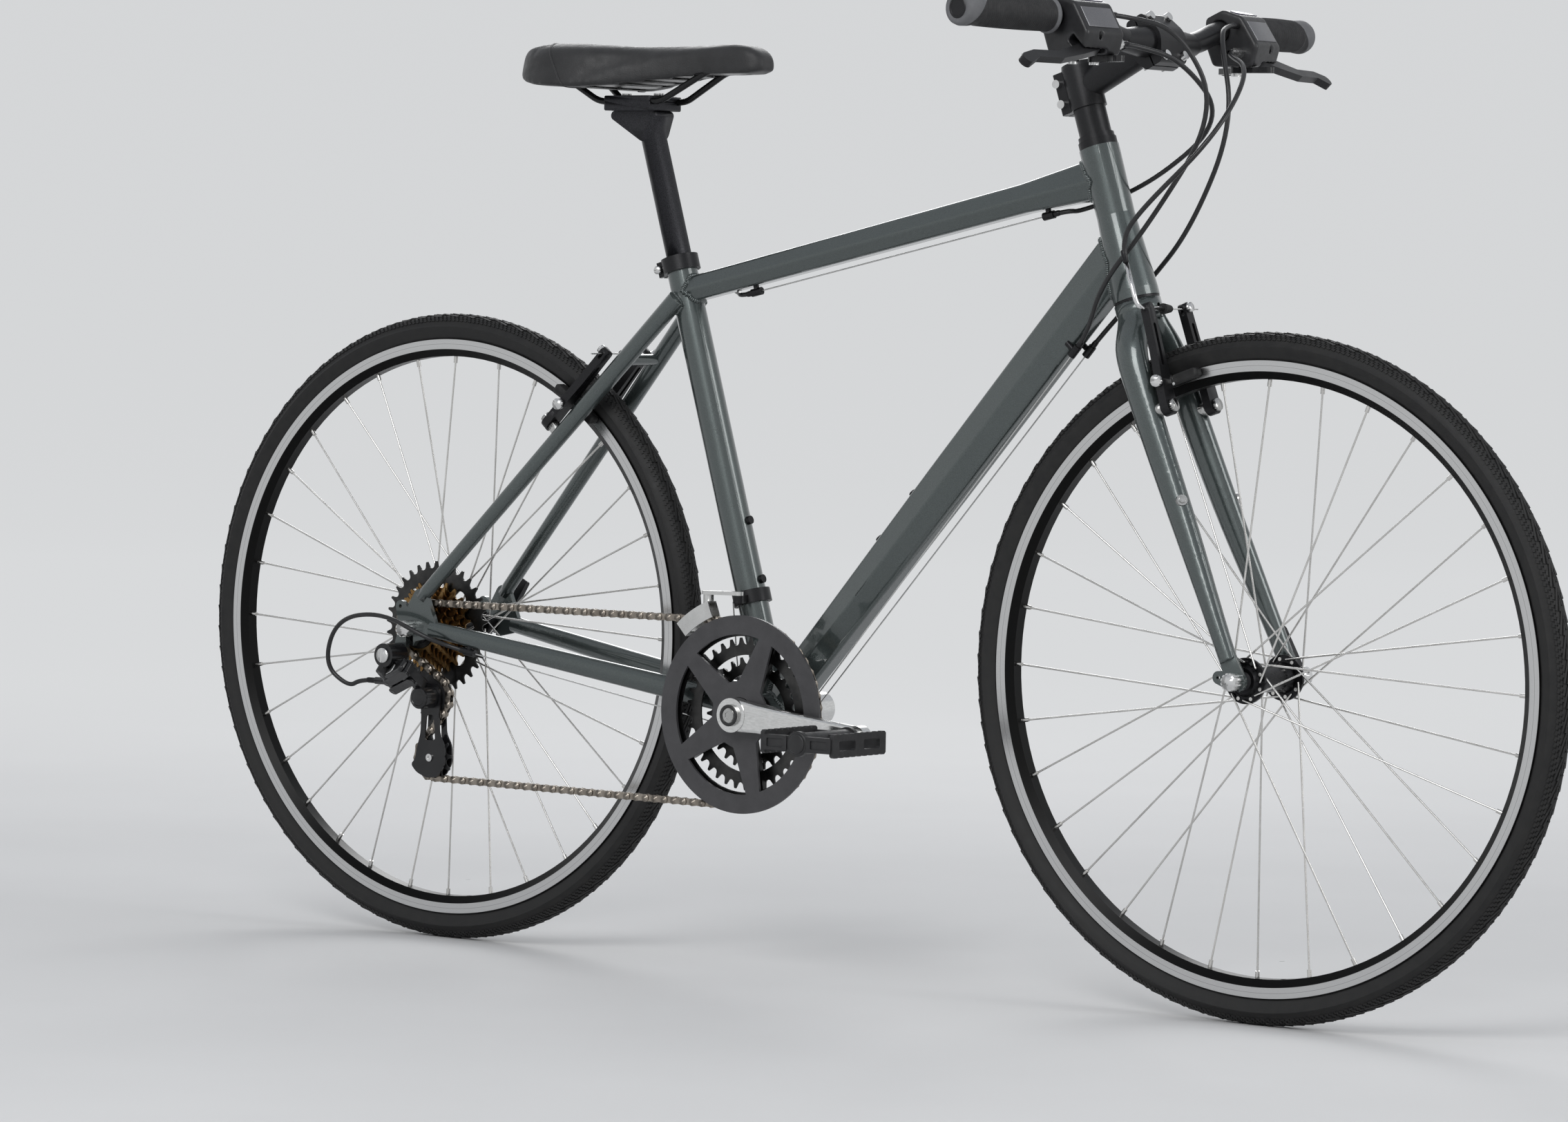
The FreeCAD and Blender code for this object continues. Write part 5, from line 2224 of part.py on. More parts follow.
FRONT_SIDES = (FRONT_FLANGE, FRONT_FLANGE)
REAR_SIDES = (REAR_RIGHT_FLANGE, REAR_LEFT_FLANGE)
for name, axle, sides in (("front", FRONT_AXLE, FRONT_SIDES), ("rear", REAR_AXLE, REAR_SIDES)):
    save(name + "_tyre", *tyre(axle))
    save(name + "_rim", rim(axle, sides))
    save(name + "_spokes", *spokes(axle, sides))
save("front_hub", front_hub())
save("rear_hub", rear_hub())
save("front_axle", *axle_group(FRONT_AXLE, FRONT_AXLE_RADIUS, FRONT_HUB_BORE,
                               (FRONT_HUB_END, FRONT_HUB_END), FORK_INNER,
                               FORK_OUTER, FRONT_QR_TURN))
save("rear_axle", *axle_group(REAR_AXLE, REAR_AXLE_RADIUS, REAR_HUB_BORE, (FREEWHEEL_END, REAR_HUB_END),
                              DROPOUT_INNER,
                              DROPOUT_OUTER, REAR_QR_TURN))
save("qr_lever_front", qr_lever(FRONT_AXLE, FORK_OUTER, FRONT_QR_TURN))
save("qr_lever_rear", qr_lever(REAR_AXLE, DROPOUT_OUTER, REAR_QR_TURN))

save("chain", *chain())
save("sprockets", *freewheel())
save("crank_arms", *crank_arms())
save("chainrings", *chainrings())
save("chain_guard", chain_guard())
save("crank_axles", *crank_axles())
save("pedal_right", pedal(-1))
save("pedal_left", pedal(1))

save("rd_b_knuckle", *b_knuckle())
save("rd_outer_link", swing_link(-LINK_GAP / 2, COVER_DEPTH))
save("rd_inner_link", swing_link(LINK_GAP / 2, WEB_HALF))
save("rd_p_knuckle", p_knuckle())
save("rd_cage", cage())
save("rd_guide_pulley", pulley(GUIDE_CENTRE))
save("rd_tension_pulley", pulley(TENSION_CENTRE))
save("fd_body", fd_body())
save("fd_link", fd_link())
save("fd_cage", fd_cage())

save("front_brake_right", *brake_arm(FRONT_BRAKE, -1, True))
save("front_brake_left", *brake_arm(FRONT_BRAKE, 1, False))
save("rear_brake_right", *brake_arm(REAR_BRAKE, -1, False))
save("rear_brake_left", *brake_arm(REAR_BRAKE, 1, True))

save("stem", *stem())
save("handlebar", handlebar())
save("grips", *grips())
RIGHT_POD = pod()
save("control_bodies", RIGHT_POD, mirrored(RIGHT_POD))
RIGHT_HARDWARE = control_hardware()
save("cockpit_hardware", *stem_bolts(), *RIGHT_HARDWARE, *[mirrored(solid) for solid in RIGHT_HARDWARE])
for name, solid in (("brake_lever", brake_lever()), ("shift_lever", thumb_lever(SHIFT_PIVOT, SHIFT_PLACES)),
                    ("release_lever", thumb_lever(RELEASE_PIVOT, RELEASE_PLACES))):
    save(name + "_right", solid)
    save(name + "_left", mirrored(solid))

save("seat_post", *seat_post())
save("saddle_base", *saddle_base())
save("saddle_cover", saddle_cover())
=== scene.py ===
import json
import math

import bmesh
import bpy
from mathutils import Matrix, Vector
from mathutils.bvhtree import BVHTree


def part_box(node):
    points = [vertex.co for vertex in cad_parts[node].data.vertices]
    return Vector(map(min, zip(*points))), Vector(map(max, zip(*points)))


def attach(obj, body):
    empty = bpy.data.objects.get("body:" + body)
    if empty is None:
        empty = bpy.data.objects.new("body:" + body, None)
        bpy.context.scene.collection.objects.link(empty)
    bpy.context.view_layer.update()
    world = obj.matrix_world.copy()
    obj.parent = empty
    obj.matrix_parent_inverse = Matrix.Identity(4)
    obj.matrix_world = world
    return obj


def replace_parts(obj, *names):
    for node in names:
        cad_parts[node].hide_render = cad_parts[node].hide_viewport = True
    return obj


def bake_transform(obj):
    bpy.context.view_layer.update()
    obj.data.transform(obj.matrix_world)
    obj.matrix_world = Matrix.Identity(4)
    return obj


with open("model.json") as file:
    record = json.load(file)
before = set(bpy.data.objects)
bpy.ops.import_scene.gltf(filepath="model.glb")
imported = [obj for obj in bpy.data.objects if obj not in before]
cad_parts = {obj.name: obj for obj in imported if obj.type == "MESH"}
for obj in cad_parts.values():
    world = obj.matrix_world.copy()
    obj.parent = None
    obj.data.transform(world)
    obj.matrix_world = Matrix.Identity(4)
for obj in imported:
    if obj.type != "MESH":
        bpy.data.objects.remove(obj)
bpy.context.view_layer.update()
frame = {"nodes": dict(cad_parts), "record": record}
nodes = frame["nodes"]


# Frame tubes: drawn aluminium tubes welded into two triangles and sprayed with a metallic lacquer.
# The lacquer is a dark grey-green with fine flake, a faint orange peel and a clear coat on top.
def finish(name, **sockets):
    """A material whose named shader sockets are the same all over the surface."""
    material = bpy.data.materials.new(name)
    material.use_nodes = True
    for socket, value in sockets.items():
        material.node_tree.nodes["Principled BSDF"].inputs[socket.replace("_", " ")].default_value = value
    return material


def step(material, kind, inputs, output=0, **settings):
    """One node of a material, its inputs given as values or fed by other nodes."""
    node = material.node_tree.nodes.new("ShaderNode" + kind)
    for setting, value in settings.items():
        setattr(node, setting, value)
    for place, value in inputs.items():
        if isinstance(value, bpy.types.NodeSocket):
            material.node_tree.links.new(value, node.inputs[place])
        else:
            node.inputs[place].default_value = value
    return node.outputs[output]


def feed(material, **sources):
    """Links sources to the shader's own sockets."""
    shader = material.node_tree.nodes["Principled BSDF"]
    for socket, source in sources.items():
        material.node_tree.links.new(source, shader.inputs[socket.replace("_", " ")])


def place_on(material, stretch=(1, 1, 1), shift=(0, 0, 0)):
    """Object coordinates in metres, shifted and stretched."""
    spot = step(material, "TexCoord", {}, 3)
    return step(material, "Mapping", {"Vector": spot, "Location": shift, "Scale": stretch})


def grain(material, size, detail=3.0, stretch=(1, 1, 1), rough=0.55):
    """Cloudy noise whose spots are about the size given in metres."""
    return step(material, "TexNoise", {"Vector": place_on(material, stretch), "Scale": 1 / size,
                                       "Detail": detail, "Roughness": rough})


def shades(material, value, *stops):
    """Colours or greys along a value, as pairs of place and colour."""
    node = material.node_tree.nodes.new("ShaderNodeValToRGB")
    material.node_tree.links.new(value, node.inputs[0])
    while len(node.color_ramp.elements) < len(stops):
        node.color_ramp.elements.new(0.5)
    for element, (place, colour) in zip(node.color_ramp.elements, stops):
        element.position = place
        element.color = (*colour, 1) if isinstance(colour, tuple) else (colour, colour, colour, 1)
    return node.outputs[0]


def relief(material, height, depth):
    """Bumps of a depth in metres."""
    feed(material, Normal=step(material, "Bump", {"Height": height, "Distance": depth, "Strength": 1.0}))


def toned(material, tone, colours, gloss, roughs, stops=(0.3, 0.7)):
    """Two colours over one pattern and two roughnesses over another."""
    feed(material, Base_Color=shades(material, tone, *zip(stops, colours)),
         Roughness=shades(material, gloss, (0.3, roughs[0]), (0.7, roughs[1])))


def sprayed(name, dark, light, flake=0.0005, rough=(0.3, 0.42), **sockets):
    """Sprayed or anodised metal: flakes of two tones, an uneven gloss and a fine orange peel."""
    gloss_patch, peel, peel_depth = 0.03, 0.0022, 0.00003
    material = finish(name, **sockets)
    toned(material, grain(material, flake, 2.0), (dark, light), grain(material, gloss_patch, 4.0), rough,
          (0.36, 0.66))
    relief(material, grain(material, peel, 2.0), peel_depth)
    return material


def dress(piece, material):
    """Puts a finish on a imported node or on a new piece."""
    if piece.material_slots:
        for holder in piece.material_slots:
            holder.material = material
    else:
        piece.data.materials.append(material)
    return piece


paint = sprayed("frame_lacquer", (0.050, 0.063, 0.062), (0.092, 0.110, 0.108), rough=(0.25, 0.34),
                Metallic=0.6, Coat_Weight=1.0, Coat_Roughness=0.045, Coat_IOR=1.5)
for name in ("head_tube", "top_tube", "down_tube", "seat_tube", "chain_stays"):
    dress(nodes[name], paint)


# Weld beads: where a tube meets the next one the welder leaves a row of overlapping ripples of filler,
# about 5 mm wide, that the lacquer covers. Each bead follows the seam of the two packed tubes.
def new_piece(name, mesh, material, body, smooth=40):
    """A finished mesh as an object that rides on a body, smooth over edges less than so many degrees."""
    if isinstance(mesh, bmesh.types.BMesh):
        made = bpy.data.meshes.new(name)
        mesh.to_mesh(made)
        mesh.free()
        mesh = made
    piece = bpy.data.objects.new(name, mesh)
    bpy.context.collection.objects.link(piece)
    if smooth is not None:
        mesh.polygons.foreach_set("use_smooth", [True] * len(mesh.polygons))
        mesh.set_sharp_from_angle(angle=math.radians(smooth))
    dress(piece, material)
    if body:
        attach(piece, body)
    return piece


def merged(*names):
    """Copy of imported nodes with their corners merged."""
    whole = bmesh.new()
    for name in names:
        whole.from_mesh(nodes[name].data)
    bmesh.ops.remove_doubles(whole, verts=whole.verts, dist=1e-6)
    return whole


def seam_points(tube, other, side=0, count=90, touch=0.0004):
    """Outer edge of a tube where it touches another one, in order round the tube."""
    copy, wall = merged(tube), merged(other)
    tree = BVHTree.FromBMesh(wall)
    spots = [v.co.copy() for v in copy.verts if v.co.y * side >= 0]
    middle = sum(spots, Vector()) / len(spots)
    spots = [spot for spot in spots if tree.find_nearest(spot, touch)[0]]
    centre = sum(spots, Vector()) / len(spots)
    axis = (centre - middle).normalized()
    across = axis.cross(Vector((0, 1, 0))).normalized()
    up = axis.cross(across)
    farthest = {}
    for spot in spots:
        off = spot - centre
        turn = round(math.atan2(off.dot(up), off.dot(across)) / math.tau * count) % count
        reach = (off - axis * off.dot(axis)).length
        if turn not in farthest or reach > farthest[turn][0]:
            farthest[turn] = (reach, spot)
    copy.free()
    wall.free()
    return [farthest[turn][1] for turn in sorted(farthest)]


def standing(spot, axis):
    """The place of a form whose own Z stands along an axis at a spot."""
    return Matrix.Translation(spot) @ axis.to_track_quat("Z", "Y").to_matrix().to_4x4()


def bead(name, tube, other, side=0, width=0.0031, pitch=0.0019, longest_step=0.02):
    """A row of overlapping flattened ripples along a seam, left open where its points lie far apart."""
    points = seam_points(tube, other, side)
    flattened = Matrix.Diagonal((1, 1, 0.5, 1))
    run = bmesh.new()
    left = 0.0
    for start, end in zip(points, points[1:] + points[:1]):
        length = (end - start).length
        if length > longest_step:
            continue
        while left < length:
            place = standing(start.lerp(end, left / length), end - start) @ flattened
            bmesh.ops.create_uvsphere(run, u_segments=10, v_segments=5, radius=width, matrix=place)
            left += pitch
        left -= length
    return new_piece(name, run, paint, "frame", smooth=60)


for joint, tube, other in (("top_head", "top_tube", "head_tube"), ("down_head", "down_tube", "head_tube"),
                           ("top_seat", "top_tube", "seat_tube"), ("down_shell", "down_tube", "seat_tube")):
    bead("weld_" + joint, tube, other)
stay_width, stay_pitch = 0.0023, 0.0015
for side, word in ((-1, "right"), (1, "left")):
    bead("weld_seat_stay_" + word, "seat_stays", "seat_tube", side, stay_width, stay_pitch)
    bead("weld_chain_stay_" + word, "chain_stays", "seat_tube", side, stay_width, stay_pitch)


# Seat stays and fork: two tapered tubes each, with a bridge or crown, in the same lacquer. The brake
# studs are turned steel, welded on and left bare.
def parted(node, body, pieces):
    """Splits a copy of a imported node: each loose solid goes to the first piece whose test takes it.

    A test gets the middle and the spread of a solid in millimetres. A piece with no name is left out.
    """
    whole = merged(node)
    whole.faces.ensure_lookup_table()
    home = [None] * len(whole.faces)
    for face in whole.faces:
        if home[face.index] is not None:
            continue
        island, reach = [face], [face]
        home[face.index] = -1
        while reach:
            for edge in reach.pop().edges:
                for other in edge.link_faces:
                    if home[other.index] is None:
                        home[other.index] = -1
                        island.append(other)
                        reach.append(other)
        spots = [vert.co * 1000 for part in island for vert in part.verts]
        low = [min(spot[axis] for spot in spots) for axis in range(3)]
        high = [max(spot[axis] for spot in spots) for axis in range(3)]
        middle = Vector([(a + b) / 2 for a, b in zip(low, high)])
        spread = Vector([b - a for a, b in zip(low, high)])
        taken = next(number for number, piece in enumerate(pieces) if piece[1](middle, spread))
        for part in island:
            home[part.index] = taken
    made = []
    for number, (name, _, material, slot) in enumerate(pieces):
        if not name:
            continue
        copy = whole.copy()
        copy.faces.ensure_lookup_table()
        others = [face for face in copy.faces if home[face.index] != number]
        bmesh.ops.delete(copy, geom=others, context="FACES")
        piece = new_piece(name, copy, material, body, smooth=32)
        made.append(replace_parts(piece, node))
    whole.free()
    return made


def any_solid(middle, spread):
    """A test that takes what is left."""
    return True


def smaller_than(size):
    """A test that takes the solids less than a size across, in millimetres."""
    return lambda middle, spread: spread.length < size


def brushed(name, dark, light, rough, stretch=(1, 1, 1), streak=0.0016, **sockets):
    """Bare metal with fine streaks from turning or polishing."""
    tone_patch, streak_depth = 0.02, 0.000004
    material = finish(name, Metallic=1.0, **sockets)
    streaks = grain(material, streak, 4.0, stretch)
    toned(material, grain(material, tone_patch, 4.0), (dark, light), streaks, rough)
    relief(material, streaks, streak_depth)
    return material


steel = brushed("turned_steel", (0.42, 0.42, 0.41), (0.56, 0.56, 0.55), (0.2, 0.34))
stud_size, stud_offset = 50, 20
parted("seat_stays", "frame", [
    ("brake_studs_rear", lambda middle, spread: spread.length < stud_size and abs(middle.y) > stud_offset,
     steel, "steel"),
    ("seat_stay_tubes", any_solid, paint, "frame_paint")])
parted("fork", "steering", [
    ("brake_studs_front", smaller_than(stud_size), steel, "steel"),
    ("fork_tubes", any_solid, paint, "frame_paint")])
blades = merged("fork")
blade_surface = BVHTree.FromBMesh(blades)
blades.free()
bosses = bmesh.new()
boss_x, boss_z, clear_of_blade, sunk = 0.457, 0.520, 0.2, 0.001
for side in (-1, 1):
    outside = Vector((boss_x, side * clear_of_blade, boss_z))
    seat, lean = blade_surface.ray_cast(outside, Vector((0, -side, 0)))[:2]
    for low, high, height in ((0.0062, 0.0055, 0.0016), (0.0044, 0.0030, 0.0036)):
        bmesh.ops.create_cone(bosses, cap_ends=True, segments=24, radius1=low, radius2=high,
                              depth=height + sunk, matrix=standing(seat + lean * (height - sunk) / 2, lean))
new_piece("fork_rack_screws", bosses, steel, "steering")


# Bearings and clamps: headset cups, bottom bracket cups and the seat collar are turned aluminium,
# anodised satin black. The collar's bolt is zinc-plated steel.
anodised = sprayed("black_anodised", (0.010, 0.010, 0.011), (0.022, 0.022, 0.024), rough=(0.3, 0.44),
                   Metallic=0.55)
dress(nodes["bearing_cups"], anodised)
zinc = brushed("bright_zinc", (0.62, 0.62, 0.61), (0.74, 0.74, 0.74), (0.16, 0.28))
parted("seat_collar", "frame", [
    ("collar_bolt", smaller_than(30), zinc, "silver"),
    ("collar_band", any_solid, anodised, "black_metal")])


# Cable stops and bottle bolts: small black forgings riveted under the tubes, and dome-headed bolts
# of black steel with a hexagon socket in their heads.
bolt_black = sprayed("black_bolts", (0.016, 0.016, 0.017), (0.034, 0.034, 0.036), rough=(0.26, 0.36),
                     Metallic=0.8)
dress(nodes["frame_fittings"], bolt_black)


# Rims: extruded aluminium hoops, anodised black, whose sides are machined bright for the brake pads.
# The bright track has two fine wear grooves and turning marks that run round the wheel.
hinges = {joint["name"]: joint for joint in frame["record"]["behaviour"]["joints"]}
wheel_centres = {end: Vector(hinges[end + "_wheel_spin"]["pos_m"]) for end in ("front", "rear")}
track_low, track_high = 0.3052, 0.3163
marks_a_metre, mark_depth = 9000.0, 0.000015
for end, centre in wheel_centres.items():
    rim = finish(end + "_rim_metal", Metallic=1.0)
    flat = place_on(rim, (1, 0, 1), (-centre.x, 0, -centre.z))
    radius = step(rim, "VectorMath", {0: flat}, 1, operation="LENGTH")
    share = step(rim, "MapRange", {"Value": radius, "From Min": track_low, "From Max": track_high})
    tone = shades(rim, share, (0.0, 0.012), (0.01, 0.60), (0.49, 0.62), (0.5, 0.16), (0.53, 0.62),
                  (0.965, 0.60), (0.985, 0.016))
    tone_rough = shades(rim, share, (0.0, 0.34), (0.01, 0.26), (0.965, 0.26), (0.985, 0.4))
    outward = step(rim, "CombineXYZ", {0: radius})
    marks = step(rim, "TexNoise", {"Vector": outward, "Scale": marks_a_metre, "Detail": 2.0})
    feed(rim, Base_Color=tone, Roughness=tone_rough)
    relief(rim, marks, mark_depth)
    dress(nodes[end + "_rim"], rim)


# Spokes and hubs: straight steel spokes laced three-cross with brass nipples, plated bright, and
# aluminium hub shells turned and anodised black.
spoke_metal = brushed("drawn_spokes", (0.58, 0.57, 0.55), (0.72, 0.71, 0.69), (0.18, 0.3))
hub_metal = sprayed("hub_anodised", (0.010, 0.010, 0.011), (0.026, 0.026, 0.028), rough=(0.22, 0.34),
                    Metallic=0.8)
for end in wheel_centres:
    dress(nodes[end + "_spokes"], spoke_metal)
    dress(nodes[end + "_hub"], hub_metal)
    parted(end + "_axle", "steering" if end == "front" else "frame", [
        (end + "_axle_ends", smaller_than(40), zinc, "silver"),
        (end + "_axle_rod", any_solid, anodised, "black_metal")])
    dress(nodes["qr_lever_" + end], anodised)


# Tyres: a black rubber casing with smooth sidewalls, and a tread of long slanted bars in the middle and
# small square blocks on the shoulders. The valve stem comes with the tube and stands in the rim.
tyre_rubber = finish("tyre_rubber", Specular_IOR_Level=0.35)
dust = grain(tyre_rubber, 0.012, 5.0)
toned(tyre_rubber, dust, ((0.0095, 0.0095, 0.0098), (0.021, 0.0205, 0.020)), dust, (0.52, 0.7), (0.3, 0.72))
relief(tyre_rubber, grain(tyre_rubber, 0.0007, 3.0), 0.00006)
crown_centre, crown_base, crown_top, lug_root = 0.328, 0.0146, 0.0155, 0.0004
bars = ((5.0, 0.0300, 0.0026, 13.0), (19.0, 0.0280, 0.0024, 16.0))
block_lanes, blocks_a_pitch, lane_shift = (33.0, 43.0, 53.0), 4, 0.3
block_length, block_width, block_lean = 0.0043, 0.0024, 14
pitches = 92
pitch = math.tau * (crown_centre + crown_top) / pitches
valve_reach = 0.3105


def outline(bm, points, closed=False):
    """Corners joined in a row by edges, ready to be spun."""
    verts = [bm.verts.new(point) for point in points]
    ends = verts[1:] + verts[:1] if closed else verts[1:]
    return verts + [bm.edges.new(pair) for pair in zip(verts, ends)]


def spun(bm, geom, centre, axis, count):
    """Spins an outline full circle and closes it on itself."""
    bmesh.ops.spin(bm, geom=geom, cent=centre, axis=axis, angle=math.tau, steps=count, use_merge=True)
    bmesh.ops.remove_doubles(bm, verts=bm.verts, dist=1e-6)
    bmesh.ops.recalc_face_normals(bm, faces=bm.faces)


def tyre_section(bm, centre):
    """Section of the casing, from one bead over the crown to the other and back inside."""
    outer = [(0.3115, -0.0101), (0.3174, -0.0101), (0.3235, -0.0146), (0.330, -0.0165)]
    for turn in range(-72, 73, 12):
        lean = math.radians(turn)
        outer.append((crown_centre + crown_base * math.cos(lean), crown_base * math.sin(lean)))
    outer += [(radius, -across) for radius, across in outer[3::-1]]
    inner = [(0.3115, 0.0076), (0.3174, 0.0076), (0.330, 0.0138), (0.339, 0.0075), (0.3402, 0.0)]
    inner += [(radius, -across) for radius, across in inner[3::-1]]
    return outline(bm, [centre + Vector((0, across, radius)) for radius, across in outer + inner], True)


def lug(bm, centre, turn, slide, length, width, lean):
    """One block of tread: a small prism set on the crown, leaning across the rolling direction."""
    sweep = slide / (crown_centre + crown_top)
    half = (crown_top - crown_base) / 2 + lug_root
    place = (Matrix.Translation(centre) @ Matrix.Rotation(sweep, 4, "Y")
             @ Matrix.Translation((0, 0, crown_centre)) @ Matrix.Rotation(math.radians(-turn), 4, "X")
             @ Matrix.Translation((0, 0, crown_top - half)) @ Matrix.Rotation(math.radians(lean), 4, "Z")
             @ Matrix.Diagonal((length, width, 2 * half, 1)))
    bmesh.ops.create_cube(bm, size=1.0, matrix=place)


for end, centre in wheel_centres.items():
    casing = bmesh.new()
    spun(casing, tyre_section(casing, centre), centre, (0, 1, 0), count=180)
    tyre = new_piece(end + "_tyre_casing", casing, tyre_rubber, end + "_wheel")
    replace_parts(tyre, end + "_tyre")
    tread = bmesh.new()
    for side in (-1, 1):
        for turn, length, width, lean in bars:
            lug(tread, centre, turn * side, pitch / 4 * side, length, width, lean * side)
        for lane, turn in enumerate(block_lanes):
            for number in range(blocks_a_pitch):
                slide = pitch * (number + lane_shift * lane) / blocks_a_pitch
                lug(tread, centre, turn * side, slide, block_length, block_width, block_lean * side)
    bmesh.ops.spin(tread, geom=tread.verts[:] + tread.edges[:] + tread.faces[:], cent=centre, axis=(0, 1, 0),
                   angle=math.tau * (pitches - 1) / pitches, steps=pitches - 1, use_duplicate=True)
    new_piece(end + "_tyre_tread", tread, tyre_rubber, end + "_wheel", smooth=None)
    valve = merged(end + "_tyre")
    far = [vert for vert in valve.verts if (vert.co - centre).length > valve_reach]
    bmesh.ops.delete(valve, geom=far, context="VERTS")
    new_piece(end + "_valve", valve, anodised, end + "_wheel", smooth=35)


# Crankset: forged aluminium arms, polished, pressed on a square steel axle; three stamped steel rings,
# blacked, and a dark grey moulded guard outside them. A black cover ring closes the crank bolt.
polished = finish("polished_alloy", Metallic=1.0)
toned(polished, grain(polished, 0.006, 5.0, (1, 1, 4)), ((0.66, 0.66, 0.65), (0.80, 0.80, 0.79)),
      grain(polished, 0.0012, 3.0, (0.3, 1, 1)), (0.17, 0.27))
relief(polished, grain(polished, 0.004, 2.0), 0.00002)
dress(nodes["crank_arms"], polished)
blacked = brushed("blacked_steel", (0.030, 0.030, 0.031), (0.075, 0.074, 0.072), (0.3, 0.42))
parted("chainrings", "crank", [
    ("ring_bolts", smaller_than(20), steel, "steel"),
    ("ring_plates", any_solid, blacked, "steel")])
dress(nodes["crank_axles"], steel)


def only(kind, parts):
    """The parts of one kind, Vert, Edge or Face, among those that an operator made."""
    return [part for part in parts if isinstance(part, getattr(bmesh.types, "BM" + kind))]


def socket_head(bm, spot, axis, radius, height, key, depth=0.7):
    """A turned bolt head on a spot, with a hexagon socket that goes down a share of its height."""
    top = standing(spot, axis) @ Matrix.Translation((0, 0, height))
    loops = [bmesh.ops.create_circle(bm, segments=count, radius=size, matrix=top)["verts"]
             for count, size in ((24, radius), (6, key))]
    rim, socket = [list(dict.fromkeys(edge for vert in loop for edge in vert.link_edges)) for loop in loops]
    bmesh.ops.bridge_loops(bm, edges=rim + socket)
    for edges, drop in ((rim, height), (socket, height * depth)):
        drawn = bmesh.ops.extrude_edge_only(bm, edges=edges)["geom"]
        bmesh.ops.translate(bm, verts=only("Vert", drawn), vec=-axis * drop)
    bmesh.ops.contextual_create(bm, geom=only("Edge", drawn))
    bmesh.ops.recalc_face_normals(bm, faces=bm.faces)


def turned(bm, profile, spot, axis, count=40):
    """Spins a profile of radius and height round an axis through a spot."""
    place = standing(spot, axis)
    points = [place @ Vector((radius, 0, height)) for radius, height in profile]
    spun(bm, outline(bm, points), spot, axis, count)


crank_centre, arm_face = Vector((-0.07862, 0, 0.276)), 0.0831
cover_profile = ((0.0078, 0.0), (0.0078, 0.0008), (0.0086, 0.0013), (0.0104, 0.0013), (0.0113, 0.0006),
                 (0.0114, -0.001))
cover_black = sprayed("cover_black", (0.010, 0.010, 0.010), (0.020, 0.020, 0.021), rough=(0.3, 0.42))
for side, word in ((-1, "right"), (1, "left")):
    out = Vector((0, side, 0))
    face = crank_centre + out * arm_face
    cover = bmesh.new()
    turned(cover, cover_profile, face, out)
    new_piece("crank_cover_" + word, cover, cover_black, "crank")
    bolt = bmesh.new()
    socket_head(bolt, face, out, radius=0.0070, height=0.0010, key=0.0044)
    new_piece("crank_bolt_" + word, bolt, steel, "crank", smooth=30)


def moulded(name, dark, light, rough=(0.42, 0.56), pebble=0.0008, depth=0.00004, **sockets):
    """Moulded resin: a slightly uneven tone over a fine pebbled skin."""
    tone_patch, gloss_patch = 0.015, 0.004
    material = finish(name, Specular_IOR_Level=0.45, **sockets)
    toned(material, grain(material, tone_patch, 4.0), (dark, light), grain(material, gloss_patch, 3.0), rough)
    relief(material, grain(material, pebble, 2.0), depth)
    return material


guard_resin = moulded("guard_resin", (0.047, 0.046, 0.049), (0.062, 0.061, 0.064), (0.36, 0.48))
dress(nodes["chain_guard"], guard_resin)
drive_side = Vector((0, -1, 0))
guard_face = crank_centre - Vector((0, 0.0615, 0))
ridge_section = ((-0.0016, -0.0002), (-0.0008, 0.0007), (0.0, 0.0009), (0.0008, 0.0007), (0.0016, -0.0002))
ridges = bmesh.new()
for radius in (0.0955, 0.1005):
    turned(ridges, [(radius + across, rise) for across, rise in ridge_section], guard_face, drive_side,
           count=120)
new_piece("guard_ridges", ridges, guard_resin, "crank", smooth=50)


# Chain, sprockets and pulleys: steel links with a brownish plating, six gold-brown sprockets with a large
# blacked one behind them, and two black nylon pulleys. The links on the pulleys and on the lower run are
# two pieces of their own on no body, and the rest stay on the frame.
chain_steel = brushed("plated_chain", (0.23, 0.20, 0.17), (0.40, 0.36, 0.31), (0.26, 0.4), streak=0.004)
pulley_front, pulley_top, ring_foot, run_top = -480, 311, -86, 205


def on_pulleys(middle, spread):
    """A test that takes the links from the sprocket's foot to the lower pulley."""
    return middle.x <= pulley_front and middle.z <= pulley_top


def on_lower_run(middle, spread):
    """A test that takes the links from the lower pulley to the ring's foot."""
    return pulley_front < middle.x < ring_foot and middle.z < run_top


def stretch_of_chain(name, body, test):
    """The links of the chain that a test takes, as one piece."""
    return parted("chain", body, [(name, test, chain_steel, "chain_steel"), (None, any_solid, None, None)])[0]


stretch_of_chain("chain_upper_loop", "frame", lambda middle, spread: not (
    on_pulleys(middle, spread) or on_lower_run(middle, spread)))
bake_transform(stretch_of_chain("chain_lower_run", None, on_lower_run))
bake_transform(stretch_of_chain("chain_on_pulleys", None, on_pulleys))
gold = brushed("browned_sprockets", (0.20, 0.115, 0.045), (0.33, 0.205, 0.085), (0.28, 0.44))
large_across, body_width = 120, 20
parted("sprockets", "freewheel", [
    ("sprocket_large", lambda middle, spread: spread.x > large_across, blacked, "steel"),
    ("sprocket_body", lambda middle, spread: spread.y > body_width, blacked, "steel"),
    ("sprockets_gold", any_solid, gold, "chain_steel")])
nylon = moulded("pulley_nylon", (0.012, 0.012, 0.013), (0.022, 0.022, 0.023))
dress(nodes["rd_guide_pulley"], nylon)
dress(nodes["rd_tension_pulley"], nylon)


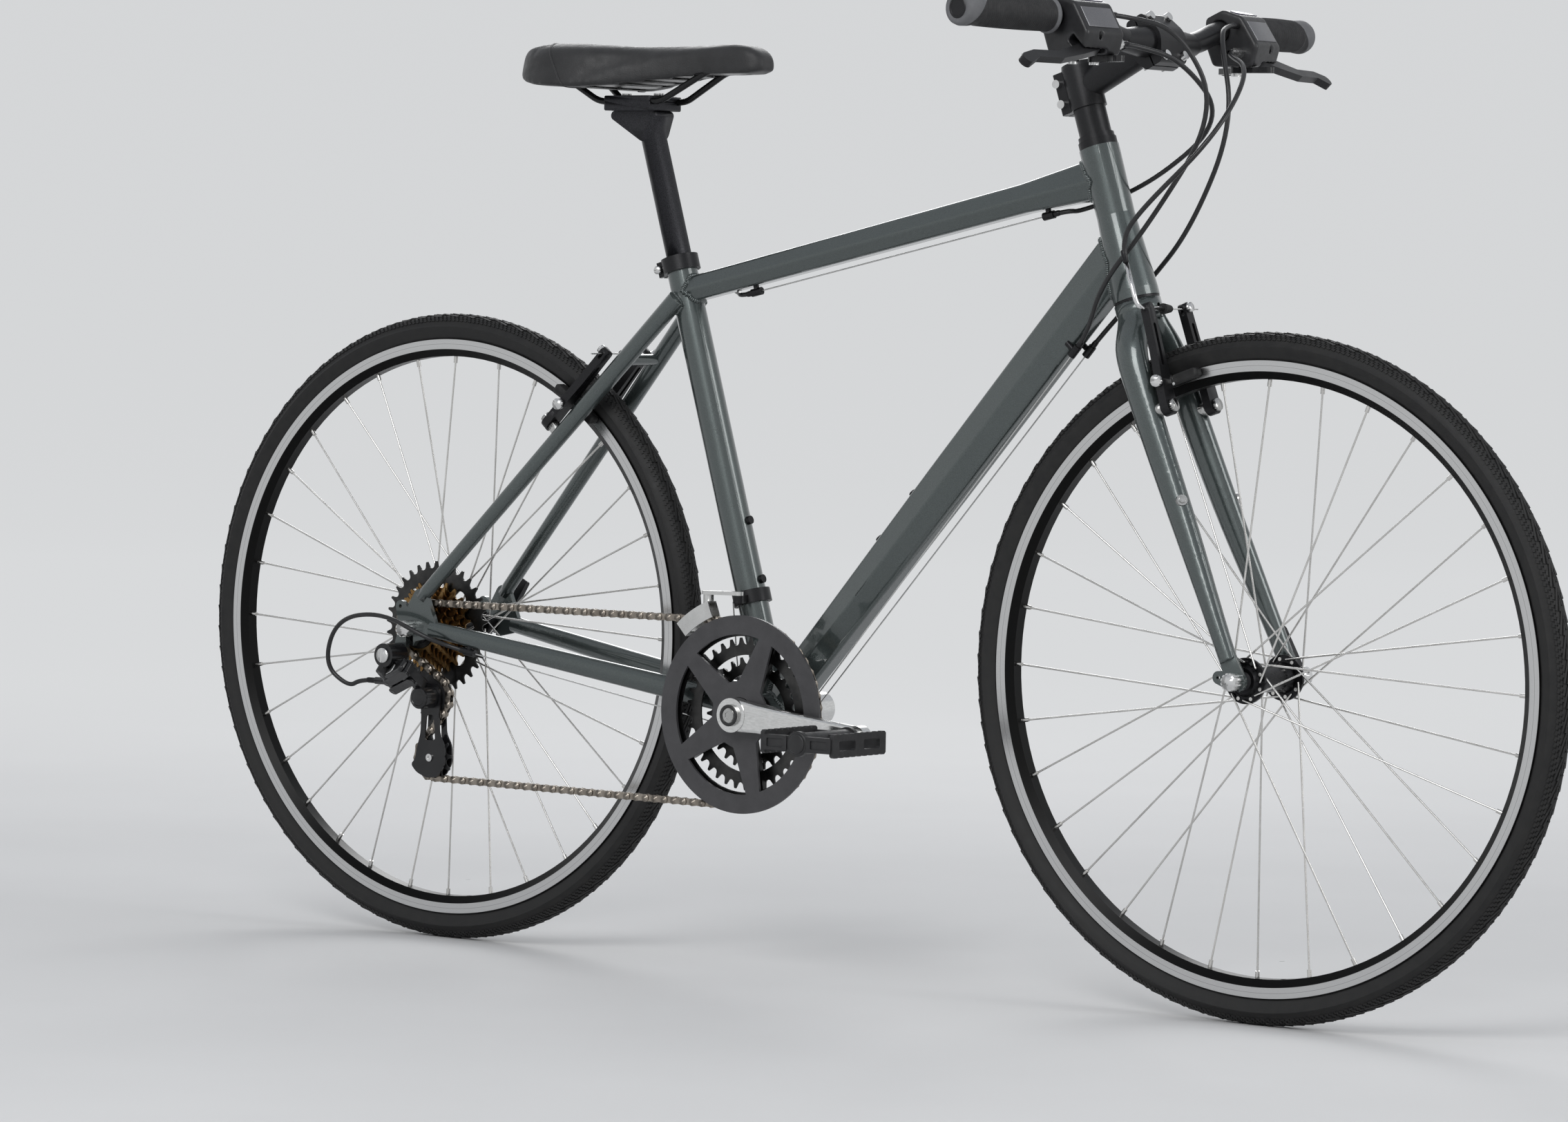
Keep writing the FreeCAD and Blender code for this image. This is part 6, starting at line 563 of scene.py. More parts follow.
# Derailleurs: the rear one is glossy black with a bright outer link plate and a black cage; the front one
# is a black clamp with a bright pressed-steel cage.
gloss_black = moulded("gloss_black", (0.008, 0.008, 0.009), (0.014, 0.014, 0.015), (0.14, 0.24),
                      pebble=0.003, depth=0.00002)
satin_alloy = brushed("satin_alloy", (0.56, 0.56, 0.55), (0.68, 0.68, 0.67), (0.26, 0.36))
bolt_across = 20
parted("rd_b_knuckle", "frame", [
    ("rd_mount_bolt", lambda middle, spread: spread.x < bolt_across, zinc, "silver"),
    ("rd_mount_knuckle", any_solid, gloss_black, "black_metal")])
for name in ("rd_outer_link", "rd_inner_link", "rd_p_knuckle"):
    dress(nodes[name], gloss_black)
dress(nodes["fd_body"], anodised)
dress(nodes["fd_link"], satin_alloy)
dress(nodes["fd_cage"], satin_alloy)
rear_pin, front_pin = [Vector(hinges[name + "_swing"]["pos_m"]) for name in ("rd_outer_link", "rd_p_knuckle")]
link_length = (front_pin - rear_pin).length
along = (front_pin - rear_pin).normalized()
upward = Vector(hinges["rd_outer_link_swing"]["axis"]).normalized()
outward = along.cross(upward)
outward *= -1 if outward.y > 0 else 1
link_turn = Matrix((along, outward, upward)).transposed().to_4x4()
corner_share = 0.62
for name, start, end, low, high, half, round_off, material, slot in (
        ("rd_link_cover", 0.0068, link_length + 0.0052, 0.0050, 0.0094, 0.0084, 0.0021, gloss_black,
         "black_metal"),
        ("rd_link_panel", 0.0092, link_length * 0.62, 0.0086, 0.0101, 0.0056, 0.0006, satin_alloy, "silver")):
    cover = bmesh.new()
    middle = rear_pin + along * (start + end) / 2 + outward * (low + high) / 2
    block = Matrix.Diagonal((end - start, high - low, 2 * half, 1))
    bmesh.ops.create_cube(cover, size=1, matrix=Matrix.Translation(middle) @ link_turn @ block)
    corners = [edge for edge in cover.edges
               if abs((edge.verts[0].co - edge.verts[1].co).normalized().dot(outward)) > 0.9]
    bmesh.ops.bevel(cover, geom=corners, offset=half * corner_share, affect="EDGES", segments=8, profile=0.5,
                    material=-1)
    rims = [edge for edge in cover.edges
            if all(abs((vert.co - rear_pin).dot(outward) - high) < 1e-6 for vert in edge.verts)]
    bmesh.ops.bevel(cover, geom=rims, offset=round_off, affect="EDGES", segments=4, profile=0.5, material=-1)
    bmesh.ops.recalc_face_normals(cover, faces=cover.faces)
    new_piece(name, cover, material, "rd_outer_link")


# Pulley cage: two pressed steel plates, blacked, wide round the lower pulley and waisted above it, with a
# window to save weight. A bolt through each pulley holds the plates together.
def windowed_plate(bm, edges, thickness):
    """A plate between an outer and an inner edge, given as corners and their radius, drawn out."""
    borders = []
    for points, radius in edges:
        verts = [bm.verts.new(point) for point in points]
        others = set(bm.faces)
        bm.faces.new(verts)
        bmesh.ops.bevel(bm, geom=verts, offset=radius, affect="VERTICES", segments=5, profile=0.5,
                        material=-1)
        blank = [face for face in bm.faces if face not in others]
        borders += [edge for face in blank for edge in face.edges]
        bmesh.ops.delete(bm, geom=blank, context="FACES_ONLY")
    sheet = bmesh.ops.triangle_fill(bm, edges=borders, use_beauty=True, use_dissolve=True)["geom"]
    drawn = bmesh.ops.extrude_face_region(bm, geom=only("Face", sheet))["geom"]
    bmesh.ops.translate(bm, verts=only("Vert", drawn), vec=thickness)
    bmesh.ops.recalc_face_normals(bm, faces=bm.faces)


guide, tension = [Vector(hinges["rd_" + name + "_pulley_spin"]["pos_m"]) for name in ("guide", "tension")]
down = (tension - guide).normalized()
ahead = Vector((-down.z, 0, down.x))
ahead *= -1 if ahead.x < 0 else 1
plate_edge = ((-0.015, -0.010), (-0.015, 0.010), (-0.004, 0.0155), (0.020, 0.0125), (0.040, 0.0135),
              (0.052, 0.021), (0.072, 0.0215), (0.0865, 0.012), (0.0885, -0.004), (0.083, -0.019),
              (0.074, -0.0275), (0.070, -0.0215), (0.056, -0.0185), (0.040, -0.0135), (0.020, -0.0125),
              (-0.004, -0.0155))
window_edge = ((0.019, -0.0052), (0.019, 0.0052), (0.047, 0.0075), (0.047, -0.0075))
plate_places, plate_thickness = (-0.0620, -0.0502), 0.0018
plate_face = plate_places[0] - plate_thickness
cage = bmesh.new()
for place in plate_places:
    top = Vector((guide.x, place, guide.z))
    windowed_plate(cage, [([top + down * run + ahead * across for run, across in points], radius)
                          for points, radius in ((plate_edge, 0.0042), (window_edge, 0.0034))],
                   drive_side * plate_thickness)
for spot, radius, outer_end, length in ((guide, 0.0060, -0.0729, 0.0109),
                                        (tension, 0.0025, plate_face, 0.0136)):
    bmesh.ops.create_cone(cage, cap_ends=True, segments=24, radius1=radius, radius2=radius, depth=length,
                          matrix=Matrix.Translation((spot.x, outer_end + length / 2, spot.z))
                          @ Matrix.Rotation(math.pi / 2, 4, "X"))
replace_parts(new_piece("rd_cage_plates", cage, gloss_black, "rd_cage", smooth=35), "rd_cage")
cap_seat = -0.0823
spring_cap = bmesh.new()
turned(spring_cap, ((0.0119, 0.0), (0.0114, 0.0014), (0.0088, 0.0024), (0.0082, 0.0019), (0.0052, 0.0024),
                    (0.0, 0.0027)), Vector((guide.x, cap_seat, guide.z)), drive_side)
new_piece("rd_spring_cap", spring_cap, gloss_black, "rd_p_knuckle")
pulley_bolt = bmesh.new()
socket_head(pulley_bolt, Vector((tension.x, plate_face, tension.z)), drive_side, radius=0.0042, height=0.0018,
            key=0.0020)
new_piece("pulley_bolt", pulley_bolt, zinc, "rd_cage", smooth=30)


# Pedals: black nylon platforms with a toothed cage round an open middle, on steel axles. The outer end has
# two sunk windows and a round cap over the bearing, moulded with the platform.
pedal_nylon = moulded("pedal_nylon", (0.013, 0.013, 0.014), (0.027, 0.027, 0.028), (0.4, 0.55))
window_lip = 0.0013
cap_profile = ((0.0, 0.0021), (0.0090, 0.0021), (0.0098, 0.0014), (0.0098, 0.0008), (0.0112, 0.0008),
               (0.0122, 0.0))
for word, side in (("left", 1), ("right", -1)):
    dress(nodes["pedal_" + word], pedal_nylon)
    low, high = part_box("pedal_" + word)
    end = Vector(((low[0] + high[0]) / 2, high[1] if side > 0 else low[1], (low[2] + high[2]) / 2))
    out = Vector((0, side, 0))
    caps = bmesh.new()
    for sign in (-1, 1):
        edges = []
        for near, far, half, radius in ((0.0125, 0.0433, 0.0078, 0.0022), (0.0175, 0.0375, 0.0044, 0.0012)):
            corners = ((near, -half), (far, -half), (far, half), (near, half))
            edges.append(([end + Vector((sign * run, 0, rise)) for run, rise in corners], radius))
        windowed_plate(caps, edges, out * window_lip)
    turned(caps, cap_profile, end, out)
    new_piece("pedal_end_" + word, caps, pedal_nylon, "pedal_" + word, smooth=35)


# Brakes: black forged arms on the studs, with rubber pads in black holders, bright pad bolts and the
# bright bent tube that brings the cable in.
pad_rubber = moulded("pad_rubber", (0.011, 0.011, 0.011), (0.020, 0.020, 0.020), (0.6, 0.75))
chrome = brushed("bright_tube", (0.68, 0.68, 0.68), (0.80, 0.80, 0.80), (0.1, 0.2))
pad_length, pad_depth, arm_length, arm_depth, noodle_reach = 60, 14, 100, 30, 40
for name in ("front_brake_left", "front_brake_right", "rear_brake_left", "rear_brake_right"):
    groups = [(name + "_pad", lambda middle, spread: spread.length > pad_length and spread.y < pad_depth,
               pad_rubber, "black_resin"),
              (name + "_arm", lambda middle, spread: spread.length > arm_length and spread.y < arm_depth,
               anodised, "black_metal")]
    if name in ("front_brake_right", "rear_brake_left"):
        groups.append((name + "_noodle", lambda middle, spread: spread.y > noodle_reach, chrome, "silver"))
    groups.append((name + "_bolts", any_solid, zinc, "silver"))
    parted(name, name, groups)


# Stem and handlebar: a forged stem and a drawn, bent bar, both aluminium in satin black. Bright socket-head
# bolts clamp the stem on the steerer and its faceplate on the bar.
bar_black = sprayed("bar_black", (0.011, 0.011, 0.012), (0.024, 0.024, 0.026), rough=(0.28, 0.4),
                    Metallic=0.5)
dress(nodes["stem"], bar_black)
dress(nodes["handlebar"], bar_black)
dress(nodes["cockpit_hardware"], zinc)


# Controls: moulded black shells on the bar, with forged black brake levers, round thumb paddles and
# flat release levers.
shell_resin = moulded("shell_resin", (0.012, 0.012, 0.013), (0.024, 0.024, 0.026), (0.3, 0.42))


def settled(piece):
    """Makes what a piece's modifiers show its own mesh."""
    shown = bpy.data.meshes.new_from_object(piece.evaluated_get(bpy.context.evaluated_depsgraph_get()))
    piece.modifiers.clear()
    piece.data = shown


def skinned(piece, size):
    """Covers a piece with an even mesh of small squares."""
    skin = piece.modifiers.new("skin", "REMESH")
    skin.mode = "VOXEL"
    skin.voxel_size = size
    settled(piece)


def softened(piece, times):
    """Rounds a piece's edges off, as the radii of a mould do."""
    form = bmesh.new()
    form.from_mesh(piece.data)
    for _ in range(times):
        bmesh.ops.smooth_vert(form, verts=form.verts, factor=0.5, use_axis_x=True, use_axis_y=True,
                              use_axis_z=True)
    form.to_mesh(piece.data)
    form.free()
    piece.data.polygons.foreach_set("use_smooth", [True] * len(piece.data.polygons))


shells = new_piece("control_shells", merged("control_bodies"), shell_resin, None, smooth=60)
skin_size, rounds = 0.0009, 9
skinned(shells, skin_size)
softened(shells, rounds)
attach(shells, "steering")
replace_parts(shells, "control_bodies")
trim_grey = sprayed("trim_grey", (0.15, 0.15, 0.16), (0.23, 0.23, 0.24), rough=(0.28, 0.38), Metallic=0.7)
smoke = finish("smoked_window", Coat_Weight=1.0, Coat_Roughness=0.04, Specular_IOR_Level=0.6)
toned(smoke, grain(smoke, 0.01, 3.0), ((0.020, 0.014, 0.045), (0.038, 0.026, 0.080)),
      grain(smoke, 0.004, 3.0), (0.12, 0.2))
flat_within, least_area, least_match = 0.02, 0.0005, 0.985
trim_height, trim_round = 0.001, 0.0005
for name, facing, material, slot, margin in (
        ("control_wedges", Vector((0.84, 0, 0.54)), trim_grey, "silver", 0.0045),
        ("control_windows", Vector((0.30, 0, 0.95)), smoke, "black_resin", 0.0050)):
    trim = merged("control_bodies")
    bmesh.ops.dissolve_limit(trim, angle_limit=flat_within, verts=trim.verts, edges=trim.edges)
    others = [face for face in trim.faces
              if face.calc_area() < least_area or face.normal.dot(facing) < least_match]
    bmesh.ops.delete(trim, geom=others, context="FACES")
    border = bmesh.ops.inset_individual(trim, faces=trim.faces[:], thickness=margin)["faces"]
    bmesh.ops.delete(trim, geom=border, context="FACES")
    raised = bmesh.ops.extrude_face_region(trim, geom=trim.faces[:])["geom"]
    bmesh.ops.translate(trim, verts=only("Vert", raised), vec=facing * trim_height)
    rims = [edge for lid in only("Face", raised) for edge in lid.edges]
    bmesh.ops.bevel(trim, geom=rims, offset=trim_round, affect="EDGES", segments=3, profile=0.5, material=-1)
    new_piece(name, trim, material, "steering")
paddle_inset, paddle_radius, paddle_flatness = 0.0075, 0.0078, 0.56
for word in ("left", "right"):
    dress(nodes["brake_lever_" + word], bar_black)
    dress(nodes["shift_lever_" + word], gloss_black)
    dress(nodes["release_lever_" + word], gloss_black)
    low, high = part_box("shift_lever_" + word)
    hub = Vector((low[0] + paddle_inset, low[1] + paddle_inset if word == "right" else high[1] - paddle_inset,
                  (low[2] + high[2]) / 2))
    paddle = bmesh.new()
    bmesh.ops.create_uvsphere(paddle, u_segments=32, v_segments=16, radius=paddle_radius,
                              matrix=Matrix.Translation(hub) @ Matrix.Diagonal((1, 1, paddle_flatness, 1)))
    new_piece("thumb_paddle_" + word, paddle, gloss_black, "shift_lever_" + word, smooth=60)


# Grips: soft black rubber sleeves, finely ribbed in the middle, with a smooth grey rubber end that sweeps
# back along the top, and a grey flange at the inner end.
def grip_finish(name, start, along, length):
    """Black rubber with a grey end that reaches further in along the top, and a grey flange."""
    end_low, end_high, flange_low, flange_high = length - 0.0202, length - 0.0198, 0.0054, 0.0050
    top_reach = Vector((0, 0, 0.72))
    blacks = (0.014, 0.014, 0.015), (0.026, 0.026, 0.027)
    greys = (0.110, 0.112, 0.118), (0.150, 0.152, 0.158)
    material = moulded(name, *blacks, (0.62, 0.78), 0.0006, 0.00004)
    spot = place_on(material, shift=-start)
    run = step(material, "VectorMath", {0: spot, 1: along}, 1, operation="DOT_PRODUCT")
    sweep = step(material, "VectorMath", {0: spot, 1: along + top_reach}, 1, operation="DOT_PRODUCT")
    end = step(material, "MapRange", {"Value": sweep, "From Min": end_low, "From Max": end_high})
    flange = step(material, "MapRange", {"Value": run, "From Min": flange_low, "From Max": flange_high})
    grey_zone = step(material, "Math", {0: end, 1: flange}, operation="MAXIMUM")
    tone = grain(material, 0.015, 4.0)
    black, grey = [shades(material, tone, *zip((0.3, 0.7), pair)) for pair in (blacks, greys)]
    feed(material, Base_Color=step(material, "Mix", {0: grey_zone, 6: black, 7: grey}, 2, data_type="RGBA"))
    return material


wing_root, wing_run = Vector((0.382183, 0, 0.992786)), Vector((-0.024, 0.195, 0.002))
wing_start, grip_start, grip_end = 0.118, 0.180, 0.313


def bar_spot(run, side):
    """A point on the bar's axis, so far from the middle of the bike."""
    spot = wing_root + wing_run * ((run - wing_start) / wing_run.y)
    return Vector((spot.x, run * side, spot.z))


rib_start, rib_margin, rib_pitch, rib_height = 0.0066, 0.026, 0.0027, 0.00045
waist, belly_swell = 0.0156, 0.001
plug_profile = ((0.0, 0.0002), (0.0082, 0.0002), (0.0088, 0.0008), (0.0098, 0.0008), (0.0108, 0.0),
                (0.0108, -0.003))
plug_depth = 0.0006
for side, word in ((-1, "right"), (1, "left")):
    start, end = bar_spot(grip_start, side), bar_spot(grip_end, side)
    along = (end - start).normalized()
    turn = along.to_track_quat("Z", "X").to_matrix().to_4x4()
    length = (end - start).length
    profile = [(0.0, 0.0113), (0.0002, 0.0172), (0.0012, 0.018), (0.0032, 0.018), (0.0046, 0.0168)]
    rib = rib_start
    while rib < length - rib_margin:
        belly = waist + belly_swell * math.sin(math.pi * rib / length)
        profile += [(rib, belly), (rib + 0.0006, belly + rib_height), (rib + 0.0014, belly + rib_height),
                    (rib + 0.002, belly)]
        rib += rib_pitch
    profile += [(length - back, radius) for back, radius in (
        (0.022, 0.0160), (0.014, 0.0172), (0.006, 0.0176), (0.002, 0.0166), (0.0004, 0.0148), (0, 0.012),
        (0.0006, 0.0113), (0.0008, 0.0))]
    sleeve = bmesh.new()
    section = outline(sleeve, [(radius, 0, height) for height, radius in profile])
    spun(sleeve, section, (0, 0, 0), (0, 0, 1), count=56)
    bmesh.ops.transform(sleeve, matrix=Matrix.Translation(start) @ turn, verts=sleeve.verts)
    rubber = grip_finish("grip_rubber_" + word, start, along, length)
    grip = new_piece("grip_" + word, sleeve, rubber, "steering", smooth=50)
    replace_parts(grip, "grips")
    plug = bmesh.new()
    turned(plug, plug_profile, end - along * plug_depth, along)
    new_piece("grip_plug_" + word, plug, bar_black, "steering")


# Seat post: a drawn aluminium tube with a forged cradle and two clamp plates, satin black with a fine
# sparkle, closed by two bright bolts.
post_black = sprayed("post_black", (0.010, 0.010, 0.012), (0.040, 0.040, 0.046), 0.0007, (0.3, 0.44),
                     Metallic=0.6)
parted("seat_post", "seatpost", [
    ("clamp_bolts", smaller_than(40), zinc, "silver"),
    ("post_tube", any_solid, post_black, "black_metal")])


# Saddle: a moulded black shell on two bent steel rails, under a foam pad covered in black vinyl. The
# cover is swollen by the foam, and a welted seam parts its smooth tail panel from the rest.
rail_black = sprayed("rail_black", (0.012, 0.012, 0.012), (0.030, 0.030, 0.031), rough=(0.24, 0.34),
                     Metallic=0.7)
dress(nodes["saddle_base"], rail_black)
vinyl = finish("saddle_vinyl", Specular_IOR_Level=0.4, Sheen_Weight=0.12, Sheen_Roughness=0.5)
toned(vinyl, grain(vinyl, 0.02, 4.0), ((0.0135, 0.0135, 0.0142), (0.023, 0.023, 0.024)),
      grain(vinyl, 0.008, 4.0), (0.44, 0.58))
cells_a_metre, pricks_a_metre, leather_depth = 900.0, 170.0, 0.00014
tail_start, tail_full, crest_start, crest_full = -0.235, -0.245, 0.9735, 0.9745
leather = step(vinyl, "TexVoronoi", {"Vector": place_on(vinyl), "Scale": cells_a_metre}, feature="SMOOTH_F1")
dots = step(vinyl, "TexVoronoi", {"Vector": place_on(vinyl, (1, 1, 0)), "Scale": pricks_a_metre,
                                  "Randomness": 0.0})
forward = step(vinyl, "SeparateXYZ", {0: place_on(vinyl)})
height = step(vinyl, "SeparateXYZ", {0: place_on(vinyl)}, 2)
behind = step(vinyl, "MapRange", {"Value": forward, "From Min": tail_start, "From Max": tail_full})
crest = step(vinyl, "MapRange", {"Value": height, "From Min": crest_start, "From Max": crest_full})
zone = step(vinyl, "Math", {0: behind, 1: crest}, operation="MULTIPLY")
pricks = step(vinyl, "Math", {0: shades(vinyl, dots, (0.14, 1.0), (0.2, 0.0)), 1: zone}, operation="MULTIPLY")
relief(vinyl, step(vinyl, "Math", {0: leather, 1: pricks}, operation="SUBTRACT"), leather_depth)
pad_mesh = merged("saddle_cover")
bmesh.ops.recalc_face_normals(pad_mesh, faces=pad_mesh.faces)
saddle = new_piece("saddle_pad", pad_mesh, vinyl, None, smooth=50)
pad_skin, underside, most_swell, swell_frames, pad_rounds = 0.003, 0.15, 0.0022, 20, 4
skinned(saddle, pad_skin)
before = [vert.co.copy() for vert in saddle.data.vertices]
hold = saddle.vertex_groups.new(name="hold")
hold.add([vert.index for vert in saddle.data.vertices if vert.normal.z < underside], 1.0, "REPLACE")
foam = saddle.modifiers.new("foam", "CLOTH")
foam.settings.use_pressure = True
foam.settings.uniform_pressure_force = 4.0
foam.settings.vertex_group_mass = "hold"
foam.settings.effector_weights.gravity = 0.0
for number in range(swell_frames):
    bpy.context.scene.frame_set(number + 1)
settled(saddle)
for vert, rest in zip(saddle.data.vertices, before):
    move = vert.co - rest
    vert.co = rest + move * min(1.0, most_swell / max(move.length, 1e-9))
bpy.context.scene.frame_set(1)
softened(saddle, pad_rounds)
pad_form = bmesh.new()
pad_form.from_mesh(saddle.data)
cover_surface = BVHTree.FromBMesh(pad_form)
pad_form.free()
finer = saddle.modifiers.new("finer", "SUBSURF")
finer.levels = finer.render_levels = 1
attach(saddle, "seatpost")
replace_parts(saddle, "saddle_cover")


def line_of(name, points, radius=0.0):
    """A smooth line through the air along control points, or a tube round it."""
    curve = bpy.data.curves.new(name, "CURVE")
    curve.dimensions = "3D"
    curve.bevel_depth = radius
    curve.bevel_resolution = 4
    curve.use_fill_caps = True
    curve.resolution_u = 10
    run = curve.splines.new("NURBS")
    run.points.add(len(points) - 1)
    for spot, point in zip(run.points, points):
        spot.co = (*point, 1)
    run.order_u = 3
    run.use_endpoint_u = True
    return curve


def as_mesh(curve):
    """A curve's shape as a mesh."""
    holder = bpy.data.objects.new(curve.name, curve)
    bpy.context.collection.objects.link(holder)
    mesh = bpy.data.meshes.new_from_object(holder.evaluated_get(bpy.context.evaluated_depsgraph_get()))
    bpy.data.objects.remove(holder)
    return mesh


seam_reach, seam_x, seam_sweep, seam_z, clear_of_pad, welt_radius = 116, -0.390, 0.072, 0.957, 0.2, 0.0012
seam = []
for degrees in range(-seam_reach, seam_reach + 1, 4):
    away = Vector((0, math.sin(math.radians(degrees)), math.cos(math.radians(degrees))))
    heart = Vector((seam_x + seam_sweep * (abs(degrees) / seam_reach) ** 1.4, 0, seam_z))
    hit = cover_surface.ray_cast(heart + away * clear_of_pad, -away)[0]
    if hit:
        seam.append(hit)
welt = as_mesh(line_of("saddle_welt", seam, welt_radius))
new_piece("saddle_welt", welt, vinyl, "seatpost", smooth=60)


# Cables: black housings with a plastic skin over a steel coil, bare steel wires between the stops, and the
# ribbed rubber boots on the brake wires. A housing that crosses the head tube is left on no body, with its
# first ferrule on the bars and its last on the frame.
housing_skin = moulded("housing_skin", (0.012, 0.012, 0.013), (0.021, 0.021, 0.022), (0.3, 0.4))
bare_wire = brushed("bare_wire", (0.52, 0.52, 0.51), (0.66, 0.66, 0.65), (0.24, 0.36))
housing_radius = 0.0025
housings = {
    "rear_brake": (
        (0.40811, -0.10419, 0.96857), (0.41079, -0.08236, 0.96835), (0.440, -0.040, 0.955),
        (0.438, 0.044, 0.900), (0.352, 0.046, 0.836), (0.286, 0.016, 0.806), (0.2791, 0, 0.80621),
        (0.25763, 0, 0.80141)),
    "front_brake": (
        (0.40811, 0.10419, 0.96857), (0.41079, 0.08236, 0.96835), (0.470, 0.040, 0.950),
        (0.480, -0.040, 0.880), (0.404, -0.057, 0.806), (0.37892, -0.052, 0.77554),
        (0.38572, -0.052, 0.75462)),
    "rear_gear": (
        (0.4023, -0.1183, 0.99676), (0.40498, -0.09647, 0.99654), (0.446, -0.056, 0.985),
        (0.474, -0.024, 0.905), (0.402, -0.040, 0.790), (0.348, -0.040, 0.732), (0.31517, -0.01327, 0.68159),
        (0.30074, -0.01307, 0.66499)),
    "front_gear": (
        (0.4023, 0.1183, 0.99676), (0.40498, 0.09647, 0.99654), (0.424, 0.052, 0.985), (0.462, 0.022, 0.895),
        (0.404, 0.038, 0.790), (0.350, 0.040, 0.732), (0.31517, 0.01327, 0.68159),
        (0.30074, 0.01307, 0.66499)),
    "rear_noodle": (
        (-0.11518, 0, 0.71795), (-0.13664, 0, 0.71314), (-0.156, 0.024, 0.718), (-0.222, 0.046, 0.732),
        (-0.272, 0.054, 0.716), (-0.24312, 0.052, 0.70064), (-0.25805, 0.052, 0.68448)),
    "rear_loop": (
        (-0.44894, -0.06504, 0.32201), (-0.47023, -0.06853, 0.32631), (-0.490, -0.094, 0.338),
        (-0.545, -0.099, 0.362), (-0.612, -0.097, 0.352), (-0.636, -0.090, 0.300), (-0.606, -0.082, 0.276),
        (-0.5921, -0.078, 0.285), (-0.5701, -0.078, 0.285)),
}
crossing = {"rear_brake": ((0.435, 0, 0.93), (0.30, 0, 0.81)),
            "rear_gear": ((0.46, 0, 0.93), (0.33, 0, 0.70)),
            "front_gear": ((0.46, 0, 0.93), (0.33, 0, 0.70))}
ferrule_profile = ((0.0008, -0.0005), (0.0027, -0.0005), (0.0031, 0.0), (0.0031, 0.010), (0.0028, 0.012),
                   (0.0024, 0.0125))
for name, points in housings.items():
    path = [vert.co.copy() for vert in as_mesh(line_of(name + "_line", points)).vertices]
    length = sum((b - a).length for a, b in zip(path, path[1:]))
    body = "steering" if name in crossing or name == "front_brake" else "frame"
    housing = new_piece(name + "_housing", as_mesh(line_of(name, points, housing_radius)), housing_skin,
                        None if name in crossing else body, smooth=50)
    if name in crossing:
        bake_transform(housing)
    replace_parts(housing, "cable_housings")
    last = "frame" if name in crossing else body
    for spot, ahead, holder, word in ((points[0], points[1], body, "start"),
                                      (points[-1], points[-2], last, "end")):
        inward = (Vector(ahead) - Vector(spot)).normalized()
        sleeve = bmesh.new()
        turned(sleeve, ferrule_profile, Vector(spot), inward, count=20)
        new_piece(name + "_ferrule_" + word, sleeve, anodised, holder)
dress(nodes["inner_cables"], bare_wire)
boot_rubber = moulded("boot_rubber", (0.010, 0.010, 0.010), (0.018, 0.018, 0.018), (0.55, 0.7))
near, boot_length, wire_across = 1, 80, 3
for end, body, boot_x in (("front", "front_brake_right", 400.6), ("rear", "rear_brake_left", -290.7)):
    parted("cable_housings", body, [
        (None, lambda middle, spread: abs(middle.x - boot_x) > near or spread.length > boot_length,
         None, None),
        (end + "_brake_wire", lambda middle, spread: spread.x < wire_across, bare_wire, "steel"),
        (end + "_brake_boot", any_solid, boot_rubber, "black_resin")])


# Studio: a pale seamless sweep, two large soft boxes and a soft sky. The camera stands where the
# photographer stood, low on the drive side and ahead of the bike.
floor_tone = finish("floor_paper", Roughness=0.9, Specular_IOR_Level=0.2,
                    Emission_Color=(0.66, 0.67, 0.68, 1))
wall_start, wall_full = 1.2, 4.5
away = step(floor_tone, "VectorMath", {0: place_on(floor_tone)}, 1, operation="LENGTH")
wall = step(floor_tone, "MapRange", {"Value": away, "From Min": wall_start, "From Max": wall_full},
            interpolation_type="SMOOTHSTEP")
by_camera, by_mirror = [step(floor_tone, "LightPath", {}, output) for output in (0, 3)]
seen = step(floor_tone, "Math", {0: by_camera, 1: by_mirror}, operation="MAXIMUM")
glow = step(floor_tone, "Math", {0: wall, 1: seen}, operation="MULTIPLY")
paper = shades(floor_tone, grain(floor_tone, 0.6, 3.0), (0.3, 0.66), (0.7, 0.69))
unlit = step(floor_tone, "Mix", {0: glow, 6: paper, 7: (0, 0, 0, 1)}, 2, data_type="RGBA")
feed(floor_tone, Emission_Strength=glow, Base_Color=unlit)
flat_radius, bend_radius, wall_top = 9.0, 3.0, 7.0
rise = [(0.0, 0.0), (flat_radius, 0.0)]
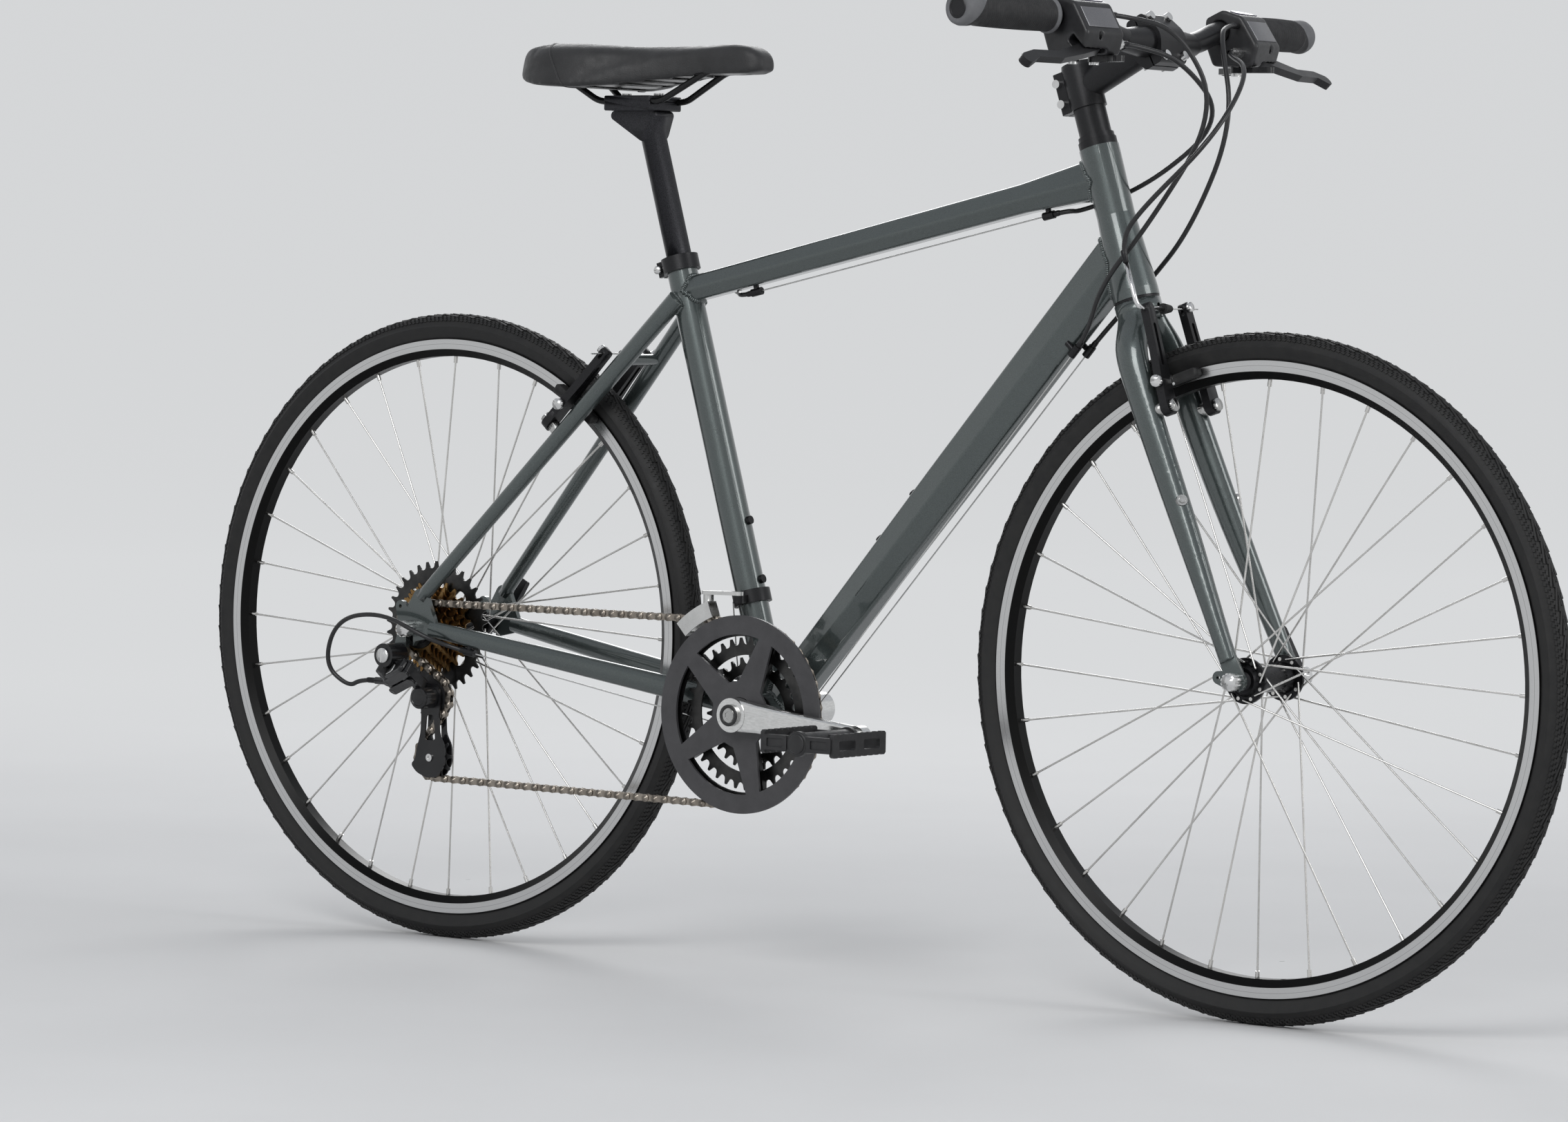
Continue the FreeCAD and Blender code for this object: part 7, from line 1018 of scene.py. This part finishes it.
for degrees in range(10, 91, 10):
    bend = math.radians(degrees)
    rise.append((flat_radius + bend_radius * math.sin(bend), bend_radius - bend_radius * math.cos(bend)))
rise.append((flat_radius + bend_radius, wall_top))
sweep = bmesh.new()
section = outline(sweep, [(radius, 0, height) for radius, height in rise])
spun(sweep, section, (0, 0, 0), (0, 0, 1), count=96)
new_piece("studio_sweep", sweep, floor_tone, None, smooth=60)

world = bpy.data.worlds.new("soft_sky")
world.use_nodes = True
world.node_tree.nodes["Background"].inputs["Color"].default_value = (0.92, 0.95, 1.0, 1)
world.node_tree.nodes["Background"].inputs["Strength"].default_value = 0.55
bpy.context.scene.world = world
for name, place, aim, size, power in (("key_box", (1.2, -4.4, 3.6), (0, 0, 0.5), 2.6, 120.0),
                                      ("side_box", (4.6, 0.6, 2.2), (0, 0, 0.5), 2.2, 60.0),
                                      ("back_box", (-2.6, 3.6, 3.0), (0, 0, 0.6), 2.4, 80.0)):
    lamp = bpy.data.lights.new(name, "AREA")
    lamp.size = size
    lamp.energy = power
    box = bpy.data.objects.new(name, lamp)
    facing = (Vector(aim) - Vector(place)).to_track_quat("-Z", "Y").to_matrix().to_4x4()
    box.matrix_world = Matrix.Translation(place) @ facing
    bpy.context.collection.objects.link(box)

turn, climb, roll = math.radians(36.890), math.radians(2.729), math.radians(1.053)
camera_spot, focal_pixels, photo_pixels, sensor = (3.51434, -4.77857, 0.72034), 8217.4, 2270, 36.0
back = Vector((math.sin(turn) * math.cos(climb), -math.cos(turn) * math.cos(climb), math.sin(climb)))
right = Vector((0, 0, 1)).cross(back).normalized()
up = back.cross(right)
right, up = right * math.cos(roll) + up * math.sin(roll), up * math.cos(roll) - right * math.sin(roll)
camera = bpy.data.objects.new("photo_camera", bpy.data.cameras.new("photo_camera"))
camera.data.sensor_width = sensor
camera.data.lens = focal_pixels / photo_pixels * sensor
camera.data.clip_end = 60.0
camera.matrix_world = Matrix.Translation(camera_spot) @ Matrix((right, up, back)).transposed().to_4x4()
bpy.context.collection.objects.link(camera)
bpy.context.scene.camera = camera
bpy.context.scene.view_settings.view_transform = "Standard"
